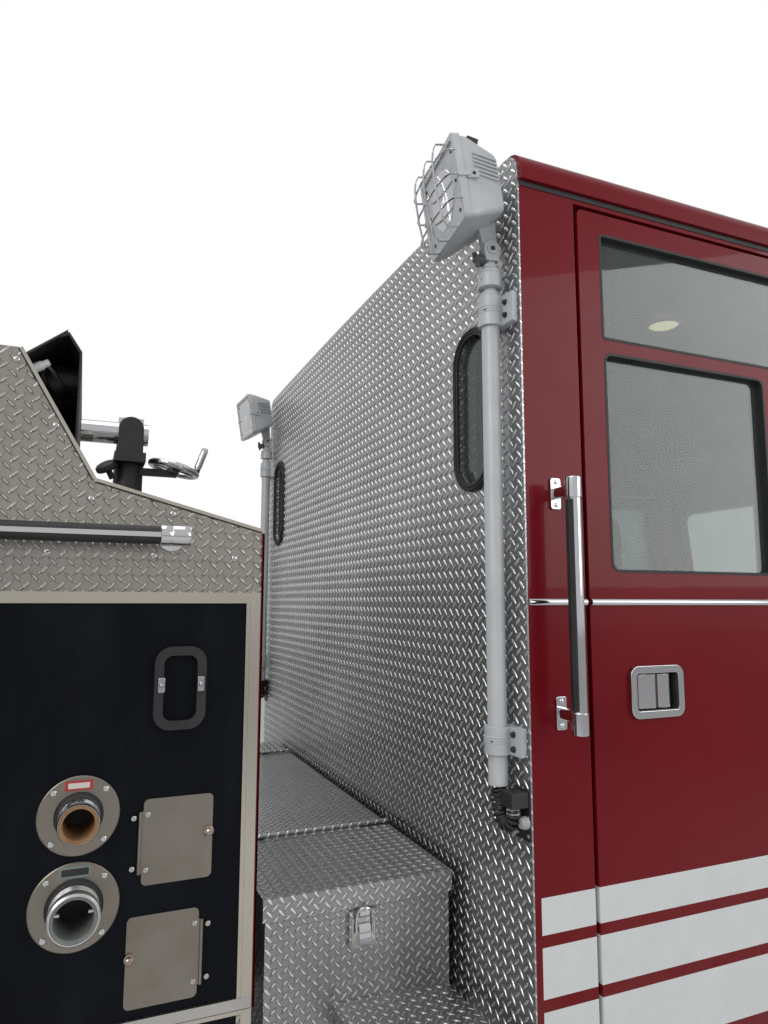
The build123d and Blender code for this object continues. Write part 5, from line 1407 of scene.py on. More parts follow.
@dataclass
class RailsAndMirrors:
    """Grab rails with rubber grips, and the mirrors on their arms, for both sides."""

    rail_x: Flat = (1.304, 3.030)
    reach: float = 1.289
    rail_z: Flat = (1.482, 2.050)

    def rail(self, pen: Pen, x: float, out: float) -> None:
        """One grab rail on two stanchions.

        Args:
            pen: Where it is drawn.
            x: Place along the truck.
            out: 1 on the left, -1 on the right.
        """
        y = out * self.reach
        low, high = self.rail_z
        pen.use(CHROME).rod((x, y, low), (x, y, high), 0.0165, 28, 0.002)
        for a, b in ((low, low + 0.05), (high - 0.05, high)):
            pen.turned([(0.0165, 0), (0.0185, 0.002), (0.0185, b - a - 0.002), (0.0165, b - a)], (x, y, a),
                       (0, 0, 1), 28)
        grip = []
        for step in range(13):
            angle = math.radians(130 + 150 * step / 12)
            radius = 0.0186 if step % 2 else 0.0178
            grip.append((x + radius * math.cos(angle), y + out * radius * math.sin(angle)))
        grip += [(x + 0.006 * math.cos(math.radians(a)), y + out * 0.006 * math.sin(math.radians(a)))
                 for a in (270, 205, 140)]
        pen.use(RUBBER).prism(grip, "z", (low + 0.052, high - 0.052))
        pen.use(CHROME)
        for z in (low + 0.038, high - 0.030):
            pen.prism(rounded((x - 0.014, z - 0.037), (x + 0.014, z + 0.037), 0.006), "y",
                      (out * (L.half + 0.0003), out * (L.half + 0.006)))
            pen.prism(rounded((x - 0.010, z - 0.013), (x + 0.010, z + 0.013), 0.006), "y",
                      (out * (L.half + 0.004), out * (self.reach - 0.012)))

    def mirror(self, pen: Pen, out: float) -> None:
        """Mirror head, its glass and two arms.

        Args:
            pen: Where it is drawn.
            out: 1 on the left, -1 on the right.
        """
        x, y = 4.135, out * 1.469
        low, high = y - 0.095, y + 0.095
        pen.use(CHROME)
        rings = []
        for place, inset in ((x + 0.035, 0.0), (x + 0.060, 0.0), (x + 0.078, 0.012), (x + 0.085, 0.035)):
            ring = rounded((low + inset, 1.700 + inset), (high - inset, 2.120 - inset), 0.03)
            rings.append([(place, a, b) for a, b in ring])
        pen.loops(rings)
        pen.use(BLACK_PAINT).rim(rounded((low, 1.700), (high, 2.120), 0.03),
                                 rounded((low + 0.008, 1.708), (high - 0.008, 2.112), 0.024), "x",
                                 (x + 0.029, x + 0.0352))
        pen.use(CHROME).box((x + 0.0325, low + 0.008, 1.835), (x + 0.0352, high - 0.008, 2.112))
        pen.box((x + 0.0325, low + 0.008, 1.708), (x + 0.0352, high - 0.008, 1.828))
        for foot, z in ((4.115, 1.600), (4.055, 2.240)):
            pen.wire([(foot, out * (L.half + 0.004), z), (foot, out * 1.26, z), (x + 0.06, out * 1.42, z),
                      (x + 0.06, out * 1.469, z), (x + 0.06, out * 1.469, 1.92)], 0.011, 14, 2)
            pen.prism(rounded((foot - 0.025, z - 0.025), (foot + 0.025, z + 0.025), 0.008), "y",
                      (out * (L.half + 0.0003), out * (L.half + 0.010)))

    def build(self) -> None:
        """Both sides as one piece, with the screws of the feet."""
        pen = Pen()
        spots = []
        for side in Side:
            out = side.value
            for x in self.rail_x:
                self.rail(pen, x, out)
                for z in (self.rail_z[0] + 0.038, self.rail_z[1] - 0.030):
                    spots += [((x, out * (L.half + 0.0058), z + dz), (0, out, 0)) for dz in (-0.027, 0.027)]
            self.mirror(pen, out)
        pen.build("grab_rails_and_mirrors", "cab", 0.0015, replaces=("rails_and_mirrors",), slot="chrome")
        screws("rail_screws", "cab", dome(0.006), CHROME, spots)


LAMP_YAW = {Side.LEFT: 3.6, Side.RIGHT: -8.1}


@dataclass
class Floodlight:
    """Head of one floodlight with its guard, and the knuckle on its sliding pole."""

    side: Side
    guarded: bool
    size: Flat = (0.230, 0.200)
    depth: float = 0.112
    rise: float = 0.134
    face: float = -0.089
    hole: float = 0.068

    def place(self) -> Matrix:
        """The head's own frame: its face looks along -X, its pin lies on Y.

        Returns:
            The frame.
        """
        turn = Matrix.Rotation(math.radians(LAMP_YAW[self.side]), 4, "Z")
        tilt = Matrix.Rotation(math.radians(-9.0), 4, "Y")
        return Matrix.Translation((L.pole_x, self.side.value * L.pole_y, L.lamp_axis)) @ turn @ tilt

    def section(self, x: float, wide: float, tall: float, lift: float, corner: float) -> list[Point]:
        """Rounded section of the housing at a place along it.

        Args:
            x: Place along the housing.
            wide: Share of the head's width.
            tall: Share of its height.
            lift: How far its middle is raised.
            corner: Radius of its corners.

        Returns:
            The section's points.
        """
        y, z = self.size[0] / 2 * wide, self.size[1] / 2 * tall
        middle = self.rise + lift
        return [(x, a, b) for a, b in rounded((-y, middle - z), (y, middle + z), corner)]

    def head(self) -> None:
        """Housing, lamp, flanks and foot as one piece, then its screws and its guard."""
        name, body = f"floodlight_{self.side.word}", f"lamp_head_{self.side.word}"
        place = self.place()
        pen = Pen(place)
        self.housing(pen)
        self.lamp(pen)
        self.flanks(pen)
        self.foot(pen)
        pen.build(name, body, 0.0016, 30, replaces=(body,), slot="light_grey_paint")
        turn = place.to_3x3()
        spots = [(tuple(place @ Vector((self.face - 0.012, y, self.rise + z))),
                  tuple(turn @ Vector((-1, 0, 0))))
                 for y, z in ((-0.088, 0.072), (0.088, 0.072), (-0.088, -0.072), (0.088, -0.072),
                              (-0.09, 0.0), (0.09, 0.0))]
        for flank in (-1, 1):
            spots.append((tuple(place @ Vector((self.face + 0.022, flank * 0.1203, self.rise))),
                          tuple(turn @ Vector((0, flank, 0)))))
        screws(f"{name}_screws", body, dome(0.0045), BLACK_PAINT, spots)
        if self.guarded:
            self.guard()

    def housing(self, pen: Pen) -> None:
        """Housing that narrows to the back, and its bezel.

        Args:
            pen: Where it is drawn, in the head's own frame.
        """
        face, rise = self.face, self.rise
        half_y, half_z = self.size[0] / 2, self.size[1] / 2
        pen.use(GREY_PAINT).loops([self.section(face, 1.0, 1.0, 0.0, 0.010),
                                   self.section(face + 0.018, 0.985, 0.985, 0.0, 0.010),
                                   self.section(face + 0.060, 0.82, 0.86, 0.004, 0.012),
                                   self.section(face + 0.104, 0.65, 0.73, 0.008, 0.014),
                                   self.section(face + self.depth, 0.60, 0.69, 0.008, 0.016)])
        outer = rounded((-half_y - 0.004, rise - half_z - 0.004), (half_y + 0.004, rise + half_z + 0.004),
                        0.012)
        inner = rounded((-half_y + 0.009, rise - half_z + 0.009), (half_y - 0.009, rise + half_z - 0.009),
                        0.008)
        pen.rim(outer, inner, "x", (face - 0.017, face + 0.001))

    def lamp(self, pen: Pen) -> None:
        """Face plate with a round hole, and the reflector, bulb and glass in it.

        Args:
            pen: Where it is drawn, in the head's own frame.
        """
        face, rise, hole = self.face, self.rise, self.hole
        half_y, half_z = self.size[0] / 2, self.size[1] / 2
        plate = rounded((-half_y + 0.0085, rise - half_z + 0.0085), (half_y - 0.0085, rise + half_z - 0.0085),
                        0.008)
        count = len(plate)
        shift = math.pi / count
        circle = [(hole * math.cos(2 * math.pi * i / count + shift),
                   rise + hole * math.sin(2 * math.pi * i / count + shift))
                  for i in range(count)]
        pen.use(GREY_PAINT if self.guarded else WHITE).rim(plate, circle, "x", (face - 0.012, face - 0.009))
        bowl = [(hole + 0.001, -0.013), (hole + 0.004, -0.011), (hole + 0.001, -0.008), (0.060, 0.008),
                (0.042, 0.022), (0.014, 0.031), (0.0, 0.032), (0.0, 0.030), (0.014, 0.029),
                (0.041, 0.020), (0.058, 0.006), (hole - 0.002, -0.009)]
        pen.use(CHROME).turned(bowl, (face, 0, rise), (1, 0, 0), 40)
        pen.use(OLD_BRASS).rod((face + 0.029, 0, rise), (face + 0.012, 0, rise), 0.009, 16, 0.001)
        bulb = [(0.0, -0.008), (0.006, -0.006), (0.009, 0.0), (0.009, 0.012), (0.006, 0.016)]
        pen.use(AMBER_LENS).turned(bulb, (face, 0, rise), (1, 0, 0), 18)
        glass = [(hole + 0.0005, -0.0125), (hole + 0.0005, -0.0105), (0.0, -0.0135), (0.0, -0.0155)]
        pen.use(CLEAR).turned(glass, (face, 0, rise), (1, 0, 0), 40)

    def flanks(self, pen: Pen) -> None:
        """Fins, side blocks and catches of both flanks.

        Args:
            pen: Where it is drawn, in the head's own frame.
        """
        face, rise = self.face, self.rise
        pen.use(GREY_PAINT)
        # Columns: place along the housing, half width of the housing there
        widths = ((0.030, 0.1062), (0.060, 0.0943), (0.106, 0.0745))
        for count in range(6):
            level = rise + 0.055 - 0.0100 * count
            for flank in (-1, 1):
                rings = []
                for x, w in widths:
                    inner, outer = flank * w - flank * 0.006, flank * w + flank * 0.0052
                    rings.append([(face + x, inner, level), (face + x, outer, level),
                                  (face + x, outer, level + 0.0034), (face + x, inner, level + 0.0028)])
                pen.loops(rings)
        for flank in (-1, 1):
            pen.box((face + 0.004, flank * 0.112, rise - 0.010), (face + 0.034, flank * 0.1205, rise + 0.010))
            pen.box((face - 0.019, flank * 0.113, rise - 0.006), (face + 0.012, flank * 0.1225, rise + 0.006))

    def foot(self, pen: Pen) -> None:
        """Dark tab on the top and the lug that the pin goes through.

        Args:
            pen: Where it is drawn, in the head's own frame.
        """
        out, face, rise = self.side.value, self.face, self.rise
        # Columns: near place and height, far place and height, first of the tab's root and then of its tip
        tab = ((0.030, 0.076, 0.054, 0.072), (0.040, 0.118, 0.067, 0.108))
        pen.use(BLACK_PAINT).loops([[(face + x0, out * 0.050, rise + z0), (face + x1, out * 0.050, rise + z1),
                                     (face + x1, out * 0.082, rise + z1), (face + x0, out * 0.082, rise + z0)]
                                    for x0, z0, x1, z1 in tab])
        top = rise - self.size[1] / 2 * 0.6
        lug = [(-0.017, 0.0), (-0.012, -0.012), (0.0, -0.017), (0.012, -0.012), (0.017, 0.0), (0.024, top),
               (-0.024, top)]
        pen.use(GREY_PAINT).prism(lug, "y", (-0.009, 0.009))

    def guard(self) -> None:
        """Wire guard: three hoops each way, their ends bent back to the bezel."""
        near, far = self.face - 0.012, self.face - 0.052
        half_y, half_z = self.size[0] / 2 + 0.002, self.size[1] / 2 + 0.002
        pen = Pen(self.place()).use(CHROME)
        for level in (-0.058, 0.0, 0.058):
            z = self.rise + level
            pen.wire([(near, -half_y, z), (far, -half_y, z), (far, half_y, z), (near, half_y, z)], 0.0025, 8,
                     2)
        for y in (-0.068, 0.0, 0.068):
            x = far - 0.0036
            pen.wire([(near, y, self.rise - half_z), (x, y, self.rise - half_z), (x, y, self.rise + half_z),
                      (near, y, self.rise + half_z)], 0.0025, 8, 2)
        pen.build("floodlight_guard", f"lamp_head_{self.side.word}")

    def knuckle(self) -> None:
        """Cast knuckle on the sliding pole, with its pin and wing knob."""
        out = self.side.value
        turn = Matrix.Rotation(math.radians(LAMP_YAW[self.side]), 4, "Z")
        place = Matrix.Translation((L.pole_x, out * L.pole_y, L.lamp_axis)) @ turn
        pen = Pen(place).use(GREY_PAINT)
        pen.rod((0, 0, -1.248), (0, 0, -0.040), 0.017, 24, 0.001)
        pen.turned([(0.0, -0.002), (0.0195, 0.0), (0.0205, 0.003), (0.0205, 0.012), (0.015, 0.016),
                    (0.0135, 0.028), (0.014, 0.036)],
                   (0, 0, -0.050), (0, 0, 1), 28)
        for flank in (-1, 1):
            ear = [(-0.016, -0.030), (0.016, -0.030), (0.0205, -0.006)]
            ear += [(0.0215 * math.cos(math.radians(a)), 0.0215 * math.sin(math.radians(a)))
                    for a in range(0, 181, 20)]
            pen.prism(ear + [(-0.0205, -0.006)], "y", (flank * 0.0094, flank * 0.019))
            pen.turned([(0.014, 0.0), (0.014, 0.002), (0.009, 0.003)], (0, flank * 0.0188, 0), (0, flank, 0),
                       20)
        pen.use(BLACK_PAINT).rod((0, -0.0245, 0), (0, 0.0245, 0), 0.0065, 6, 0.001)
        pen.use(MACHINERY).turned([(0.008, 0.0), (0.0135, 0.002), (0.0135, 0.020), (0.010, 0.023),
                                   (0.010, 0.030), (0.006, 0.033)],
                                  (-0.014, out * 0.002, -0.028), (-1, out * 0.25, 0), 20)
        for turn_by in (1.1, 1.1 + math.pi):
            dy, dz = math.cos(turn_by), math.sin(turn_by)
            pen.loops([[(-0.034 - h, out * 0.007 + dy * r + sy * dz * w, -0.028 + dz * r - sy * dy * w)
                        for sy, h in ((-1, 0), (1, 0), (1, 0.009), (-1, 0.009))]
                       for r, w in ((0.006, 0.006), (0.018, 0.0055), (0.026, 0.003))])
        pen.use(WHITE).turned([(0.008, 0.0), (0.0135, 0.001), (0.0135, 0.006), (0.0115, 0.007),
                               (0.0115, 0.009), (0.0135, 0.010), (0.0135, 0.014), (0.010, 0.016)],
                              (0.013, -out * 0.002, -0.030), (1, -out * 0.2, 0), 22)
        pen.build(f"lamp_knuckle_{self.side.word}", f"lamp_pole_{self.side.word}", 0.001,
                  replaces=(f"lamp_pole_{self.side.word}",), slot="light_grey_paint")

    def build(self) -> None:
        """Head and knuckle."""
        self.head()
        self.knuckle()


@dataclass
class PoleMounts:
    """Outer tubes, collars and clamps of both floodlights."""

    clamps: tuple[Flat, ...] = ((1.428, 1.489), (2.432, 2.506))
    collar: Flat = (2.529, 2.575)

    def build(self) -> None:
        """One piece for both sides, with bolts and set screws."""
        pen = Pen()
        bolts, sets = [], []
        for side in Side:
            out = side.value
            x, y = L.pole_x, out * L.pole_y
            pen.use(GREY_PAINT)
            pen.turned([(0.0228, 0), (0.0228, 0.006), (0.0222, 0.008), (0.0222, 1.160), (0.0176, 1.160),
                        (0.0176, 0)], (x, y, 1.360), (0, 0, 1), 40, True)
            pen.turned([(0.0225, 0), (0.030, 0.002), (0.030, 0.034), (0.0285, 0.036), (0.0285, 0.038),
                        (0.030, 0.040), (0.0295, 0.045), (0.0176, 0.046),
                        (0.0176, 0)], (x, y, self.collar[0]), (0, 0, 1), 40, True)
            sets.append(((x - 0.0285, y + out * 0.008, self.collar[0] + 0.020), (-1, -out * 0.45, 0)))
            for low, high in self.clamps:
                wall = L.cab_back - 0.0003
                outline = [(wall, y + out * 0.061), (1.200, y + out * 0.069), (1.1985, y + out * 0.030)]
                for step in range(13):
                    angle = math.radians(35 - 250 * step / 12)
                    outline.append((x + 0.0305 * math.sin(angle), y + out * 0.0305 * math.cos(angle)))
                outline.append((wall, y - out * 0.030))
                pen.prism(outline, "z", (low, high))
                for step in range(3):
                    z = low + (high - low) * (0.42 + 0.09 * step)
                    pen.turned([(0.0300, 0.0), (0.0316, 0.001), (0.0316, 0.003), (0.0300, 0.004),
                                (0.025, 0.004), (0.025, 0.0)], (x, y, z), (0, 0, 1), 32, True)
                for dz in (-0.016, 0.016):
                    bolts.append(((1.1995, y + out * 0.040, (low + high) / 2 + dz), (-1, 0, 0)))
                sets.append(((x - 0.0255, y + out * 0.0165, (low + high) / 2), (-0.84, out * 0.54, 0)))
        pen.build("pole_mounts_dressed", "cab", 0.0025, replaces=("pole_mounts",), slot="light_grey_paint")
        screws("pole_mount_bolts", "cab", hexagon(0.011, 0.007), BLACK_PAINT, bolts)
        screws("pole_set_screws", "cab", dome(0.0032, 0.0008), BLACK_PAINT, sets)


@dataclass
class CrosswiseBox:
    """Draw latches and step rivets of the crosswise box."""

    half: float = L.box_half
    latch_x: float = 0.952

    def latch(self, side: Side) -> None:
        """Toggle, bail and catch on the end face.

        Args:
            side: Side of the truck.
        """
        out = side.value
        y = out * self.half
        pen = Pen().use(STAINLESS)
        middle = self.latch_x
        pen.prism(rounded((middle - 0.031, 0.958), (middle + 0.031, 1.024), 0.007), "y",
                  (y, y + out * 0.0095))
        pen.use(CHROME)
        lever = [(y + out * 0.0085, 0.966), (y + out * 0.017, 0.961), (y + out * 0.021, 0.968),
                 (y + out * 0.019, 1.004), (y + out * 0.013, 1.012), (y + out * 0.0085, 1.010)]
        pen.prism(lever, "x", (middle - 0.015, middle + 0.015))
        x0, x1 = middle - 0.021, middle + 0.021
        deep = y + out * 0.015
        pen.wire([(x0, deep, 0.990), (x0, deep, 1.034), (middle - 0.010, deep, 1.046),
                  (middle + 0.010, deep, 1.046), (x1, deep, 1.034), (x1, deep, 0.990)], 0.0026, 10, 2)
        pen.box((middle - 0.013, y + out * 0.0085, 1.030), (middle + 0.013, y + out * 0.018, 1.041))
        pen.build(f"draw_latch_{side.word}", "chassis", 0.0012)
        spots = [((middle + dx, y + out * 0.0093, z), (0, out, 0)) for dx in (-0.024, 0.024)
                 for z in (0.966, 1.016)]
        screws(f"draw_latch_rivets_{side.word}", "chassis", dome(0.0035), STAINLESS, spots)

    def rivets(self) -> None:
        """Rivets along the step's back flange and its edge."""
        spots = []
        # Columns: x, distance from the middle, height
        places = ((0.919, 0.8947, 0.857), (1.095, 0.8947, 0.857), (1.160, 1.1892, 0.814),
                  (0.900, 1.1892, 0.814))
        for side in Side:
            out = side.value
            spots += [((x, out * away, z), (0, out, 0)) for x, away, z in places]
        screws("step_rivets", "chassis", dome(0.0065, 0.0028), STAINLESS, spots)

    def build(self) -> None:
        """Both ends."""
        for side in Side:
            self.latch(side)
        self.rivets()


@dataclass
class PumpHouse:
    """Edge strips, rails, labels, flanges and screws of the pump house."""

    slope: tuple[Flat, ...] = ((0.613, 1.906), (0.307, 1.986), (0.175, 2.213))
    # Columns: x, z of the side sheet's dome screws
    sheet_screws: tuple[Flat, ...] = ((0.169, 2.190), (0.238, 2.078), (0.302, 1.950), (0.236, 1.852),
                                      (0.413, 1.851), (0.444, 1.930), (0.560, 1.850), (0.060, 1.852),
                                      (-0.120, 1.852), (-0.300, 1.852), (-0.480, 1.852), (-0.500, 2.020),
                                      (-0.500, 2.180), (-0.300, 2.180), (-0.100, 2.180))
    # Columns: height, flange radius, pipe outer radius, pipe bore radius, screw offset
    outlets: tuple[tuple[float, ...], ...] = ((1.408, 0.065, 0.032, 0.026, 0.041),
                                              (1.262, 0.071, 0.0385, 0.032, 0.045))

    def along_slope(self, pen: Pen, y: float, section: tuple[Flat, ...]) -> None:
        """Carry a section along both slopes of the house's top.

        Args:
            pen: Where the strip goes.
            y: Face of the side sheet.
            section: Distance across and height above the slope of each corner.
        """
        for (x0, z0), (x1, z1) in zip(self.slope, self.slope[1:]):
            run = Vector((x1 - x0, 0, z1 - z0)).normalized()
            up = Vector((-run.z, 0, run.x))
            if up.z < 0:
                up.negate()
            pen.loops([[(px + up.x * lift, y + across, pz + up.z * lift) for across, lift in section]
                       for px, pz in ((x0, z0), (x1, z1))])

    def edges(self, side: Side) -> None:
        """Red front edge, bright strip along the slope and sealing lines.

        Args:
            side: Side of the truck.
        """
        out = side.value
        y = L.half * out
        skin, tuck = out * 0.0028, -out * 0.0002
        pen = Pen().use(RED)
        pen.box((0.6135, y - out * 0.030, 1.045), (0.6175, y + out * 0.0022, 1.900))
        pen.box((0.6125, y, 1.045), (0.6175, y + out * 0.0022, 1.900))
        pen.use(TRIM_STEEL)
        self.along_slope(pen, y, ((skin, 0.0022), (skin, -0.0042), (tuck, -0.0042), (tuck, 0.0004),
                                  (-out * 0.018, 0.0004), (-out * 0.018, 0.0022)))
        pen.use(RUBBER)
        self.along_slope(pen, y, ((out * 0.0016, -0.0045), (out * 0.0016, -0.0062), (tuck, -0.0062),
                                  (tuck, -0.0045)))
        pen.use(TRIM_STEEL).box((0.5855, y - out * 0.0024, 1.0465), (0.5945, y + out * 0.0006, 1.7845))
        pen.use(STAINLESS).box((-0.5325, y + out * 0.0012, 1.0462), (0.6115, y + skin, 1.0648))
        pen.build(f"pump_house_edges_{side.word}", "chassis", 0.0006)

    def rails(self) -> None:
        """Handrails with rubber above and below a bright strip, between ferrules."""
        pen = Pen()
        for side in Side:
            out = side.value
            y, z = out * 1.279, 1.884
            a, b = -0.360, 0.468
            pen.use(RUBBER)
            for up in (-1, 1):
                section = []
                for step in range(9):
                    angle = math.radians(10 + 160 * step / 8)
                    section.append((y + out * 0.0162 * math.cos(angle), z + up * 0.0162 * math.sin(angle)))
                section += [(y - out * 0.0135, z + up * 0.0005), (y + out * 0.0135, z + up * 0.0005)]
                pen.prism(section, "x", (a + 0.045, b - 0.045))
            pen.use(CHROME)
            pen.box((a + 0.045, y - out * 0.0158, z - 0.0042), (b - 0.045, y + out * 0.0166, z + 0.0042))
            for start, end in ((a, a + 0.050), (b, b - 0.050)):
                way = 1 if end > start else -1
                pen.turned([(0.0, -0.0006), (0.0168, -0.0006), (0.0187, 0.003), (0.0187, 0.030),
                            (0.0181, 0.031), (0.0187, 0.032), (0.0187, 0.0505), (0.0162, 0.052)],
                            (start, y, z), (way, 0, 0), 28)
            for x in (-0.335, 0.443):
                inner = out * (L.half + 0.0003)
                pen.turned([(0.024, 0), (0.024, 0.004), (0.0115, 0.010), (0.0095, 0.020), (0.0095, 0.062)],
                           (x, inner, z), (0, out, 0), 24)
        pen.build("pump_house_rails", "chassis")

    def outlet(self, count: int, row: tuple[float, ...]) -> None:
        """Raised flange ring, pipe lip and rusty bore of a discharge, closed deep inside by a black disc of
        painted shade.

        Args:
            count: Number in the piece's name.
            row: Its row of the outlets' table.
        """
        z, flange, outer, bore, screw = row
        face, end = -1.2203, -1.2763
        x = L.fitting_x
        pen = Pen().use(SATIN)
        pen.turned([(outer + 0.0075, 0.0), (flange - 0.001, 0.0), (flange + 0.0005, 0.0012),
                    (flange - 0.001, 0.0026), (outer + 0.0075, 0.0026)],
                   (x, face, z), (0, -1, 0), 72, True)
        pen.use(BLACK_PAINT).turned([(outer + 0.0002, 0.0), (outer + 0.0074, 0.0), (outer + 0.0074, 0.0006),
                                     (outer + 0.0002, 0.0006)],
                                    (x, face, z), (0, -1, 0), 48, True)
        pen.use(PIPE_METAL if count else CHROME)
        lip = 0.0020 if count else 0.0010
        edge = outer - (0.0034 if count else 0.0020)
        pen.turned([(edge, 0.0012), (edge + 0.001, -0.0012), (outer - 0.0004, -0.0012), (outer + lip, 0.0010),
                    (outer + lip, 0.007 + 0.008 * count), (outer + 0.0003, 0.009 + 0.009 * count),
                    (edge, 0.009)], (x, end - 0.0002, z), (0, 1, 0),
                    56, True)
        for thread in range(4):
            pen.turned([(outer + 0.0001, 0.0), (outer + 0.0011, 0.0012), (outer + 0.0001, 0.0024)],
                       (x, end + 0.014 + 0.009 * count + 0.005 * thread, z), (0, 1, 0), 48, True)
        pen.use(DULL_ZINC if count else RUST)
        pen.turned([(edge + 0.0004, 0.0), (edge + 0.0004, 0.0009), (bore - 0.0002, 0.0009),
                    (bore - 0.0002, 0.090), (bore - 0.0014, 0.090), (bore - 0.0014, 0.0030)],
                   (x, end - 0.0012, z), (0, 1, 0), 48, True)
        # Black disc deep in the bore: painted shade standing in for the dark inside of the pipe.
        pen.use(BLACK_PAINT).rod((x, end + 0.084, z), (x, end + 0.087, z), bore - 0.002, 32)
        if count:
            for flank in (-1, 1):
                pen.use(CHROME).rod((x + flank * (bore - 0.001), end + 0.020, z + 0.004),
                                    (x + flank * (bore - 0.011), end + 0.020, z + 0.004), 0.004, 12, 0.001)
        pen.build(f"outlet_trim_{count}", "chassis", 0.0)
        spots = [((x + dx * screw, face - 0.0024, z + dz * screw), (0, -1, 0)) for dx in (-1, 1)
                 for dz in (-1, 1)]
        screws(f"outlet_screws_{count}", "chassis", dome(0.0052, 0.0034), CHROME, spots)
        label = Pen().use(PALE_LABEL if not count else GREEN_LABEL)
        high = z + flange - 0.006
        if not count:
            label.use(RED_LABEL).prism(rounded((x - 0.024, high - 0.017), (x + 0.020, high - 0.001), 0.002),
                                       "y", (face - 0.0036, face - 0.002))
            label.use(PALE_LABEL).prism(rounded((x - 0.019, high - 0.0135), (x + 0.015, high - 0.0045),
                                                0.001), "y", (face - 0.0042, face - 0.003))
        else:
            label.prism(rounded((x - 0.026, high - 0.018), (x + 0.024, high + 0.001), 0.002), "y",
                        (face - 0.0036, face - 0.002))
            label.use(BLACK_PAINT).prism(rounded((x - 0.022, high - 0.014), (x + 0.020, high - 0.003), 0.001),
                                         "y", (face - 0.0040, face - 0.003))
        label.build(f"blank_label_{count}", "chassis", 0.0)

    def hood(self) -> None:
        """Dark housings under the hood, its top sheet and end plate, and a pale connector beside it."""
        pen = Pen().use(BLACK_PAINT)
        for y in (-1.069, -0.919, -0.769):
            pen.turned([(0.030, 0.0), (0.0335, 0.006), (0.0335, 0.022), (0.024, 0.026), (0.021, 0.012),
                        (0.0, 0.010)],
                       (0.213, y, 2.190), (0.55, 0, 0.32), 26)
        pen.use(HOOD).prism([(0.176, 2.2095), (0.2465, 2.2662), (0.2465, 2.2710), (0.174, 2.2135)], "y",
                            (-1.179, -0.6595))
        pen.prism([(0.176, 2.2095), (0.272, 2.2285), (0.272, 2.0650), (0.263, 2.0650)], "y",
                  (-0.6640, -0.6592))
        pen.use(WHITE)
        pen.turned([(0.009, 0.0), (0.009, 0.018), (0.007, 0.020), (0.007, 0.030), (0.005, 0.032)],
                   (0.190, -1.150, 2.196), (0.86, -0.1, 0.5), 16)
        pen.use(GREY_TRIM).wire([(0.206, -1.152, 2.206), (0.218, -1.140, 2.206), (0.232, -1.10, 2.196),
                                 (0.236, -1.06, 2.190)], 0.0032, 8, 3)
        pen.build("hood_fittings", "chassis", 0.0)

    def bracket(self) -> None:
        """Clips of the black bracket ring."""
        pen = Pen().use(CHROME)
        for x in (0.434, 0.503):
            pen.prism(rounded((x - 0.006, 1.607), (x + 0.006, 1.633), 0.003), "y", (-1.2345, -1.2270))
            pen.turned([(0.0045, 0.0), (0.0045, 0.004), (0.003, 0.006)], (x, -1.2340, 1.620), (0, -1, 0), 14)
        pen.build("bracket_clips", "chassis", 0.0008)

    def build(self) -> None:
        """All of it."""
        for side in Side:
            self.edges(side)
        for count, row in enumerate(self.outlets):
            self.outlet(count, row)
        self.rails()
        self.hood()
        self.bracket()
        spots = [((x, side.value * (L.half - 0.0008), z), (0, side.value, 0)) for side in Side
                 for x, z in self.sheet_screws]
        screws("sheet_screws", "chassis", dome(0.0060, 0.0034), STAINLESS, spots)


@dataclass
class AccessDoors:
    """Hinge screws, knuckles and knobs of the two satin access doors."""

    face: float = -1.2188

    def build(self) -> None:
        """Screws for each door on its own body, and the hinge leaves' screws on the house."""
        # Columns: body, hinge x, low z, high z, outward run from hinge, knob (x, z)
        doors = (("access_door_upper", 0.409, 1.279, 1.423, 1, (0.527, 1.358)),
                 ("access_door_lower", 0.520, 1.082, 1.230, -1, (0.401, 1.163)))
        for body, hinge, low, high, way, knob in doors:
            rows = [low + 0.026, high - 0.026]
            spots = [((hinge + way * 0.012, self.face, z), (0, -1, 0)) for z in rows]
            screws(f"{body}_screws", body, dome(0.0052, 0.0032), STAINLESS, spots)
            fixed = [((hinge - way * 0.011, -1.2178, z), (0, -1, 0)) for z in (low + 0.03, high - 0.03)]
            screws(f"{body}_leaf_screws", "chassis", dome(0.0052, 0.0032), STAINLESS, fixed)
            pen = Pen().use(OLD_CHROME)
            pen.turned([(0.0085, 0.0), (0.0085, 0.0014), (0.0045, 0.0025), (0.0045, 0.0065), (0.0066, 0.008),
                        (0.0066, 0.0112), (0.0045, 0.013)],
                       (knob[0] + way * 0.001, self.face, knob[1]), (0, -1, 0), 24)
            pen.build(f"{body}_knob", body, 0.0)


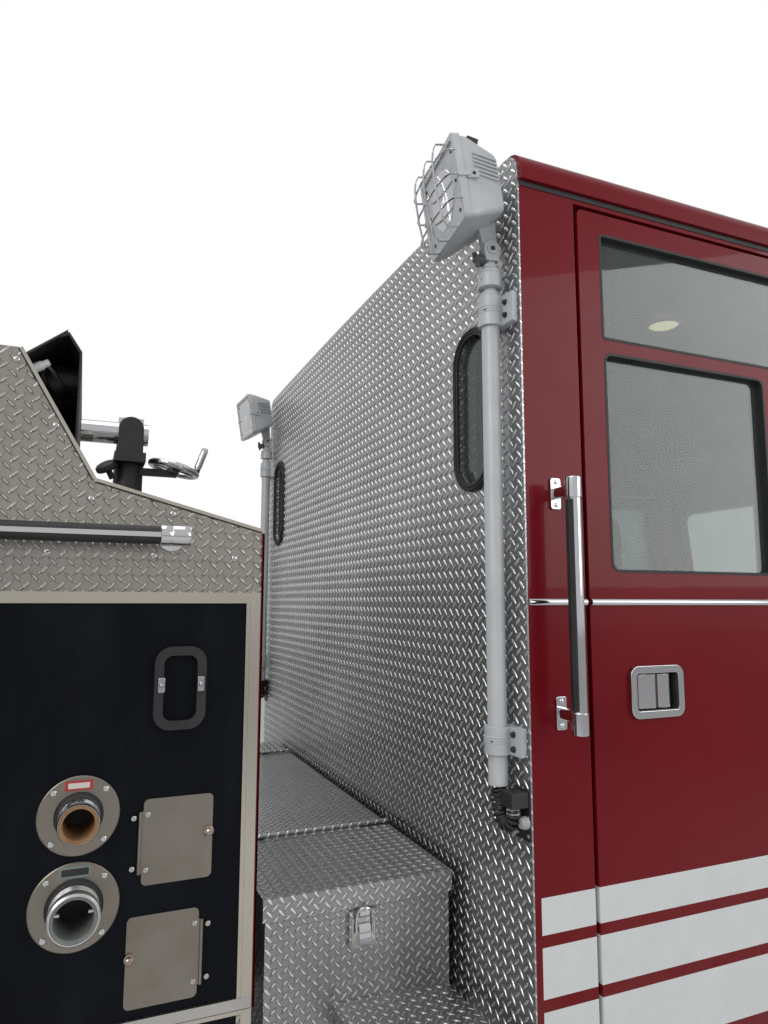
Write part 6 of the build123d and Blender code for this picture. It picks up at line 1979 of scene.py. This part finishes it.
@dataclass
class DeckGun:
    """Serrated knob, hand wheel and stub handle of the deck gun."""

    wheel: Point = (0.573, -0.020, 2.230)

    def build(self) -> None:
        """Wheel rim with grips, spokes, the upright handle and the round knob."""
        axis = Vector((0.25, 0.0, 1.0)).normalized()
        centre = Vector(self.wheel)
        side = axis.orthogonal().normalized()
        other = axis.cross(side)
        pen = Pen().use(CHROME)
        turns = [2 * math.pi * i / 48 for i in range(48)]
        ring = [tuple(centre + (side * math.cos(a) + other * math.sin(a)) * 0.079) for a in turns]
        pen.wire(ring, 0.0112, 14, 0, True)
        for i in range(3):
            angle = 2 * math.pi * i / 3 + 0.5
            reach = side * math.cos(angle) + other * math.sin(angle)
            pen.rod(tuple(centre + reach * 0.014), tuple(centre + reach * 0.074), 0.0068, 14)
        pen.use(MACHINERY).turned([(0.021, -0.016), (0.021, 0.010), (0.016, 0.014), (0.008, 0.015),
                                   (0.008, 0.020), (0.0, 0.021)],
                                  tuple(centre), tuple(axis), 26)
        grip = centre + Vector((0.079, 0.0, 0.0))
        pen.use(CHROME).turned([(0.0098, 0.0), (0.0125, 0.010), (0.0125, 0.074), (0.0105, 0.084),
                                (0.0, 0.086)], tuple(grip + axis * 0.002), (0.35, 0, 1), 20)
        pen.build("gun_wheel", "deck_gun_swivel", 0.0)
        knob = Pen().use(RUBBER)
        rings = []
        for height, radius in ((0.0, 0.010), (0.026, 0.010), (0.030, 0.030), (0.036, 0.037), (0.050, 0.037),
                               (0.058, 0.028), (0.062, 0.012)):
            ring = []
            for i in range(36):
                reach = radius - (0.0022 if i % 2 and radius > 0.03 else 0.0)
                angle = 2 * math.pi * i / 36
                ring.append((reach * math.cos(angle), reach * math.sin(angle), height))
            rings.append(ring)
        tilt = Matrix.Translation((0.372, -0.045, 2.178)) @ Matrix.Rotation(math.radians(-28), 4, "Y")
        tilt = tilt @ Matrix.Rotation(math.radians(14), 4, "X")
        knob.loops([[tuple(tilt @ Vector(p)) for p in ring] for ring in rings])
        knob.build("gun_knob", "deck_gun_swivel", 0.0)


@dataclass
class WheelDress:
    """Treaded tyres and wheel nuts of one wheel body.

    Attributes:
        word: Name used in pieces.
        body: The CAD body that turns.
        node: The CAD node of the tyres.
        x: The axle's place.
        centres: Middle of each tyre, away from the truck's middle.
        width: Tyre's width.
        face: Where the wheel's outer face carries its nuts, past the outer tyre's middle.
        reach: Radius of the nuts' circle.
        rubber: Tyre's finish.
    """

    word: str
    body: str
    node: str
    x: float
    centres: Flat
    width: float
    face: float
    reach: float
    rubber: Finish

    def profile(self) -> list[Flat]:
        """Closed section of the tyre: bead, wall rings, shoulder and tread base.

        Returns:
            Radius and place along the axle of each corner.
        """
        w = self.width / 2
        half = [(0.2865, w - 0.030), (0.296, w - 0.014), (0.318, w - 0.008), (0.321, w - 0.0045),
                (0.332, w - 0.0045), (0.335, w - 0.007), (0.385, w - 0.001), (0.440, w),
                (0.444, w + 0.0015), (0.456, w + 0.001), (0.459, w - 0.002), (0.492, w - 0.008),
                (0.511, w - 0.013), (0.519, w - 0.020), (0.5225, w - 0.034)]
        inner = [(0.500, w - 0.040), (0.440, w - 0.022), (0.330, w - 0.030)]
        outer = half + [(radius, -y) for radius, y in reversed(half)]
        return outer + [(radius, -y) for radius, y in reversed(inner)] + inner

    def build(self, side: Side) -> None:
        """Tyres, tread blocks and nuts.

        Args:
            side: Side of the truck.
        """
        out = side.value
        pen = Pen().use(self.rubber)
        for centre in self.centres:
            pen.turned(self.profile(), (self.x, out * centre, L.tyre_radius), (0, 1, 0), 96, True)
        pen.build(f"{self.word}_tyre_{side.word}", self.body, 0.0, 30, replaces=(self.node,), slot="tyre")
        spots = []
        rows, count, foot = 5, 66, 0.5205
        spread = self.width - 0.046
        for centre in self.centres:
            for row in range(rows):
                y = out * centre + (row - (rows - 1) / 2) * spread / rows
                for step in range(count):
                    angle = 2 * math.pi * (step + (row % 2) / 2) / count
                    way = (math.cos(angle), 0.0, math.sin(angle))
                    spots.append(((self.x + way[0] * foot, y, L.tyre_radius + way[2] * foot), way))
        across = spread / rows / 2 - 0.0035
        outline = [(-0.0215, -across), (0.0185, -across), (0.0215, across), (-0.0185, across)]
        block = Pen().prism(outline, "z", (0.0, 0.0142))
        TREADS.place(f"{self.word}_tread_{side.word}", self.body, block, self.rubber, spots)
        face = out * (self.centres[0] + self.face)
        nuts = [((self.x + self.reach * math.cos(2 * math.pi * i / 10), face,
                  L.tyre_radius + self.reach * math.sin(2 * math.pi * i / 10)), (0, out, 0))
                  for i in range(10)]
        screws(f"{self.word}_nuts_{side.word}", self.body, hexagon(0.032, 0.024), CHROME, nuts, 1.0)


@dataclass
class Seat:
    """One seat: painted box, padded cushion and padded back.

    Attributes:
        word: Name used in pieces.
        front: Place of the cushion's front edge.
        y: Middle of the seat.
        floor: Height that it stands on.
    """

    word: str
    front: float
    y: float
    floor: float

    @staticmethod
    def pad(name: str, low: Point, high: Point, crown: int, seam: int) -> None:
        """Stuffed piece with round edges, a crowned side and two stitched channels.

        Args:
            name: The piece's name.
            low: Lowest corner.
            high: Highest corner.
            crown: Index of the axis that the crown swells along.
            seam: Index of the axis that the channels are spread along.
        """
        mesh = bmesh.new()
        bmesh.ops.create_cube(mesh, size=2.0)
        bmesh.ops.subdivide_edges(mesh, edges=mesh.edges, cuts=15, use_grid_fill=True)
        middle = [(a + b) / 2 for a, b in zip(low, high)]
        half = [(b - a) / 2 for a, b in zip(low, high)]
        other = 3 - crown - seam
        for vert in mesh.verts:
            p = vert.co.copy()
            norm = sum(abs(c) ** 7 for c in p) ** (1 / 7)
            q = [c / norm for c in p]
            groove = sum(math.exp(-((q[seam] - at) / 0.035) ** 2) for at in (-0.42, 0.42))
            if q[crown] > 0.5:
                q[crown] *= 0.86 + 0.14 * (1 - q[seam] ** 4) * (1 - q[other] ** 4) - 0.10 * groove
            vert.co = [m + c * h for m, c, h in zip(middle, q, half)]
        data = bpy.data.meshes.new(name)
        mesh.to_mesh(data)
        mesh.free()
        data.shade_smooth()
        data.materials.append(SEAT_CLOTH.material())
        piece = bpy.data.objects.new(name, data)
        bpy.context.scene.collection.objects.link(piece)
        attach(piece, "cab")
        LOG.info("%s on cab", name)

    def build(self, pen: Pen) -> None:
        """Pads as pieces of their own, the box and piping in the shared pen.

        Args:
            pen: Where the box and the piping are drawn.
        """
        x, y, z = self.front, self.y, self.floor
        self.pad(f"seat_cushion_{self.word}", (x - 0.485, y - 0.238, z + 0.243),
                 (x - 0.002, y + 0.238, z + 0.358), 2, 1)
        self.pad(f"seat_back_{self.word}", (x - 0.488, y - 0.223, z + 0.362),
                 (x - 0.388, y + 0.223, z + 1.038), 0, 1)
        pen.use(BLACK_PAINT).box((x - 0.440, y - 0.210, z + 0.0002), (x - 0.030, y + 0.210, z + 0.240))
        pen.use(GREY_TRIM).box((x - 0.4895, y - 0.205, z + 0.40), (x - 0.4885, y + 0.205, z + 1.0))


@dataclass
class CabInside:
    """Seats and the lit ceiling lamp."""

    # Columns: name, front edge x, y, floor height
    seats: tuple = (("driver", 3.480, 0.780, 1.210), ("officer", 3.480, -0.780, 1.210),
                    ("crew_left", 1.800, 0.700, 1.060), ("crew_middle", 1.800, 0.0, 1.060),
                    ("crew_right", 1.800, -0.700, 1.060))

    def build(self) -> None:
        """All of it."""
        pen = Pen()
        for word, x, y, floor in self.seats:
            Seat(word, x, y, floor).build(pen)
        pen.build("seat_boxes", "cab", 0.004, replaces=("seats",), slot="seat_cover")
        lamp = Pen().use(CHROME)
        place = (2.291, -0.597, 2.8265)
        lamp.turned([(0.062, 0.0), (0.066, 0.004), (0.064, 0.010), (0.054, 0.013), (0.052, 0.009),
                     (0.052, 0.0)], place, (0, 0, -1), 40, True)
        lamp.use(DOME_GLOW).turned([(0.0515, 0.001), (0.0515, 0.008), (0.040, 0.016), (0.020, 0.020),
                                    (0.0, 0.021)], place, (0, 0, -1), 32)
        lamp.build("ceiling_lamp", "cab")


@dataclass
class CabFront:
    """Lamp lenses, rims, wipers and the light bar's modules."""

    def build(self) -> None:
        """All of it."""
        pen = Pen()
        for side in Side:
            for y in (0.650, 0.880):
                place = (4.2643, side.value * y, 1.120)
                pen.use(CHROME).turned([(0.0885, -0.012), (0.096, -0.010), (0.096, 0.002), (0.089, 0.007),
                                        (0.083, 0.004), (0.083, 0.0), (0.0885, -0.006)],
                                       place, (1, 0, 0), 48, True)
                pen.use(CLEAR_LENS).turned([(0.0828, 0.0002), (0.0828, 0.003), (0.060, 0.009), (0.030, 0.012),
                                            (0.0, 0.013)], place, (1, 0, 0), 40)
            low, high = sorted((side.value * 0.526, side.value * 1.004))
            pen.use(RED_LENS)
            for count in range(3):
                step = (high - low) / 3
                pen.prism(rounded((low + count * step + 0.004, 1.296),
                                  (low + (count + 1) * step - 0.004, 1.394), 0.012), "x", (4.2604, 4.268))
            self.wiper(pen, side.value)
        pen.build("front_lamps", "cab", 0.0015)
        bar = Pen()
        for count in range(7):
            low = -0.752 + count * 0.215
            bar.use(CLEAR_LENS if count == 3 else RED_LENS)
            rings = []
            for y, inset in ((low, 0.004), (low + 0.006, 0.0), (low + 0.205, 0.0), (low + 0.211, 0.004)):
                rings.append([(x, y, z) for x, z in rounded((3.6975 + inset, 2.672),
                    (3.9625 - inset, 2.7485 - inset), 0.036)])
            bar.loops(rings)
        bar.build("light_bar_lenses", "cab", 0.001)

    @staticmethod
    def wiper(pen: Pen, out: float) -> None:
        """Arm and blade resting low on one half of the windscreen.

        Args:
            pen: Where it is drawn.
            out: 1 on the left, -1 on the right.
        """
        rake, foot, pivot = 0.11368, 1.5, out * 0.30

        def front(z: float) -> float:
            """Place of the raked screen at a height."""
            return L.cab_front - rake * max(z - foot, 0.0)

        pen.use(BLACK_PAINT).turned([(0.018, -0.002), (0.018, 0.014), (0.012, 0.020)],
                                    (front(1.525), pivot, 1.525), (1, 0, 0.1), 18)
        pen.wire([(front(1.53) + 0.014, pivot, 1.530), (front(1.60) + 0.016, out * 0.36, 1.60),
                  (front(1.66) + 0.012, out * 0.62, 1.66)], 0.006, 8, 2)
        pen.use(RUBBER).wire([(front(1.605) + 0.005, pivot, 1.605), (front(1.66) + 0.008, out * 0.62, 1.66),
                              (front(1.70) + 0.005, out * 0.95, 1.70)], 0.0055, 8, 1)


@dataclass
class BodyTrim:
    """Lamp rims, door bars and drip strips of the body, and the left panel's gauges and knobs."""

    # Columns: x, radius
    dials: tuple[Flat, ...] = ((0.120, 0.075), (0.320, 0.075), (-0.380, 0.042), (-0.250, 0.042),
                               (-0.120, 0.042))
    dial_z: float = 1.640

    def gauges(self) -> None:
        """Rims, pale faces, ticks and needles without figures."""
        pen, ticks = Pen(), []
        y = 1.2385
        for x, radius in self.dials:
            pen.use(CHROME).turned([(radius - 0.007, 0.0), (radius + 0.001, 0.0), (radius + 0.001, 0.004),
                                    (radius - 0.003, 0.007), (radius - 0.007, 0.005)],
                                   (x, y, self.dial_z), (0, 1, 0), 48, True)
            pen.use(WHITE).rod((x, y, self.dial_z), (x, y + 0.0012, self.dial_z), radius - 0.0065, 40)
            pen.use(BLACK_PAINT).turned([(radius * 0.09, 0.001), (radius * 0.09, 0.004), (0.0, 0.0045)],
                                        (x, y, self.dial_z), (0, 1, 0), 16)
            angle = 2.3
            tip = (x + math.cos(angle) * radius * 0.72, y + 0.0026,
                   self.dial_z + math.sin(angle) * radius * 0.72)
            pen.wire([(x, y + 0.0026, self.dial_z), tip], 0.0011, 6)
            for step in range(11):
                turn = math.radians(225 - 27 * step)
                ticks.append(((x + math.cos(turn) * radius * 0.8, y + 0.0010,
                               self.dial_z + math.sin(turn) * radius * 0.8), (0, 1, 0)))
        for count in range(6):
            x = -0.400 + 0.120 * count
            pen.use(CHROME).box((x - 0.037, 1.2915, 1.4585), (x + 0.037, 1.2935, 1.4815))
            pen.use(RED if count % 2 else BLACK_PAINT)
            pen.rod((x - 0.042, 1.279, 1.470), (x + 0.042, 1.279, 1.470), 0.0172, 20, 0.003)
        pen.build("gauge_faces", "chassis")
        screws("gauge_ticks", "chassis", dome(0.0016, 0.0006), BLACK_PAINT, ticks)

    def lamps(self) -> None:
        """Bright rims of the tail lamps and clear lenses in the lowest ones."""
        pen = Pen()
        for side in Side:
            low, high = sorted((side.value * 0.950, side.value * 1.150))
            for count in range(3):
                z = 1.000 + 0.130 * count
                pen.use(CHROME).rim(rounded((low - 0.007, z - 0.007), (high + 0.007, z + 0.112), 0.012),
                                    rounded((low + 0.004, z + 0.004), (high - 0.004, z + 0.101), 0.008), "x",
                                    (-4.4835, -4.4505))
                lens = (CLEAR_LENS, AMBER_LENS, RED_LENS)[count]
                pen.use(lens).prism(rounded((low + 0.0045, z + 0.0045), (high - 0.0045, z + 0.1005), 0.008),
                                    "x", (-4.4822, -4.4802))
            place = (-4.4955, side.value * 1.080, 2.080)
            pen.use(RED_LENS).turned([(0.089, 0.0), (0.086, 0.008), (0.060, 0.022), (0.0, 0.030)], place,
                                     (-1, 0, 0), 40)
        pen.build("tail_lamps", "chassis", 0.001)

    def doors(self) -> None:
        """Bottom bars, lift handles and drip strips of the roll-up doors."""
        pen = Pen()
        # Columns: rear x, front x, low z
        openings = ((-1.380, -0.600, 0.610), (-2.620, -1.420, 1.250), (-4.390, -2.660, 0.610))
        for side in Side:
            out = side.value
            for rear, front, low in openings:
                pen.use(TRIM_STEEL).box((rear + 0.012, out * 1.2013, low + 0.012),
                                        (front - 0.012, out * 1.209, low + 0.062))
                pen.use(CHROME).rod((rear + 0.10, out * 1.216, low + 0.040),
                                    (front - 0.10, out * 1.216, low + 0.040), 0.0075, 16, 0.001)
                for x in (rear + 0.14, (rear + front) / 2, front - 0.14):
                    pen.rod((x, out * 1.208, low + 0.040), (x, out * 1.216, low + 0.040), 0.005, 10)
                pen.use(TRIM_STEEL).box((rear - 0.010, out * (L.half + 0.0002), 2.072),
                                        (front + 0.010, out * (L.half + 0.012), 2.082))
        pen.build("door_bars", "chassis", 0.0015)

    def build(self) -> None:
        """All of it."""
        self.gauges()
        self.lamps()
        self.doors()


@dataclass
class TreadLugs:
    """Raised lugs of the tread plate, in the same two lattices as its finish.

    Attributes:
        height: How far a lug stands out.
    """

    height: float = 0.0017

    # Columns: node, body, plate, axis that the sheet faces along, its direction, lowest height
    sheets: tuple = (
        ("cab_rear_wall", "cab", TREAD, 0, -1, 0.0),
        ("pump_house", "chassis", WARM_TREAD, 1, -1, 1.790),
        ("pump_house", "chassis", WARM_TREAD, 1, 1, 1.790),
        ("crosswise_box", "chassis", FINE_TREAD, 1, -1, 0.0),
        ("crosswise_box", "chassis", FINE_TREAD, 1, 1, 0.0),
        ("box_lid_left", "box_lid_left", FINE_TREAD, 2, 1, 0.0),
        ("box_lid_right", "box_lid_right", FINE_TREAD, 2, 1, 0.0),
        ("tread_plate_steps", "chassis", FINE_TREAD, 2, 1, 0.0),
    )

    def lug(self, plate: TreadPlate, rising: bool) -> Pen:
        """One lug as a low closed block with sloping ends.

        Args:
            plate: The sheet's finish.
            rising: Which way the lug leans.

        Returns:
            The lug, standing on its origin.
        """
        long, wide = plate.lug
        rings = []
        for share, level in ((0.97, -0.0003), (0.62, self.height)):
            ring = []
            for step in range(6):
                a = long * share * math.cos(math.pi * step / 3)
                b = wide * (share * 1.1) * math.sin(math.pi * step / 3)
                x, y = (a - b) * DIAGONAL, (a + b) * DIAGONAL
                ring.append((x, y if rising else -y, level))
            rings.append(ring if rising else ring[::-1])
        pen = Pen()
        pen.loops(rings)
        return pen

    def spots(self, node: str, plate: TreadPlate, axis: int, sign: int, low_z: float,
              shift: float) -> list[tuple[Point, Point]]:
        """Places of one lattice's lugs where the sheet is flat under the whole lug.

        Args:
            node: The CAD node that is the sheet.
            plate: The sheet's finish.
            axis: Index of the axis that the sheet faces along.
            sign: Its direction.
            low_z: Height below which no lug is set.
            shift: The lattice's shift, none or half a cell.

        Returns:
            Point and facing of each lug.
        """
        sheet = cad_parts[node]
        low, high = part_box(node)
        u, v = [i for i in range(3) if i != axis]
        facing = tuple(float(sign) if i == axis else 0.0 for i in range(3))
        start = (high[axis] if sign > 0 else low[axis]) + sign * 0.05
        lean = -DIAGONAL if shift else DIAGONAL
        long, wide = plate.lug
        probes = [(0.0, 0.0)]
        for reach in (long, -long):
            probes.append((reach * DIAGONAL, reach * lean))
        for reach in (2.2 * wide, -2.2 * wide):
            probes.append((-reach * lean, reach * DIAGONAL))
        spots = []
        for i in range(math.floor(low[u] / plate.pitch) - 1, math.ceil(high[u] / plate.pitch) + 2):
            for j in range(math.floor(low[v] / plate.pitch) - 1, math.ceil(high[v] / plate.pitch) + 2):
                middle = [start, start, start]
                middle[u], middle[v] = (i + 0.5 - shift) * plate.pitch, (j + 0.5 - shift) * plate.pitch
                if middle[2] < low_z:
                    continue
                depths = []
                for du, dv in probes:
                    origin = list(middle)
                    origin[u] += du
                    origin[v] += dv
                    hit, place, normal, _ = sheet.ray_cast(origin, [-c for c in facing])
                    if not hit or normal[axis] * sign < 0.995:
                        break
                    depths.append(place[axis])
                if len(depths) == len(probes) and max(depths) - min(depths) < 0.0004:
                    middle[axis] = depths[0]
                    spots.append((tuple(middle), facing))
        return spots

    def build(self) -> None:
        """Lugs of every sheet, one piece for each lattice."""
        for node, body, plate, axis, sign, low_z in self.sheets:
            way = "front" if sign > 0 else "back"
            for shift, word in ((0.0, "rising"), (0.5, "falling")):
                spots = self.spots(node, plate, axis, sign, low_z, shift)
                rising = (shift == 0.0) != (axis < 2 and sign > 0)
                REPEAT.place(f"lugs_{node}_{way}_{word}", body, self.lug(plate, rising), plate, spots)


# Whole truck


def finish_nodes() -> None:
    """Give every CAD node its procedural finish."""
    for name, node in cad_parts.items():
        base = name.removesuffix("_left").removesuffix("_right")
        finish = NODE_FINISH.get(name) or PAIR_FINISH[base]
        node.data.materials.clear()
        node.data.materials.append(finish.material())


REPEAT = Repeater()
TREADS = Repeater("Y")


def main() -> None:
    """Build the view, the cords, the studio and every assembly."""
    logging.basicConfig(level=logging.INFO, format="%(name)s: %(message)s")
    bpy.context.scene.view_settings.view_transform = "Standard"
    PhotoView().build()
    Studio().build()
    finish_nodes()
    for side in Side:
        CurlyCord(side).build()
        CabSide(side).build()
        Floodlight(side, guarded=side is Side.RIGHT).build()
    CabWall().build()
    RailsAndMirrors().build()
    PoleMounts().build()
    CrosswiseBox().build()
    PumpHouse().build()
    DeckGun().build()
    AccessDoors().build()
    TreadLugs().build()
    CabInside().build()
    CabFront().build()
    BodyTrim().build()
    for side in Side:
        WheelDress("front", f"front_wheel_{side.word}", f"front_tyre_{side.word}", L.front_axle, (1.045,),
                   0.300, -0.004, 0.145, FRONT_RUBBER).build(side)
        WheelDress("rear", f"rear_wheels_{side.word}", f"rear_tyres_{side.word}", L.rear_axle, (1.064, 0.744),
                   0.276, 0.0266, 0.150, REAR_RUBBER).build(side)


if __name__ == "__main__":
    main()
